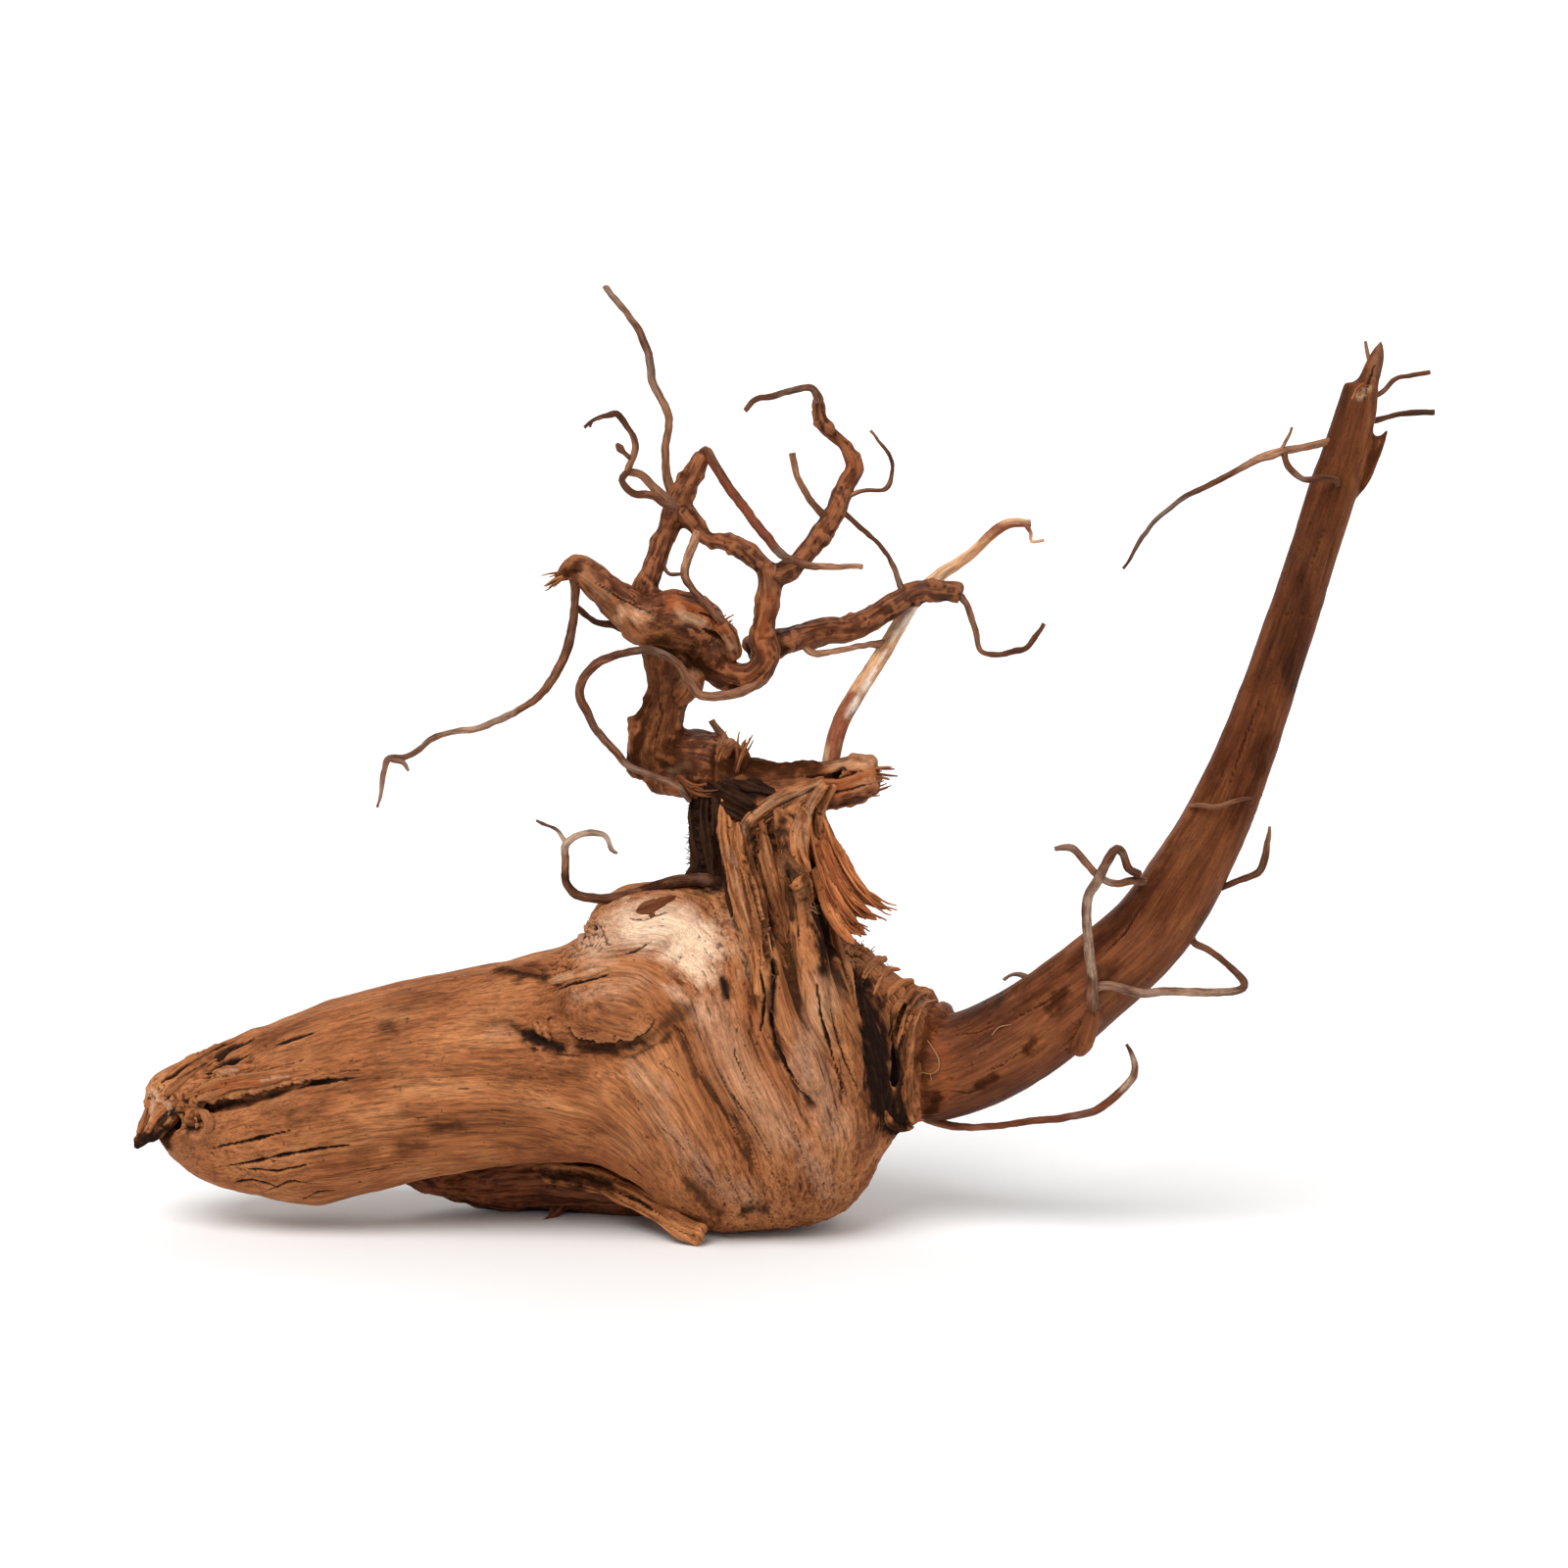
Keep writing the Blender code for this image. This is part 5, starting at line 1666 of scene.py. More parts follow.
        # Painted shade: hollows are darkened towards the stained tone.
        hollow_shade = sketch.ranged(hollow, 0.56, 1.0, 0.0, self.hollow_shade)
        colour = sketch.mixed(hollow_shade, colour, linear(*self.stained))
        wear = sketch.ranged(hollow, 0.12, 0.44, self.wear, 0.0)
        wear = sketch.math("MULTIPLY", wear, sketch.ranged(parts[0], 0.1, 0.8, 1.0, 0.1))
        return sketch.mixed(wear, colour, linear(*self.light))

    def _grey_of(self, sketch: NodeSketch, value: Any) -> Any:
        """A value as a grey colour."""
        return sketch.add("ShaderNodeCombineColor", None, {0: value, 1: value, 2: value}).outputs[0]

    def _relief(self, sketch: NodeSketch, streaks: Any, threads: Any, grit: Any) -> Any:
        """The bump that the streaks, threads and grit make.

        Args:
            sketch: The tree.
            streaks: Noise along the grain.
            threads: Finer noise along it.
            grit: Even noise.

        Returns:
            The bent normal.
        """
        height = sketch.math("ADD", streaks, sketch.math("MULTIPLY", threads, 0.35))
        height = sketch.math("ADD", height, sketch.math("MULTIPLY", grit, 0.4))
        sockets = {"Strength": 1.0, "Distance": self.relief * MM, "Height": height}
        return sketch.add("ShaderNodeBump", None, sockets).outputs[0]


class Finish(Enum):
    """The finishes of the wood."""

    STUMP = WoodFinish(
        "worn_stump_wood", (190, 128, 82), (160, 98, 59), (112, 63, 36), greying=0.2, streak=0.75, period=0.8,
        stretch=18.0, speckle=0.45, bleached=(255, 221, 188), stained=(36, 24, 20), wear=0.3,
    )
    SLAB = WoodFinish(
        "dark_bark_slab", (140, 84, 56), (88, 47, 31), (44, 26, 19), greying=0.15, streak=0.7, wear=0.5,
    )
    HORN = WoodFinish(
        "smooth_horn_wood", (140, 83, 49), (106, 58, 34), (60, 32, 20), greying=0.15, streak=0.6, relief=0.16,
        rough=(0.42, 0.65), stretch=16.0, wear=0.35,
    )
    CROWN = WoodFinish(
        "warm_crown_wood", (162, 100, 62), (92, 50, 30), (42, 24, 17), grey=(104, 78, 62), greying=0.2,
        streak=0.65, relief=0.24, rough=(0.4, 0.65), wear=0.6, bleached=(218, 172, 132), gloss=0.08,
        hollow_shade=0.65,
    )
    SPLINTER = WoodFinish(
        "split_fibre_wood", (200, 132, 82), (142, 84, 49), (70, 38, 24), greying=0.1, streak=0.85,
        period=0.7, wear=0.5, stained=(40, 24, 17), hollow_shade=0.9,
    )
    RED = WoodFinish(
        "red_torn_fibre", (220, 146, 92), (172, 96, 54), (106, 54, 31), greying=0.05, streak=0.9, period=0.7,
        wear=0.3,
    )
    ROOTLET = WoodFinish(
        "rootlet_bark", (186, 134, 100), (106, 64, 43), (46, 27, 20), grey=(150, 128, 112), greying=0.5,
        period=0.6, streak=0.85, stretch=7.0, relief=0.18, speckle=0.4, gloss=0.08, rough=(0.4, 0.7),
        stained=(58, 32, 22), bleached=(206, 176, 150), reddened=(128, 62, 38),
    )
    PEELED = WoodFinish(
        "peeled_twig", (240, 206, 172), (220, 170, 128), (162, 98, 62), greying=0.1, period=0.6,
        streak=0.7, relief=0.12, speckle=0.3, reddened=(122, 58, 38), bleached=(248, 232, 214),
    )
    CHARRED = WoodFinish(
        "blackened_fibre", (84, 54, 38), (42, 27, 20), (22, 16, 13), greying=0.0, streak=0.8, period=0.7,
        wear=0.35, gloss=0.0,
    )
    HAIR = WoodFinish(
        "fine_pale_hair", (206, 164, 120), (170, 122, 84), (124, 82, 54), greying=0.0, speckle=0.0,
    )


@dataclass
class Piece:
    """One shown piece of the wood.

    Args:
        box: Lowest and highest corner of the CAD box.
        name: The piece's name.
        finish: Its finish.
    """

    box: Box
    name: str = "wood"
    finish: Finish = Finish.STUMP

    def dressed(self, obj: bpy.types.Object) -> bpy.types.Object:
        """Names the finished mesh, keeps it in the box, and hangs it on the part's body in its finish.

        Args:
            obj: The object with its plain mesh.

        Returns:
            The object.
        """
        obj.name = self.name
        obj.data.name = self.name
        points = np.clip(numbers(obj.data.vertices, "co", 3, np.float32), *self.box)
        obj.data.vertices.foreach_set("co", points.ravel())
        obj.data.update()
        obj.data.materials.clear()
        obj.data.materials.append(self.finish.value.material())
        obj.data.shade_smooth()
        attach(obj, BODY)
        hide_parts(NODE)
        obj.data.calc_loop_triangles()
        LOG.info("%s: %d triangles", self.name, len(obj.data.loop_triangles))
        return obj


def ground_held(surface: Surface) -> None:
    """Keeps the lowest skin flat, so that the wood still rests where its solid does."""
    near = eased(1.0 - surface.points[:, 2] / (2.0 * MM))
    surface.lift *= 1.0 - near


@dataclass
class Stump(Piece):
    """The muzzle, the head and the neck: one body of worn wood.

    Args:
        triangles: About how many it keeps.
        voxels: Fineness of the swellings, then of the strands and lips, then of the skin.
        neck_flatness: The neck's thickness towards the viewer beside its width.
        fine_cracks: How many short cracks follow the fibres.
        rotten_spots: x, z and size of the crumbly places.
        flow: The way that the fibres run.
        cracks: Its drawn splits.
        folds: Its soft ridges and grooves.
        ledges: Its broken edges.
        stains: Its stains, and the shade painted into its recesses.
    """

    name: str = "stump"
    triangles: int = 190000
    voxels: tuple[float, float, float] = (2.2, 1.1, 0.5)
    neck_flatness: float = 0.86
    fine_cracks: int = 90
    rotten_spots: Rows = field(default_factory=lambda: [
        (-135, 32, 7), (-127, 31, 6), (-119, 40, 5), (-24, 75, 5), (-31, 68, 4), (3, 106, 6), (4, 96, 5),
        (33, 88, 6), (-38, 49, 4), (20, 98, 4), (42, 72, 5), (44, 64, 4),
    ])
    flow: FlowField = field(default_factory=FlowField)
    cracks: list[Crack] = field(default_factory=lambda: [
        Crack([(-124, 39.5), (-118, 43), (-112, 45.6)], 1.0, 1.0),
        Crack([(-106, 47.2), (-100, 49.4), (-94, 51.4)], 0.8, 0.9),
        Crack([(-100, 36), (-94, 37.8), (-85, 39)], 0.8, 1.1),
        Crack([(-122, 43), (-116, 46.4), (-110, 48.4)], 0.7, 0.7),
        Crack([(-121, 21.2), (-110.5, 23.2), (-99.6, 26.1)], 0.6, 1.2),
        Crack([(-121, 16.2), (-113, 17.1), (-105.3, 18.7), (-95.2, 20.6), (-83, 22)], 0.75, 1.6),
        Crack([(-114.3, 15.6), (-108.5, 15.8), (-104, 15.1), (-98.9, 16.2), (-91.3, 18.1)], 0.5, 0.8),
        Crack([(-116.2, 12.3), (-110.5, 13), (-106, 12), (-103.4, 10.4)], 0.45, 0.8),
        Crack([(-97.7, 7.9), (-93.9, 9.5), (-88.8, 10.4)], 0.4, 0.6),
        Crack([(-108, 9.8), (-101, 12.4), (-96, 11.8)], 0.4, 0.6),
        Crack(
            [(17, 89), (20, 79), (21.6, 72), (22.4, 64), (21.8, 54), (22.6, 48), (26, 41.5), (34.4, 30.6)],
            0.7, 1.3,
        ),
        Crack([(18.6, 68), (20, 60), (19.4, 53), (18, 47)], 0.6, 1.2),
        Crack([(33, 66), (34.4, 55), (37.4, 44), (41, 33)], 0.5, 1.0),
        Crack([(-18.7, 70), (-13, 71.4), (-8, 74.4)], 0.35, 0.6),
        Crack([(-34, 61.6), (-27, 63.4), (-19.4, 65.6)], 0.6, 1.0),
        Crack([(12, 100), (13.4, 91), (15.4, 82), (17.6, 74)], 0.9, 2.0),
        Crack([(26, 92), (27, 84), (29.4, 74)], 0.9, 2.0),
        Crack([(37, 58), (40, 46), (43, 36)], 0.4, 0.7),
        Crack([(11, 36), (17, 27), (22, 18)], 0.35, 0.6),
        Crack([(13, 52), (12.4, 45), (15.6, 38), (20, 31)], 0.3, 0.5),
        Crack([(43, 70), (45, 60), (46.4, 50)], 0.4, 0.7),
        Crack([(52.6, 56), (52.8, 46), (52.4, 36), (53, 29)], 0.8, 1.4),
    ])
    folds: list[Fold] = field(default_factory=lambda: [
        Fold(
            [(-3, 54), (-0.3, 45.7), (2.3, 39.3), (8, 31.7), (12.5, 26.6), (15.7, 20.2), (17.6, 10)],
            4.6, -4.4,
        ),
        Fold([(9, 66), (8.4, 54), (10, 45), (14, 38), (20, 31), (25, 22), (28, 12)], 4.6, 1.9),
        Fold([(-14, 41), (-8, 37), (-3, 31), (3, 24), (9, 16), (12, 8)], 4.4, 1.3),
        Fold([(-38, 62), (-32, 69), (-24, 72)], 3.4, -0.9),
        Fold([(-6, 74), (-3, 68), (-1, 62)], 3.0, -0.8),
        Fold([(-28, 46), (-15, 43.6), (-6, 48), (-2, 53)], 3.6, -2.2),
        Fold([(-46, 53.6), (-38, 49), (-30, 45)], 3.4, -2.8),
        Fold([(-120, 43), (-90, 53), (-60, 59), (-38, 60)], 4.6, -0.7),
        Fold([(-112, 27), (-80, 31), (-50, 33), (-28, 34)], 6.0, 0.8),
        Fold([(-105, 16), (-80, 20), (-55, 24), (-30, 24)], 4.0, -0.6),
        Fold([(29, 92), (30, 72), (32, 54), (34, 36), (34, 18)], 2.4, 1.5),
        Fold([(25.6, 90), (26, 72), (28.4, 56), (31.6, 40)], 1.7, -1.3),
        Fold([(13.6, 100), (13, 84), (13.6, 66), (15, 50)], 2.4, 1.1),
        Fold([(18, 76), (17, 62), (16.4, 50), (20, 40)], 1.8, -0.9),
        Fold([(39, 80), (41, 64), (43, 48), (44, 32)], 2.0, 1.0),
        Fold([(36, 72), (37.6, 58), (39.6, 44), (40, 26)], 1.7, -1.1),
        Fold([(-130, 39), (-124, 43.4), (-114, 48.4), (-106, 51.6)], 2.4, 1.4),
        Fold([(-129, 31), (-126.6, 28.4), (-128, 25)], 2.8, -2.2),
        Fold([(-124, 40.6), (-118, 42.6), (-110, 44.4)], 2.2, -1.2),
    ])
    ledges: list[Ledge] = field(default_factory=lambda: [
        Ledge([(-31, 53), (-27, 49), (-20.8, 47.8), (-14.2, 48.8), (-9.9, 51.2), (-7.6, 54)], 1.2, 4.5),
        Ledge([(-128, 30), (-118, 34.2), (-110, 35.8), (-103, 37.2), (-96, 38.4), (-89, 39.4)], 1.3, 2.4),
        Ledge([(-20, 84), (-24, 79), (-26.6, 74), (-28.6, 69.6), (-35, 66.6)], 1.8, 3.0),
        Ledge([(16, 92), (19.6, 78), (21, 66)], 1.0, 2.4),
        Ledge([(24.6, 44), (28, 38), (33, 32)], 0.9, 2.4),
        Ledge([(43, 32), (44.4, 40), (44.4, 52), (42.6, 62), (41, 72)], 0.8, 2.0),
        Ledge([(52, 28), (52.6, 38), (52.4, 50)], 0.9, 1.4),
        Ledge([(-15, 80), (-11, 79.4), (-8.6, 80.6), (-4, 81.6)], 0.6, 1.4),
    ])
    stains: list[Stain] = field(default_factory=lambda: [
        *marks(Mark.DARK, Side.FRONT, [
            ([(-78, 51.6), (-75, 53)], 3.4, 0.6), ([(-98, 46), (-88, 48)], 6.0, 0.3),
            ([(-64, 26), (-58, 27)], 4.0, 0.6), ([(-73, 21), (-68, 22)], 4.0, 0.5),
            ([(-86, 19), (-79, 20)], 3.6, 0.45), ([(-78, 39), (-70, 40)], 4.4, 0.32),
            ([(-108, 30), (-100, 31)], 4.4, 0.4), ([(-128, 43), (-119, 46.6)], 3.0, 0.6),
            ([(-53, 53), (-45, 54)], 3.0, 0.5), ([(-47, 66.6), (-37, 65.6)], 3.0, 0.8),
            # Partly dark wood, partly painted shade: the recess beside the eye.
            ([(-42, 51), (-37.9, 48.9), (-32.8, 46.4)], 2.6, 0.9),
            ([(-47, 39), (-36, 39), (-24, 42)], 5.0, 0.38),
            # Painted shadow under the eye's lid, and painted shade along the lid's edge.
            ([(-27.7, 46.8), (-18, 45.8), (-11, 48)], 2.0, 0.8),
            ([(-11, 48), (-5, 53), (-2, 57)], 2.6, 0.55), ([(-5, 53), (1, 57)], 3.0, 0.6),
            ([(9.6, 64), (10.6, 60)], 1.8, 0.95), ([(13, 80), (13.4, 77)], 2.0, 0.8),
            # Painted shade in the valley down the cheek.
            ([(-2, 50), (2.3, 39.3), (8, 31.7), (12.5, 26.6)], 3.0, 0.22),
            ([(0, 13), (4, 9), (8, 5)], 3.0, 0.6), ([(15, 5), (20, 6)], 2.6, 0.75),
            # Painted shade between the neck's boards and under its strips: (24, 104) to (28, 88), (17.6, 100)
            # to (22, 66), and the broad band from (16, 106) to (31, 84).
            ([(9, 108), (14, 106.4)], 4.4, 0.75), ([(24, 104), (26, 94), (28, 88)], 3.4, 0.8),
            ([(17.6, 100), (18.6, 88), (21.6, 78), (22, 66)], 1.7, 0.9),
            ([(34, 84), (35, 76), (37, 70)], 4.0, 1.0), ([(16, 106), (24, 98), (31, 84)], 9.0, 0.6),
            ([(-4, 90), (6, 91.5), (13, 93)], 2.6, 0.85), ([(33.6, 82), (34.6, 74), (35.4, 66)], 2.4, 0.9),
            ([(20, 78), (22, 66), (21.6, 54), (24, 44)], 2.2, 0.7),
            ([(27, 78), (28, 66), (29, 56)], 2.4, 0.45), ([(36, 66), (37, 56), (39, 48)], 2.4, 0.45),
            ([(44, 62), (46.6, 55), (48, 48), (48.6, 40), (50.6, 32), (54, 27)], 6.0, 1.3),
            ([(34.6, 76), (38, 66), (43, 58), (45, 48)], 3.4, 0.7),
            ([(54.6, 50), (53.6, 42), (54, 34), (56, 27)], 4.0, 0.9),
            ([(41, 62), (43, 54), (44, 46)], 3.0, 0.5), ([(38, 16), (39, 20)], 3.0, 0.35),
            ([(-26, 25), (-21, 25)], 2.6, 0.4), ([(-11, 19), (-8, 17)], 2.6, 0.35),
            # Painted shade in the mouth's hole and under its overhanging lip.
            ([(-131, 29), (-126, 27.6)], 4.0, 1.0), ([(-119, 31.6), (-110, 33.4), (-102, 35.4)], 1.8, 0.85),
            ([(-126, 31), (-123, 33)], 1.6, 0.8), ([(-134, 25), (-132, 22)], 2.4, 0.8),
            ([(-128, 24), (-123, 22.6)], 2.6, 0.4),
        ]),
        *marks(Mark.RED, Side.FRONT, [
            ([(-27, 78), (-18, 73.4)], 5.0, 0.35), ([(14, 60), (20, 44), (32, 26)], 7.0, 0.3),
            ([(28, 80), (30, 74)], 4.0, 0.6), ([(-84, 14), (-66, 18)], 5.0, 0.35),
            ([(24, 50), (26, 38)], 3.6, 0.35), ([(-100, 14), (-90, 12)], 6.0, 0.35),
            ([(-45, 19), (-20, 18), (-5, 10)], 4.0, 0.4),
        ]),
        *marks(Mark.DARK, Side.ALL, [
            ([(2, 114), (3, 100), (6, 91)], 7.4, 1.3), ([(4, 118), (14, 118), (32, 119)], 7.0, 0.85),
            ([(6, 113), (16, 112.4), (26, 113)], 6.4, 1.0),
        ]),
        *marks(Mark.PALE, Side.FRONT, [
            ([(-24, 73), (-16, 78)], 10.0, 0.55), ([(-12, 78), (-3, 78), (4, 73)], 11.0, 0.9),
            ([(-2, 72), (4, 67)], 8.0, 0.85), ([(6, 56), (13, 40), (24, 26)], 12.0, 0.34),
            ([(36, 62), (30, 44), (38, 26)], 10.0, 0.36), ([(-6, 30), (6, 14), (16, 8)], 8.0, 0.3),
            ([(30, 22), (36, 12)], 8.0, 0.3), ([(12, 80), (15, 66)], 4.0, 0.35),
            ([(-28, 60), (-12, 64)], 5.0, 0.3), ([(-4, 62), (2, 58), (6, 54)], 3.4, 0.45),
            ([(-136, 35), (-132, 30)], 3.0, 0.7), ([(-119, 40.4), (-114, 40.6)], 1.6, 0.35),
            ([(-50, 50), (-46, 51)], 5.0, 0.25), ([(-14, 40), (-6, 36)], 6.0, 0.3),
            ([(-18, 60), (-10, 63)], 8.0, 0.2), ([(14, 88), (17, 76)], 2.4, 0.4),
            ([(40, 74), (42, 66)], 3.0, 0.3),
        ]),
        *marks(Mark.DARK, Side.BACK, [
            ([(-60, 40), (-30, 40)], 12.0, 0.35), ([(20, 60), (30, 30)], 12.0, 0.4),
            ([(10, 105), (20, 95)], 8.0, 0.8),
        ]),
        *marks(Mark.PALE, Side.BACK, [
            ([(0, 60), (10, 40)], 10.0, 0.4),
        ]),
    ])

    def built(self) -> bpy.types.Object:
        """Fuses, carves, stains and dresses the stump.

        Returns:
            The finished object.
        """
        forms = [stump_shell()] + [burl(row) for row in BURLS.values()]
        forms += [Limb(rows, 3.0).shell(STUMP_SIDES, self.neck_flatness) for rows in STUMP_LIMBS.values()]
        coarse, middling, fine = self.voxels
        obj = fused(Shell.joined(forms).as_object(self.name), coarse, 10)
        late = [Limb(rows, 2.0).shell(16) for rows in STRANDS.values()]
        late += [collar(COLLARS["stump_lip"]), burl(EYELID)]
        obj = self._joined(obj, Shell.joined(late).as_object("late"))
        obj = fused(obj, middling, 0)
        cut(obj, [Limb(rows, 2.0).shell(14) for rows in STUMP_CUTS.values()])
        obj = fused(obj, fine, 10)
        surface = Surface(obj)
        self.carve(surface)
        ground_held(surface)
        surface.settled(self.box)
        thinned(obj, self.triangles)
        return self.dressed(obj)

    def _joined(self, obj: bpy.types.Object, other: bpy.types.Object) -> bpy.types.Object:
        """Lays the other object's mesh beside the first one's, and removes it.

        Args:
            obj: The first object.
            other: The other one.

        Returns:
            A new object with both meshes.
        """
        shells = []
        for mesh in (obj.data, other.data):
            faces = [tuple(face.vertices) for face in mesh.polygons]
            shells.append(Shell(numbers(mesh.vertices, "co", 3), faces))
        bpy.data.objects.remove(obj)
        bpy.data.objects.remove(other)
        return Shell.joined(shells).as_object(self.name)

    def carve(self, surface: Surface) -> None:
        """Carves the grain, the cracks and the broken edges, and lays the stains and the painted shade.

        Args:
            surface: The stump's skin.
        """
        surface.flow(self.flow)
        rough = 0.55 + 0.45 * eased((surface.x + 12.0) / 20.0)
        surface.lift += surface.noise(11.0, 2) * 0.5
        surface.lift += surface.fibre(3.2, 10.0, 3) * 0.5 * rough
        surface.lift += surface.fibre(1.3, 16.0, 2, 4.0) * 0.26 * rough
        rotten = self._rotten(surface)
        surface.lift += rotten * (surface.noise(2.2, 3, 7.0) * 1.9 - 0.6)
        surface.mark(Mark.DARK, rotten * eased(-surface.noise(2.2, 3, 7.0) * 1.6) * 0.8)
        pits = np.clip(surface.noise(2.0, 2, 11.0) - 0.5, 0.0, 1.0)
        pits = pits * np.clip(surface.noise(14.0, 2, 2.0), 0.0, 1.0)
        surface.lift -= pits * 2.4
        surface.mark(Mark.DARK, eased(pits * 6.0) * 0.5)
        for fold in self.folds:
            surface.fold(fold)
        for ledge in self.ledges:
            surface.ledge(ledge)
        for crack in self.cracks + self._checks():
            surface.crack(crack)
        for stain in self.stains:
            surface.stain(stain)

    def _rotten(self, surface: Surface) -> np.ndarray:
        """How crumbly the wood is: at the muzzle's tip, on the brow's broken step and in the neck.

        Args:
            surface: The stump's skin.

        Returns:
            From 0 to 1 for each point.
        """
        total = np.zeros(len(surface.x))
        for x, z, size in self.rotten_spots:
            total = np.maximum(total, eased(1.3 - np.hypot(surface.x - x, surface.z - z) / size))
        return total * surface.front

    def _checks(self) -> list[Crack]:
        """Short fine cracks that follow the fibres.

        Returns:
            The cracks.
        """
        rng = np.random.default_rng(SEED + 1)
        cracks = []
        for _ in range(self.fine_cracks):
            x, z = rng.uniform(-118, 46), rng.uniform(4, 88)
            line = self.flow.traced(x, z, rng.uniform(4, 16))
            cracks.append(Crack(line, rng.uniform(0.16, 0.3), rng.uniform(0.12, 0.34)))
        return cracks


class Probe:
    """Finds the depth of the skin that is seen at a drawn point."""

    def __init__(self, *objects: bpy.types.Object) -> None:
        """Reads the objects' meshes.

        Args:
            *objects: The finished wood.
        """
        points: list[tuple[float, ...]] = []
        faces: list[tuple[int, ...]] = []
        for obj in objects:
            first = len(points)
            points += [vert.co[:] for vert in obj.data.vertices]
            faces += [tuple(corner + first for corner in face.vertices) for face in obj.data.polygons]
        self.tree = BVHTree.FromPolygons(points, faces)

    def rows(self, rows: Rows) -> Rows:
        """Rows of x, z, lift and radius as rows of x, z, y and radius.

        Args:
            rows: Rows whose third value is how far they stand in front of the skin.

        Returns:
            Rows whose third value is the depth.
        """
        found = []
        depth = 0.0
        for x, z, lift, radius in rows:
            seen = self.depth(x, z)
            depth = depth if seen is None else seen
            found.append((x, z, depth - lift, radius))
        return found

    def depth(self, x: float, z: float) -> float | None:
        """Depth of the skin that is seen at a drawn point, or None beside the wood.

        Args:
            x: Drawn x.
            z: Drawn z.

        Returns:
            The depth in millimetres, or None.
        """
        eye = Vector((VIEW.eye - np.array(VIEW.heel)) * MM)
        ray = VIEW.rays(np.array([x]), np.array([z]))[0]
        hit = self.tree.ray_cast(eye, Vector(ray).normalized())[0]
        return None if hit is None else hit.y / MM + VIEW.heel[1]


def laid_on(probe: Probe, table: dict[str, Rows]) -> dict[str, Rows]:
    """A table's rows laid on the skin."""
    return {name: probe.rows(rows) for name, rows in table.items()}


@dataclass
class LimbPiece(Piece):
    """A piece fused from round limbs, with its grain along them.

    Args:
        triangles: About how many it keeps.
        limbs: Its limbs.
        cuts: The limbs that are cut out of it.
        collars: Its rolled lips.
        stains: Its stains; on the slab and the neck's strips some are painted shade.
        cracks: Its splits.
        ledges: Its broken edges.
        voxel: Fineness of its skin, in millimetres.
        smooth: How often the skin is smoothed.
        ridges: Height of the ridges along the grain.
        waves: Height of its broad swellings.
        knobs: Height of its small knobs.
        pitted: How deep and dark its pits are.
        flatness: Thickness towards the viewer beside its width.
    """

    triangles: int = 20000
    limbs: dict[str, Rows] = field(default_factory=dict)
    cuts: dict[str, Rows] = field(default_factory=dict)
    collars: list[Row] = field(default_factory=list)
    stains: list[Stain] = field(default_factory=list)
    cracks: list[Crack] = field(default_factory=list)
    ledges: list[Ledge] = field(default_factory=list)
    voxel: float = 0.5
    smooth: int = 8
    ridges: float = 0.3
    waves: float = 0.5
    knobs: float = 0.0
    pitted: float = 0.3
    flatness: float = 1.0

    def built(self) -> bpy.types.Object:
        """Fuses, carves, stains and dresses the piece.

        Returns:
            The finished object.
        """
        followed = [Limb(rows) for rows in self.limbs.values()]
        shells = [Limb(rows, 1.5).shell(20, self.flatness) for rows in self.limbs.values()]
        shells += [collar(row) for row in self.collars]
        obj = fused(Shell.joined(shells).as_object(self.name), min(0.9, 1.6 * self.voxel), 0)
        if self.cuts:
            cut(obj, [Limb(rows, 2.0).shell(12) for rows in self.cuts.values()])
        obj = fused(obj, self.voxel, self.smooth)
        surface = Surface(obj)
        surface.follow(followed)
        surface.lift += surface.noise(7.0, 2) * self.waves
        surface.lift += surface.fibre(2.4, 8.0, 3) * self.ridges
        surface.lift += surface.fibre(1.1, 12.0, 2, 4.0) * self.ridges * 0.4
        surface.lift += np.clip(surface.noise(5.0, 2, 21.0), 0.0, 1.0) ** 2 * self.knobs
        pits = np.clip(surface.noise(1.8, 2, 11.0) - 0.4, 0.0, 1.0)
        surface.lift -= pits * 2.0 * self.pitted
        surface.mark(Mark.DARK, eased(pits * 4.0) * self.pitted)
        for ledge in self.ledges:
            surface.ledge(ledge)
        for crack in self.cracks:
            surface.crack(crack)
        for stain in self.stains:
            surface.stain(stain)
        ground_held(surface)
        surface.settled(self.box)
        thinned(obj, self.triangles)
        return self.dressed(obj)

    def built_on(self, probe: Probe) -> bpy.types.Object:
        """Lays the limbs, whose rows hold a lift in place of a depth, on the skin, and builds them."""
        self.limbs = laid_on(probe, self.limbs)
        return self.built()


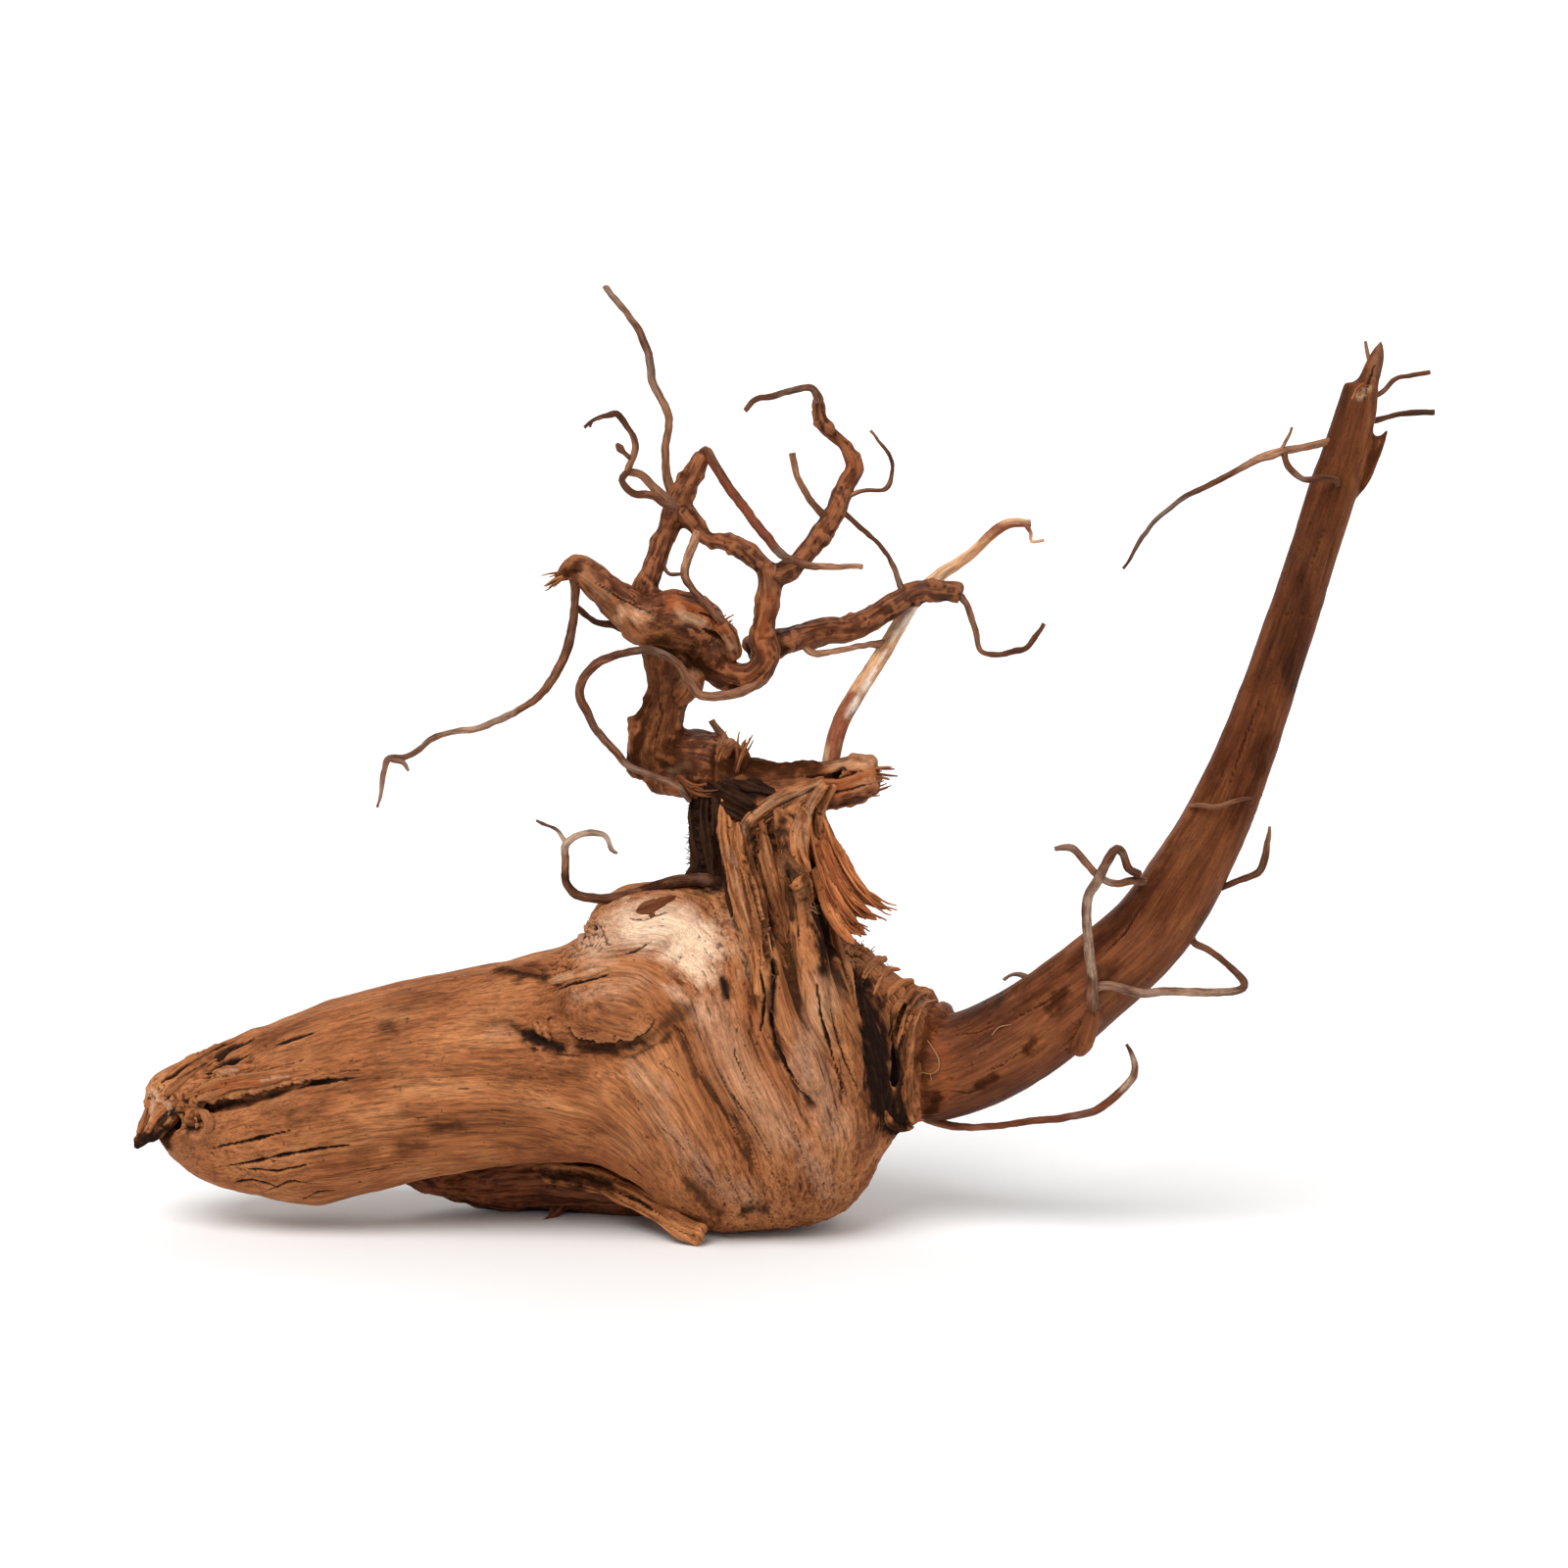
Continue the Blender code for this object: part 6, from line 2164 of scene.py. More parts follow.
@dataclass
class Crown(LimbPiece):
    """The crossbar, the bent trunk and the crooked limbs above the neck."""

    name: str = "crown"
    finish: Finish = Finish.CROWN
    triangles: int = 160000
    limbs: dict[str, Rows] = field(default_factory=lambda: {**CROWN_LIMBS, **CROWN_STUBS})
    cuts: dict[str, Rows] = field(default_factory=lambda: CROWN_CUTS)
    ridges: float = 0.36
    waves: float = 1.0
    knobs: float = 1.8
    cracks: list[Crack] = field(default_factory=lambda: [
        Crack([(-8, 140), (-6, 132), (-8, 124)], 0.4, 0.6),
        Crack([(30, 116), (38, 116.4), (46, 117.4)], 1.2, 2.0),
        Crack([(34, 111), (42, 112.6), (48, 114.4)], 0.5, 0.7),
        Crack([(-24, 166), (-16, 161), (-8, 157)], 0.4, 0.7),
        Crack([(3, 154), (7, 152.4), (10, 149)], 0.7, 1.4),
        Crack([(2, 158), (6, 157), (9, 154.6)], 0.4, 0.8),
    ])
    ledges: list[Ledge] = field(default_factory=lambda: [
        Ledge([(8, 124), (7, 118), (7.6, 113), (4, 109)], 1.4, 2.4),
        Ledge([(-14, 150), (-4, 149), (4, 146)], 1.2, 1.8),
    ])
    stains: list[Stain] = field(default_factory=lambda: [
        *marks(Mark.DARK, Side.ALL, [
            ([(-14, 118), (-6, 124), (0, 118)], 7.0, 0.6),
            ([(-8, 146), (-7, 134), (-10, 120)], 7.0, 0.55),
            ([(-10, 136), (-11, 128), (-13, 121)], 3.4, 0.8),
            ([(8, 118), (20, 118), (32, 118)], 6.0, 0.75), ([(-34, 166), (-28, 169)], 2.4, 0.8),
            ([(-4, 150), (-6, 134), (-8, 122)], 9.0, 0.55),
        ]),
        *marks(Mark.PALE, Side.FRONT, [
            ([(0, 140), (2, 142)], 2.4, 0.5), ([(-1, 157), (4, 155)], 2.8, 0.65),
            ([(9, 151), (12, 149)], 2.0, 0.6), ([(-4, 117), (0, 119)], 2.4, 0.4),
            ([(38, 118), (48, 120)], 3.4, 0.7), ([(44, 113), (50, 116)], 3.0, 0.5),
            ([(-16, 157.4), (-11, 156)], 3.2, 0.9), ([(-26, 168), (-20, 162)], 3.4, 0.4),
            ([(9, 124), (13, 125)], 2.6, 0.6),
        ]),
        *marks(Mark.DARK, Side.FRONT, [
            ([(-8, 151), (-3, 149), (3, 147)], 2.0, 0.6), ([(-8, 150), (0, 148), (6, 144)], 4.4, 0.8),
        ]),
        *marks(Mark.RED, Side.FRONT, [
            ([(10, 143), (15, 141), (20, 144)], 3.0, 0.5), ([(-2, 113), (3, 112), (7, 114)], 3.4, 0.9),
            ([(-4, 161), (4, 158), (9, 154)], 3.6, 0.8),
            ([(20.8, 146), (19.5, 153), (21.2, 162)], 3.0, 0.6),
        ]),
        *marks(Mark.RED, Side.ALL, [
            ([(36, 114), (48, 116)], 6.0, 0.8), ([(38, 184), (42, 192), (41, 199)], 3.0, 0.5),
        ]),
    ])


@dataclass
class NeckStrips(LimbPiece):
    """Torn strips that hang down the neck."""

    name: str = "neck_strips"
    finish: Finish = Finish.SPLINTER
    triangles: int = 40000
    limbs: dict[str, Rows] = field(default_factory=lambda: NECK_STRIPS)
    flatness: float = 0.55
    voxel: float = 0.4
    smooth: int = 2
    ridges: float = 0.6
    stains: list[Stain] = field(default_factory=lambda: [
        *marks(Mark.PALE, Side.FRONT, [
            ([(35, 115), (18, 107), (15, 102)], 3.0, 0.45),
            ([(33, 112), (31, 104), (35, 94)], 2.4, 0.4), ([(11, 98), (13, 88), (16, 78)], 1.8, 0.35),
            ([(28, 106), (28.6, 98)], 2.2, 0.4), ([(20, 100), (22.6, 88)], 1.8, 0.3),
            ([(-34, 63.4), (-19, 67.6)], 3.0, 0.6),
        ]),
        *marks(Mark.DARK, Side.FRONT, [
            # Painted shade in the gaps between the strips and at the neck's hollow.
            ([(15.4, 104), (17.4, 92), (20.6, 78)], 1.6, 0.7),
            ([(24, 104), (25.4, 92), (27, 80)], 1.6, 0.8), ([(31, 90), (33, 84), (35, 76)], 2.4, 0.7),
        ]),
        *marks(Mark.RED, Side.FRONT, [
            ([(28, 104), (28, 94)], 4.0, 0.4),
        ]),
    ])


@dataclass
class BarkFlakes(LimbPiece):
    """Loose flakes of bark on the brow."""

    name: str = "bark_flakes"
    finish: Finish = Finish.HORN
    triangles: int = 10000
    limbs: dict[str, Rows] = field(default_factory=lambda: BARK_FLAKES)
    flatness: float = 0.4
    voxel: float = 0.35
    smooth: int = 1
    waves: float = 0.3


@dataclass
class BlackStrips(LimbPiece):
    """Blackened bark on the neck's left side and top."""

    name: str = "black_strips"
    finish: Finish = Finish.CHARRED
    limbs: dict[str, Rows] = field(default_factory=lambda: BLACK_STRIPS)
    flatness: float = 0.6
    voxel: float = 0.4
    smooth: int = 2
    ridges: float = 0.8
    waves: float = 0.6


@dataclass
class RedShreds(LimbPiece):
    """Red shreds torn off the neck's right side."""

    name: str = "red_shreds"
    finish: Finish = Finish.RED
    triangles: int = 30000
    limbs: dict[str, Rows] = field(default_factory=lambda: RED_SHREDS)
    flatness: float = 0.7
    voxel: float = 0.45
    smooth: int = 2
    ridges: float = 0.7
    waves: float = 0.3


@dataclass
class MuzzleStrips(LimbPiece):
    """Torn edges round the muzzle's opening."""

    name: str = "muzzle_strips"
    triangles: int = 24000
    limbs: dict[str, Rows] = field(default_factory=lambda: MUZZLE_STRIPS)
    flatness: float = 0.5
    voxel: float = 0.4
    smooth: int = 2
    ridges: float = 0.6
    waves: float = 0.6
    stains: list[Stain] = field(default_factory=lambda: [
        *marks(Mark.PALE, Side.FRONT, [
            ([(-119, 40.4), (-115, 40.8)], 1.4, 0.5), ([(-108, 38.4), (-102, 39.4)], 1.4, 0.35),
        ]),
        *marks(Mark.RED, Side.FRONT, [
            ([(-118, 37), (-100, 37.6)], 3.0, 0.6),
        ]),
        *marks(Mark.DARK, Side.FRONT, [
            ([(-135, 36), (-126, 42), (-118, 46)], 2.6, 0.8),
        ]),
    ])


@dataclass
class MuzzleSpur(LimbPiece):
    """The broken spur at the muzzle's tip."""

    name: str = "muzzle_spur"
    triangles: int = 8000
    limbs: dict[str, Rows] = field(default_factory=lambda: SPUR)
    flatness: float = 0.7
    voxel: float = 0.35
    smooth: int = 1
    ridges: float = 0.9
    waves: float = 0.9
    pitted: float = 0.8
    stains: list[Stain] = field(default_factory=lambda: [
        *marks(Mark.DARK, Side.ALL, [
            ([(-133, 26), (-141, 20)], 3.4, 1.0),
        ]),
        *marks(Mark.DARK, Side.FRONT, [
            ([(-131, 31), (-134, 27)], 2.0, 0.8),
        ]),
        *marks(Mark.PALE, Side.FRONT, [
            ([(-136, 33), (-136.6, 29)], 1.6, 0.5),
        ]),
    ])


@dataclass
class CollarLayers(LimbPiece):
    """Peeling layers round the horn's root."""

    name: str = "collar_layers"
    finish: Finish = Finish.SPLINTER
    triangles: int = 30000
    limbs: dict[str, Rows] = field(default_factory=lambda: COLLAR_LAYERS)
    flatness: float = 0.8
    voxel: float = 0.4
    smooth: int = 1
    ridges: float = 0.5
    waves: float = 0.4
    stains: list[Stain] = field(default_factory=lambda: [
        *marks(Mark.DARK, Side.FRONT, [
            ([(51, 58), (52, 42), (53, 28), (57, 25)], 4.0, 0.9), ([(57, 56), (57, 30)], 1.6, 0.5),
        ]),
        *marks(Mark.PALE, Side.FRONT, [
            ([(60, 58), (63, 59.6)], 1.6, 0.4),
        ]),
    ])


@dataclass
class Slab(LimbPiece):
    """The dark slab under the muzzle."""

    name: str = "slab"
    finish: Finish = Finish.SLAB
    triangles: int = 60000
    limbs: dict[str, Rows] = field(default_factory=lambda: SLAB_LIMBS)
    voxel: float = 0.6
    ridges: float = 0.9
    waves: float = 0.8
    stains: list[Stain] = field(default_factory=lambda: [
        *marks(Mark.DARK, Side.FRONT, [
            # Painted shadow of the gap between the slab and the stump, along the slab's top edge.
            ([(-60, 22), (-40, 23), (-20, 19), (-4, 12)], 4.0, 0.9),
        ]),
        *marks(Mark.RED, Side.FRONT, [
            ([(-62, 12), (-40, 10)], 4.0, 0.4),
        ]),
    ])


@dataclass
class HeelSplinter(LimbPiece):
    """The long splinter that comes out in front of the heel."""

    name: str = "heel_splinter"
    finish: Finish = Finish.SPLINTER
    limbs: dict[str, Rows] = field(default_factory=lambda: SPLINTER_LIMBS)
    voxel: float = 0.45
    smooth: int = 3
    flatness: float = 0.7
    ridges: float = 0.9
    waves: float = 0.6
    cracks: list[Crack] = field(default_factory=lambda: [Crack([(-20, 11), (-12, 7.6), (-5, 3)], 0.5, 0.9)])
    stains: list[Stain] = field(default_factory=lambda: [
        *marks(Mark.DARK, Side.FRONT, [
            ([(-40, 15), (-20, 11.6)], 3.0, 0.8),
        ]),
        *marks(Mark.DARK, Side.ALL, [
            ([(-24, 12), (-10, 7), (2, 0)], 5.0, 0.3),
        ]),
    ])


@dataclass
class Horn(LimbPiece):
    """The horn-shaped branch with its rolled lip."""

    name: str = "horn"
    finish: Finish = Finish.HORN
    triangles: int = 120000
    limbs: dict[str, Rows] = field(default_factory=lambda: {"horn": HORN_LIMB, **HORN_STUBS})
    voxel: float = 0.55
    collars: list[Row] = field(default_factory=lambda: [COLLARS["horn_lip"]])
    ridges: float = 0.2
    waves: float = 0.15
    pitted: float = 0.2
    cracks: list[Crack] = field(default_factory=lambda: [
        Crack([(68, 50), (74, 50.6), (80, 53)], 0.3, 0.35),
        Crack([(74, 40), (80, 42), (86, 46), (90, 50)], 0.35, 0.45),
        Crack([(84, 54), (92, 58.6), (98, 63)], 0.4, 0.5),
        Crack([(66, 36), (72, 35), (78, 37.6)], 0.3, 0.35),
        Crack([(106, 70), (112, 76), (118, 86)], 0.4, 0.5),
        Crack([(138, 112), (142, 124), (147, 138)], 0.4, 0.5),
        Crack([(159, 168), (161, 174), (163, 180)], 0.25, 0.3),
        Crack([(173, 212), (174.4, 217), (176, 222)], 0.4, 0.7),
    ])
    stains: list[Stain] = field(default_factory=lambda: [
        *marks(Mark.DARK, Side.ALL, [
            ([(120, 82), (136, 106), (152, 148), (172, 212)], 12.0, 0.42),
            ([(172, 190), (176, 198), (179, 204)], 2.6, 0.6),
            ([(62, 30), (60, 44), (62, 56)], 3.0, 0.6),
        ]),
        *marks(Mark.DARK, Side.FRONT, [
            ([(104, 72), (116, 84), (128, 104), (138, 122)], 4.0, 0.5),
            ([(84, 56), (96, 66), (106, 76)], 4.0, 0.45),
            ([(140, 104), (146, 118), (148, 126)], 2.6, 0.6), ([(93, 57), (96, 60)], 3.0, 0.8),
            ([(87, 46), (89, 48)], 2.6, 0.8), ([(75, 37), (79, 39)], 2.4, 0.8),
            ([(62, 31), (64, 34)], 2.6, 0.9), ([(97, 66), (101, 70)], 2.4, 0.6),
            ([(106, 62), (110, 68)], 3.0, 0.5), ([(142, 116), (150, 140)], 4.0, 0.5),
            ([(84, 62), (92, 68), (98, 74)], 3.0, 0.5),
        ]),
        *marks(Mark.PALE, Side.FRONT, [
            ([(171.6, 213), (174, 215)], 1.8, 0.8), ([(175, 218), (177, 226)], 2.0, 0.35),
            ([(74, 46), (82, 48)], 5.0, 0.14),
        ]),
        *marks(Mark.RED, Side.FRONT, [
            ([(62, 52), (66, 44), (66, 34)], 4.0, 0.5),
        ]),
    ])


@dataclass(frozen=True)
class Fuzz:
    """Short stray hairs along a drawn line.

    Args:
        line: The line.
        reach: How far from it they start, in millimetres.
        count: How many.
        length: Length of the longest.
        radius: A hair's radius.
        heading: Direction in which they point, and how far they turn from it, in radians.
        lift: How far their tips stand off the wood beside their length.
    """

    line: Line
    reach: float
    count: int
    length: float
    radius: float
    heading: tuple[float, float] = (0.0, math.pi)
    lift: float = 0.4

    def rows(self, probe: Probe, seed: int) -> dict[str, Rows]:
        """The hairs as rows of x, z, y and radius.

        Args:
            probe: The skin that they grow from.
            seed: Fixes their places.

        Returns:
            One list of rows for each hair.
        """
        rng = np.random.default_rng(seed)
        ends = np.array(self.line, float)
        found = {}
        for number in range(self.count):
            place = rng.uniform(0, len(ends) - 1)
            first = min(int(place), len(ends) - 2)
            x, z = ends[first] + (ends[first + 1] - ends[first]) * (place - first)
            away = rng.uniform(-1, 1, 2) * self.reach
            x, z = x + away[0], z + away[1]
            angle = self.heading[0] + rng.uniform(-1, 1) * self.heading[1]
            turn = rng.uniform(-0.5, 0.5)
            length = self.length * rng.uniform(0.4, 1.0)
            if probe.depth(x, z) is None:
                continue
            rows = []
            for share in (0.0, 0.25, 0.5, 0.75, 1.0):
                rows.append((x, z, length * self.lift * share - 0.3, self.radius * (1.0 - 0.6 * share)))
                x += math.cos(angle) * length / 4
                z += math.sin(angle) * length / 4
                angle += turn
            found[f"hair_{number}"] = probe.rows(rows)
        return found


def guide_object(name: str, limbs: list[Limb], loose_from: float) -> bpy.types.Object:
    """The limbs' middle lines as a mesh of edges for Geometry Nodes to follow.

    Args:
        name: The object's name.
        limbs: The limbs.
        loose_from: Share of a limb's length from which its fibres come loose.

    Returns:
        An object with the attributes thick and loose on its points.
    """
    points, edges, thick, loose = [], [], [], []
    for limb in limbs:
        first = len(points)
        points += limb.middles.tolist()
        edges += [(first + i, first + i + 1) for i in range(len(limb.middles) - 1)]
        thick += limb.radii.tolist()
        share = limb.run / limb.run[-1]
        loose += eased((share - loose_from) / max(1.0 - loose_from, 0.01)).tolist()
    mesh = bpy.data.meshes.new(name)
    mesh.from_pydata(points, edges, [])
    store(mesh, "thick", "FLOAT", np.array(thick))
    store(mesh, "loose", "FLOAT", np.array(loose))
    obj = bpy.data.objects.new(name, mesh)
    bpy.context.scene.collection.objects.link(obj)
    return obj


class NodeMaker:
    """Builds a Geometry Nodes tree and runs it on an object."""

    def __init__(self, name: str) -> None:
        """Starts an empty tree with its geometry sockets.

        Args:
            name: The tree's name.
        """
        self.tree = bpy.data.node_groups.new(name, "GeometryNodeTree")
        self.sketch = NodeSketch(self.tree)
        self.sockets: dict[str, str] = {}
        self.tree.interface.new_socket(name="Geometry", in_out="INPUT", socket_type="NodeSocketGeometry")
        self.tree.interface.new_socket(name="Geometry", in_out="OUTPUT", socket_type="NodeSocketGeometry")

    def inputs(self, kinds: dict[str, str]) -> Any:
        """Names the tree's inputs.

        Args:
            kinds: The kind of socket for each name.

        Returns:
            The sockets of the group's input node.
        """
        for name, kind in kinds.items():
            kind = "NodeSocket" + kind
            socket = self.tree.interface.new_socket(name=name, in_out="INPUT", socket_type=kind)
            self.sockets[name] = socket.identifier
        return self.sketch.add("NodeGroupInput").outputs

    def finish(self, geometry: Any, material: Any) -> None:
        """Ends the tree: real geometry with its material.

        Args:
            geometry: The geometry.
            material: The material.
        """
        real = self.sketch.add("GeometryNodeRealizeInstances", None, {0: geometry}).outputs[0]
        dressed = self.sketch.add("GeometryNodeSetMaterial", None, {0: real, "Material": material}).outputs[0]
        self.sketch.add("NodeGroupOutput", None, {0: dressed})

    def run(self, obj: bpy.types.Object, values: dict[str, Any]) -> bpy.types.Object:
        """Runs the tree on an object, and keeps the result as its plain mesh.

        Args:
            obj: The object.
            values: The inputs' values by name.

        Returns:
            The object.
        """
        grow = obj.modifiers.new("grow", "NODES")
        grow.node_group = self.tree
        for name, value in values.items():
            grow[self.sockets[name]] = value
        return applied(obj)


class FibreSweep(NodeMaker):
    """Sweeps round closed fibres along guide lines, several to a line.

    LINE_SHIFT moves each fibre's grain pattern, in metres, and INPUTS names the tree's inputs.
    """

    LINE_SHIFT = 0.0173

    INPUTS = {
        "Copies": "Int", "Spread": "Float", "Wander": "Float", "Wander Period": "Float", "Thinning": "Float",
        "Shortest": "Float", "Bark": "Float", "Sides": "Int", "Seed": "Int", "Material": "Material",
    }

    def __init__(self) -> None:
        """Builds the tree."""
        super().__init__("fibre_sweep")
        sketch, given = self.sketch, self.inputs(self.INPUTS)
        curve = sketch.add("GeometryNodeMeshToCurve", None, {0: given["Geometry"]}).outputs[0]
        copied = {0: curve, "Amount": given["Copies"]}
        many = sketch.add("GeometryNodeDuplicateElements", {"domain": "SPLINE"}, copied).outputs[0]
        number = sketch.add("GeometryNodeInputIndex").outputs[0]
        line = self._captured(many, "INT", "Line", number, "CURVE")
        length = self._random(line[1], given["Seed"], given["Shortest"], 1.0)
        trimmed = sketch.add("GeometryNodeTrimCurve", None, {0: line[0]})
        sketch.feed(trimmed.inputs["End"], length)
        strayed = {0: trimmed.outputs[0], "Offset": self._offset(given, line[1], self._attribute("loose"))}
        moved = sketch.add("GeometryNodeSetPosition", None, strayed).outputs[0]
        run = sketch.add("GeometryNodeSplineParameter")
        held = self._captured(moved, "FLOAT", "Run", run.outputs["Length"], "POINT")
        sized = {"Resolution": given["Sides"], "Radius": 1.0}
        circle = sketch.add("GeometryNodeCurvePrimitiveCircle", None, sized).outputs[0]
        place = sketch.add("GeometryNodeInputPosition").outputs[0]
        ring = self._captured(circle, "VECTOR", "Ring", place, "POINT")
        swept = sketch.add("GeometryNodeCurveToMesh", None, {
            "Curve": held[0], "Profile Curve": ring[0], "Fill Caps": True,
            "Scale": self._thickness(given, line[1], run.outputs["Factor"]),
        }).outputs[0]
        barked = sketch.add("GeometryNodeSetPosition", None, {0: swept, "Offset": self._bark(given)})
        spread = sketch.scaled(ring[1], (MM, MM, MM))
        parts = sketch.add("ShaderNodeSeparateXYZ", None, {0: spread}).outputs
        shift = sketch.math("MULTIPLY", line[1], self.LINE_SHIFT)
        grain = sketch.add("ShaderNodeCombineXYZ", None, {
            0: held[1], 1: sketch.math("ADD", parts[0], shift), 2: sketch.math("ADD", parts[1], shift),
        }).outputs[0]
        stored = sketch.add("GeometryNodeStoreNamedAttribute", {"data_type": "FLOAT_VECTOR"}, {
            0: barked.outputs[0], "Name": "grain", "Value": grain,
        })
        self.finish(stored.outputs[0], given["Material"])

    def _attribute(self, name: str) -> Any:
        """One number of the guide's points."""
        kind = "GeometryNodeInputNamedAttribute"
        return self.sketch.add(kind, {"data_type": "FLOAT"}, {"Name": name}).outputs[0]

    def _captured(self, geometry: Any, kind: str, name: str, value: Any, domain: str) -> tuple[Any, Any]:
        """Geometry that remembers a value, and the value as it is remembered.

        Args:
            geometry: The geometry.
            kind: The value's type.
            name: Its name.
            value: The value.
            domain: What it is held for.

        Returns:
            The geometry and the value.
        """
        node = self.sketch.add("GeometryNodeCaptureAttribute", {"domain": domain})
        node.capture_items.new(kind, name)
        self.sketch.feed(node.inputs[0], geometry)
        self.sketch.feed(node.inputs[1], value)
        return node.outputs[0], node.outputs[1]

    def _random(self, line: Any, seed: Any, low: Any, high: Any) -> Any:
        """A random number for each fibre.

        Args:
            line: The fibre's number.
            seed: The seed.
            low: The lowest.
            high: The highest.

        Returns:
            The number.
        """
        node = self.sketch.add("FunctionNodeRandomValue", {"data_type": "FLOAT"})
        for socket, value in ((2, low), (3, high), (7, line), (8, seed)):
            self.sketch.feed(node.inputs[socket], value)
        return node.outputs[1]

    def _offset(self, given: Any, line: Any, loose: Any) -> Any:
        """How far each point of a fibre strays from its guide.

        Args:
            given: The tree's inputs.
            line: The fibre's number.
            loose: How loose it is there.

        Returns:
            The offset.
        """
        sketch, vector = self.sketch, "ShaderNodeVectorMath"
        bounds = {0: (-1, -1, -1), 1: (1, 1, 1)}
        node = sketch.add("FunctionNodeRandomValue", {"data_type": "FLOAT_VECTOR"}, bounds)
        sketch.feed(node.inputs["ID"], line)
        sketch.feed(node.inputs["Seed"], given["Seed"])
        apart = sketch.add(vector, {"operation": "SCALE"}, {0: node.outputs[0]})
        spread = sketch.math("MULTIPLY", given["Spread"], sketch.math("ADD", loose, 0.25))
        sketch.feed(apart.inputs["Scale"], spread)
        noise = sketch.add("ShaderNodeTexNoise", {"noise_dimensions": "4D"}, {"Detail": 1.0})
        sketch.feed(noise.inputs["Scale"], sketch.math("DIVIDE", 1.0, given["Wander Period"]))
        sketch.feed(noise.inputs["W"], sketch.math("MULTIPLY", line, 3.71))
        middle = {0: noise.outputs["Color"], 1: (0.5, 0.5, 0.5)}
        centred = sketch.add(vector, {"operation": "SUBTRACT"}, middle).outputs[0]
        stray = sketch.add(vector, {"operation": "SCALE"}, {0: centred})
        wander = sketch.math("MULTIPLY", given["Wander"], sketch.math("ADD", loose, 0.3))
        sketch.feed(stray.inputs["Scale"], wander)
        return sketch.add(vector, {"operation": "ADD"}, {0: apart.outputs[0], 1: stray.outputs[0]}).outputs[0]

    def _thickness(self, given: Any, line: Any, factor: Any) -> Any:
        """A fibre's radius: the guide's, thinner for some, and thinner at the tip.

        Args:
            given: The tree's inputs.
            line: The fibre's number.
            factor: Share of its length.

        Returns:
            The radius.
        """
        sketch = self.sketch
        thin = sketch.math("MULTIPLY", given["Thinning"], sketch.math("POWER", factor, 2.0))
        taper = sketch.math("SUBTRACT", 1.0, thin)
        uneven = self._random(line, given["Seed"], sketch.math("SUBTRACT", 1.0, given["Thinning"]), 1.0)
        share = sketch.math("MULTIPLY", taper, sketch.math("MAXIMUM", uneven, 0.45))
        return sketch.math("MULTIPLY", self._attribute("thick"), share)

    def _bark(self, given: Any) -> Any:
        """The bark's small swellings, along the normals.

        Args:
            given: The tree's inputs.

        Returns:
            The offset.
        """
        sketch = self.sketch
        noise = sketch.noise(sketch.add("GeometryNodeInputPosition").outputs[0], 2.4, 3.0)
        height = sketch.math("MULTIPLY", sketch.math("SUBTRACT", noise, 0.5), given["Bark"])
        node = sketch.add("ShaderNodeVectorMath", {"operation": "SCALE"})
        sketch.feed(node.inputs[0], sketch.add("GeometryNodeInputNormal").outputs[0])
        sketch.feed(node.inputs["Scale"], height)
        return node.outputs[0]


@dataclass
class FibrePiece(Piece):
    """Rootlets, torn fibres or hairs, swept along their guide lines.

    Args:
        lines: The guide lines.
        copies: Fibres to a line.
        spread: How far they lie apart, in millimetres.
        wander: How far each one sways.
        wander_period: Length of a sway.
        thinning: How much thinner some fibres and all tips are.
        shortest: Length of the shortest beside its line.
        bark: Height of the swellings of the bark.
        sides: Points round a fibre.
        loose_from: Share of a line from which its fibres come loose.
        step: Distance between a fibre's sections.
        stains: Its stains.
    """

    lines: dict[str, Rows] = field(default_factory=dict)
    copies: int = 1
    spread: float = 0.0
    wander: float = 0.0
    wander_period: float = 6.0
    thinning: float = 0.0
    shortest: float = 1.0
    bark: float = 0.0
    sides: int = 8
    loose_from: float = 0.0
    step: float = 0.9
    stains: list[Stain] = field(default_factory=list)

    def built(self, sweep: FibreSweep) -> bpy.types.Object:
        """Sweeps and dresses the fibres.

        Args:
            sweep: The node tree that does it.

        Returns:
            The finished object.
        """
        limbs = [Limb(rows, self.step) for rows in self.lines.values()]
        obj = guide_object(self.name, limbs, self.loose_from)
        sweep.run(obj, {
            "Copies": self.copies, "Spread": self.spread * MM, "Wander": self.wander * MM,
            "Wander Period": self.wander_period * MM, "Thinning": self.thinning, "Shortest": self.shortest,
            "Bark": self.bark * MM, "Sides": self.sides, "Seed": SEED,
            "Material": self.finish.value.material(),
        })
        surface = Surface(obj)
        for stain in self.stains:
            surface.stain(stain)
        surface.settled(self.box, worn=False)
        return self.dressed(obj)


@dataclass
class Rootlets(FibrePiece):
    """Rootlets of the crown and the brow."""

    name: str = "rootlets"
    finish: Finish = Finish.ROOTLET
    lines: dict[str, Rows] = field(default_factory=lambda: ROOTLETS)
    bark: float = 0.7
    wander: float = 1.6
    sides: int = 10
    stains: list[Stain] = field(default_factory=lambda: [
        *marks(Mark.DARK, Side.ALL, [
            ([(-30, 90), (-10, 88), (12, 89)], 4.0, 0.8),
        ]),
        *marks(Mark.PALE, Side.ALL, [
            ([(-30, 100), (-19, 100)], 5.0, 0.8), ([(-78, 112), (-60, 126), (-44, 132)], 4.0, 0.5),
            ([(-20, 240), (-9, 220)], 3.0, 0.3),
        ]),
        *marks(Mark.RED, Side.ALL, [
            ([(4, 196), (22, 176)], 3.0, 0.9),
        ]),
    ])


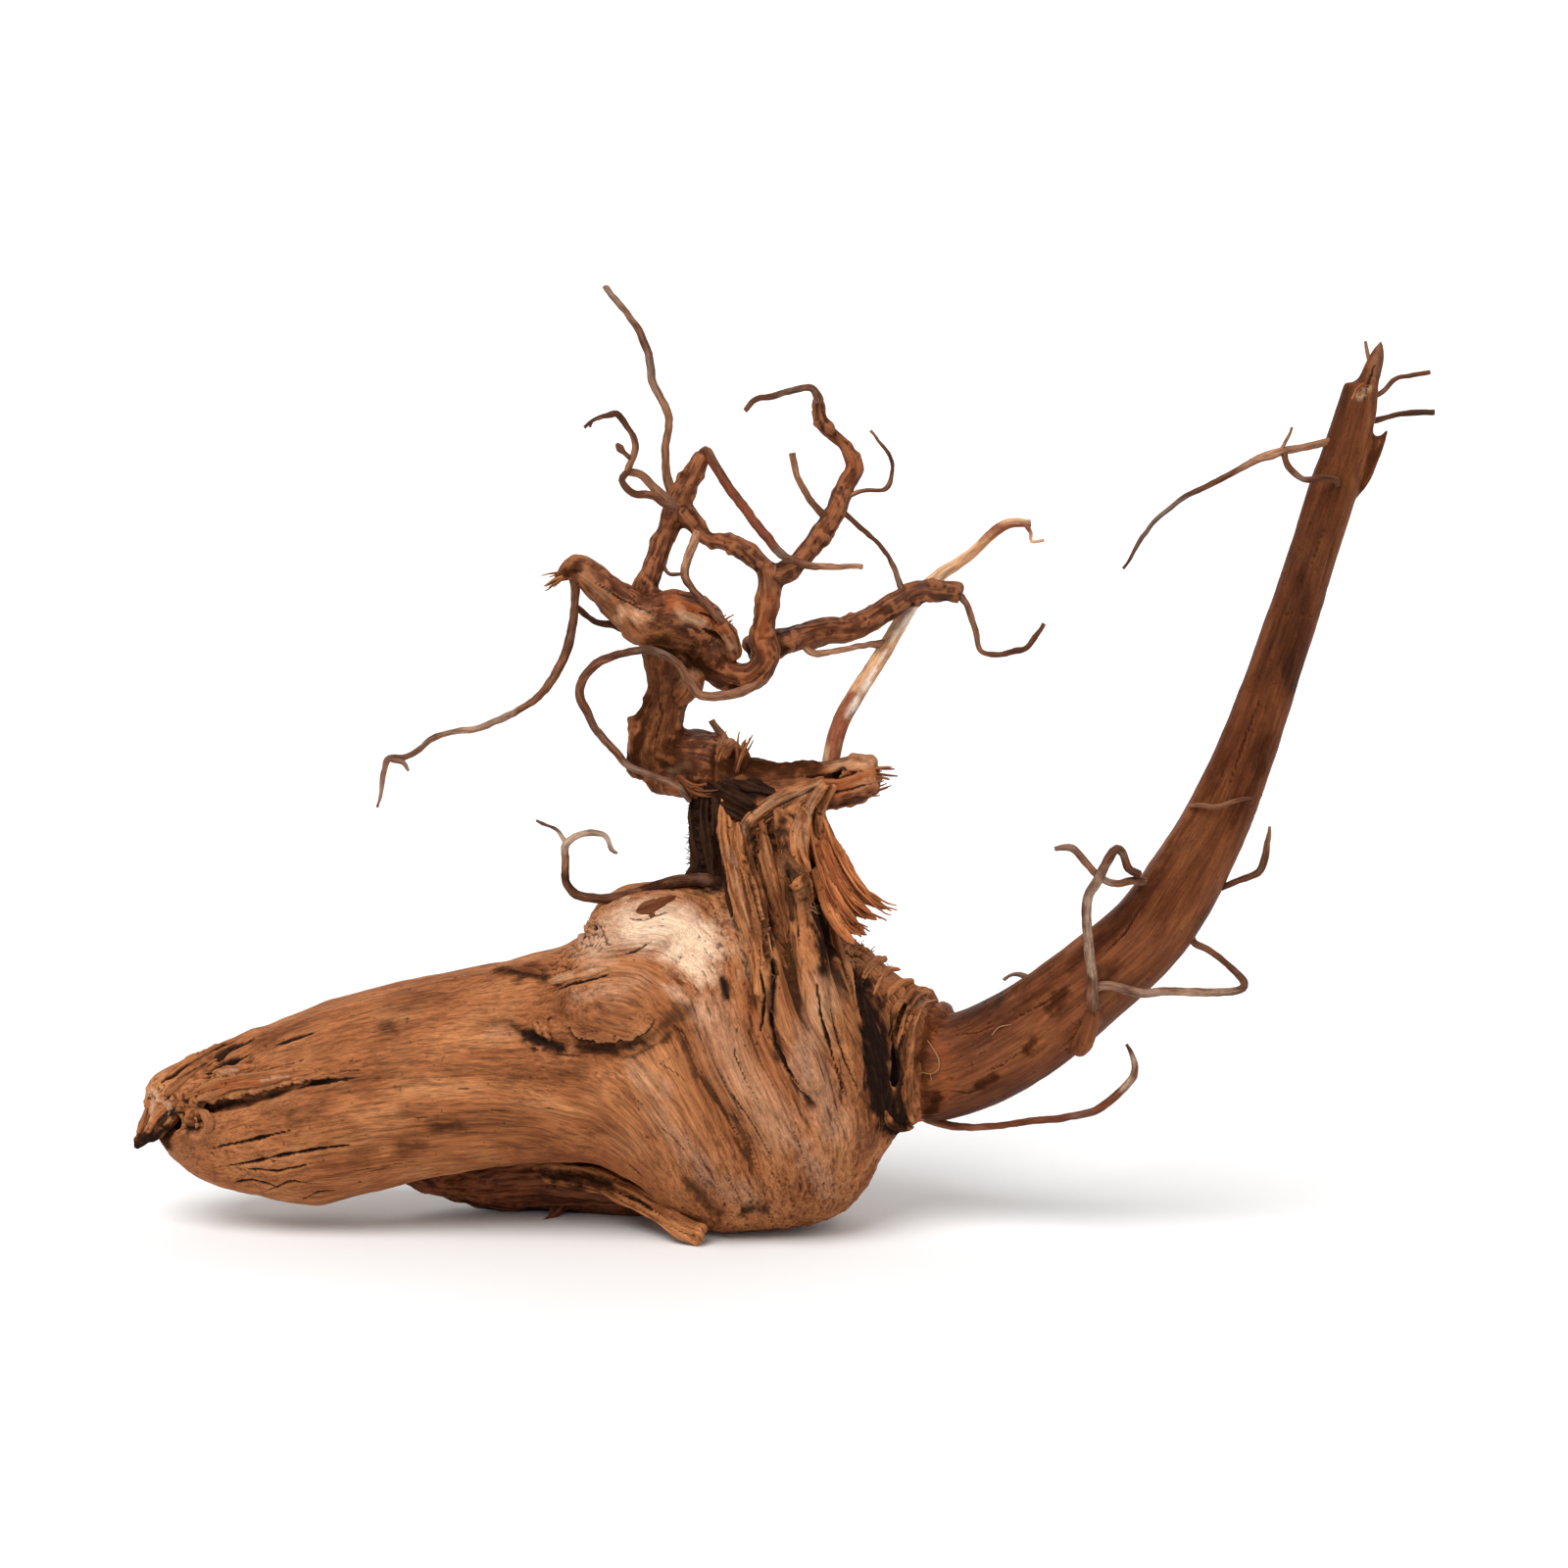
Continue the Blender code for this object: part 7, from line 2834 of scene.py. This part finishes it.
@dataclass
class HornRootlets(FibrePiece):
    """Rootlets of the horn."""

    name: str = "horn_rootlets"
    finish: Finish = Finish.ROOTLET
    lines: dict[str, Rows] = field(default_factory=lambda: HORN_ROOTLETS)
    bark: float = 0.5
    wander: float = 1.2
    wander_period: float = 7.0
    sides: int = 10
    stains: list[Stain] = field(default_factory=lambda: [
        *marks(Mark.PALE, Side.ALL, [
            ([(111, 96), (103, 84), (103, 66)], 3.0, 0.6), ([(116, 60), (140, 61)], 3.0, 0.5),
            ([(112, 37), (114, 44)], 3.0, 0.6),
        ]),
        *marks(Mark.RED, Side.ALL, [
            ([(66, 27), (88, 28), (107, 32)], 4.0, 0.6),
        ]),
    ])


@dataclass
class FrayedEnds(FibrePiece):
    """Loose fibres at the broken ends."""

    name: str = "frayed_ends"
    finish: Finish = Finish.SPLINTER
    lines: dict[str, Rows] = field(default_factory=lambda: FRAYED_ENDS)
    copies: int = 14
    spread: float = 1.7
    wander: float = 1.2
    thinning: float = 0.5
    shortest: float = 0.6
    sides: int = 5
    loose_from: float = 0.2
    step: float = 1.2
    bark: float = 0.2


@dataclass
class RedFibres(FibrePiece):
    """Loose fibres of the red shreds."""

    name: str = "red_fibres"
    finish: Finish = Finish.RED
    lines: dict[str, Rows] = field(default_factory=lambda: RED_FIBRES)
    copies: int = 10
    spread: float = 1.2
    wander: float = 2.0
    thinning: float = 0.4
    shortest: float = 0.75
    sides: int = 5
    loose_from: float = 0.3
    step: float = 1.2
    bark: float = 0.2


@dataclass
class PeeledStick(FibrePiece):
    """The bare pale stick behind the crown."""

    name: str = "peeled_stick"
    finish: Finish = Finish.PEELED
    lines: dict[str, Rows] = field(default_factory=lambda: PEELED_TWIGS)
    bark: float = 0.4
    wander: float = 1.0
    sides: int = 12
    stains: list[Stain] = field(default_factory=lambda: [
        *marks(Mark.RED, Side.ALL, [
            ([(36, 108), (37.4, 121), (39, 129), (43, 136)], 4.4, 1.2),
            ([(50, 148), (57, 158)], 1.6, 0.9), ([(78, 178), (90, 180)], 4.0, 1.0),
        ]),
        *marks(Mark.PALE, Side.ALL, [
            ([(41, 131), (52, 150), (64, 166)], 1.2, 0.9),
        ]),
    ])


@dataclass
class FuzzPiece(FibrePiece):
    """Fine stray hairs that grow on the skin.

    Args:
        seed: Fixes the hairs' places.
        patches: The lines that they grow along.
    """

    sides: int = 4
    seed: int = SEED
    patches: list[Fuzz] = field(default_factory=list)

    def built_on(self, probe: Probe, sweep: FibreSweep) -> bpy.types.Object:
        """Grows the hairs on the skin, and sweeps them.

        Args:
            probe: The skin.
            sweep: The node tree that sweeps them.

        Returns:
            The finished object.
        """
        for number, patch in enumerate(self.patches):
            hairs = patch.rows(probe, self.seed + number)
            self.lines.update({f"{number}_{key}": rows for key, rows in hairs.items()})
        return self.built(sweep)


@dataclass
class BlackFuzz(FuzzPiece):
    """Dark hairs on the blackened bark."""

    name: str = "black_fuzz"
    finish: Finish = Finish.CHARRED
    patches: list[Fuzz] = field(default_factory=lambda: [
        Fuzz([(1.6, 112), (1.8, 104), (2.4, 96), (-1, 91)], 1.2, 60, 2.6, 0.16, (math.pi, 1.2)),
        Fuzz([(4, 108), (6, 98), (9, 88)], 3.4, 40, 2.6, 0.14, (-1.7, 0.7), 0.2),
        Fuzz([(34, 82), (38, 76), (42, 72)], 1.6, 20, 2.6, 0.12, (-0.8, 0.9), 0.2),
    ])


@dataclass
class PaleFuzz(FuzzPiece):
    """Pale hairs on the brow, the neck and the collar."""

    name: str = "pale_fuzz"
    finish: Finish = Finish.HAIR
    seed: int = SEED + 10
    patches: list[Fuzz] = field(default_factory=lambda: [
        Fuzz([(40, 66), (44, 52), (46, 36)], 3.0, 26, 2.6, 0.11, (-1.5, 0.6), 0.05),
        Fuzz([(-4, 74), (4, 66), (8, 60)], 3.0, 40, 2.4, 0.09, (0.0, 3.1), 0.15),
        Fuzz([(32, 82.4), (34, 80.4)], 0.8, 7, 3.0, 0.2, (1.7, 0.6), 0.5),
    ])


@dataclass
class SplinterFuzz(FuzzPiece):
    """Splinters of the collar, the brow, the muzzle and the neck."""

    name: str = "splinter_fuzz"
    finish: Finish = Finish.SPLINTER
    seed: int = SEED + 20
    patches: list[Fuzz] = field(default_factory=lambda: [
        Fuzz([(42, 74), (48, 70), (54, 66)], 1.2, 16, 1.8, 0.18, (0.6, 0.8)),
        Fuzz([(-28, 70), (-25, 76), (-21, 81)], 1.2, 30, 2.2, 0.22, (2.6, 0.7), 0.2),
        Fuzz([(-128, 34), (-122, 36), (-116, 40)], 2.4, 24, 2.4, 0.2, (0.3, 0.8), 0.2),
        Fuzz([(16, 104), (24, 96), (30, 90)], 6.0, 40, 4.4, 0.2, (-1.5, 0.4), 0.12),
    ])


@dataclass
class StrayThreads(FibrePiece):
    """A few curled hairs on the horn."""

    name: str = "stray_threads"
    finish: Finish = Finish.HAIR
    sides: int = 6
    step: float = 0.6


@dataclass
class Studio:
    """Plain pale floor, soft light and the photograph's camera.

    Args:
        floor_radius: Radius of the level floor, in metres.
        bend: Radius of its rise.
        wall: Height of its rim.
        sides: Points round the floor.
        steps: Steps of its rise.
        lens: The camera's focal length, in millimetres.
    """

    floor_radius: float = 1.2
    bend: float = 1.1
    wall: float = 0.1
    sides: int = 64
    steps: int = 12
    lens: float = 81.0

    def built(self) -> None:
        """Makes the floor, the lights, the sky and the camera."""
        self._floor()
        self._light("key", (-0.4, -0.8, 1.25), 0.7, 2.7)
        self._light("fill", (1.0, -1.0, 0.5), 1.2, 0.9)
        self._light("back", (0.3, 1.0, 0.9), 0.9, 0.7)
        self._sky()
        self._camera()

    def _floor(self) -> None:
        """A pale bowl: level where the wood stands, and curved up far from it."""
        profile = [(0.02, 0.0), (0.6, 0.0), (self.floor_radius, 0.0)]
        for step in range(1, self.steps + 1):
            angle = math.pi / 2 * step / self.steps
            reach = self.floor_radius + self.bend * math.sin(angle)
            profile.append((reach, self.bend * (1 - math.cos(angle))))
        profile.append((self.floor_radius + self.bend, self.bend + self.wall))
        angle = 2 * np.pi * np.arange(self.sides) / self.sides
        rings = np.array([
            np.stack([radius * np.cos(angle), radius * np.sin(angle), np.full(self.sides, height)], axis=-1)
            for radius, height in profile
        ])
        shell = ringed(rings)
        low = shell.points[:, 2] < 0.01
        shell.faces = [face[::-1] for face in shell.faces if len(face) == 4 or low[face[2]]]
        obj = shell.as_object("studio_floor")
        material = bpy.data.materials.new("pale_floor")
        material.use_nodes = True
        surface = material.node_tree.nodes["Principled BSDF"]
        surface.inputs["Base Color"].default_value = (0.84, 0.84, 0.835, 1.0)
        surface.inputs["Roughness"].default_value = 0.9
        surface.inputs["Specular IOR Level"].default_value = 0.1
        obj.data.materials.append(material)
        obj.data.shade_smooth()
        obj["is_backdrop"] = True

    def _light(self, name: str, place: Row, spread: float, power: float) -> None:
        """One far soft light that shines from a place towards the wood.

        Args:
            name: Its name.
            place: Where it shines from.
            spread: Its angle, in radians.
            power: Its strength.
        """
        data = bpy.data.lights.new(name, "SUN")
        data.angle = spread
        data.energy = power
        obj = bpy.data.objects.new(name, data)
        obj.location = place
        obj.rotation_euler = (-Vector(place)).to_track_quat("-Z", "Y").to_euler()
        bpy.context.scene.collection.objects.link(obj)

    def _sky(self) -> None:
        """An even white sky, and colours shown as they are."""
        world = bpy.data.worlds.new("sky")
        world.use_nodes = True
        background = world.node_tree.nodes["Background"]
        background.inputs["Color"].default_value = (1.0, 1.0, 1.0, 1.0)
        background.inputs["Strength"].default_value = 0.4
        bpy.context.scene.world = world
        bpy.context.scene.view_settings.view_transform = "Standard"

    def _camera(self) -> None:
        """The camera, where the eye of the front view is."""
        data = bpy.data.cameras.new("camera")
        data.sensor_width = 36.0
        data.lens = self.lens
        data.clip_end = 20.0
        obj = bpy.data.objects.new("camera", data)
        obj.location = (VIEW.eye - np.array(VIEW.heel)) * MM
        obj.rotation_euler = (math.pi / 2 - VIEW.rise, 0.0, 0.0)
        bpy.context.scene.collection.objects.link(obj)
        bpy.context.scene.camera = obj


def main() -> None:
    """Builds the wood piece by piece, then the studio."""
    logging.basicConfig(level=logging.INFO, format="%(message)s")
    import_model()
    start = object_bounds()
    box = (np.array(start[0]), np.array(start[1]))
    stump = Stump(box).built()
    crown = Crown(box).built()
    probe = Probe(stump, crown)
    NeckStrips(box).built_on(probe)
    BarkFlakes(box).built_on(probe)
    BlackStrips(box).built_on(probe)
    RedShreds(box).built()
    MuzzleStrips(box).built_on(probe)
    MuzzleSpur(box).built()
    CollarLayers(box).built_on(probe)
    Slab(box).built()
    HeelSplinter(box).built()
    horn = Horn(box).built()
    sweep = FibreSweep()
    for fibres in (Rootlets, HornRootlets, FrayedEnds, RedFibres):
        fibres(box).built(sweep)
    for hairs in (BlackFuzz, PaleFuzz, SplinterFuzz):
        hairs(box).built_on(probe, sweep)
    StrayThreads(box, lines=laid_on(Probe(horn), HORN_THREADS)).built(sweep)
    PeeledStick(box).built(sweep)
    Studio().built()


if __name__ == "__main__":
    main()
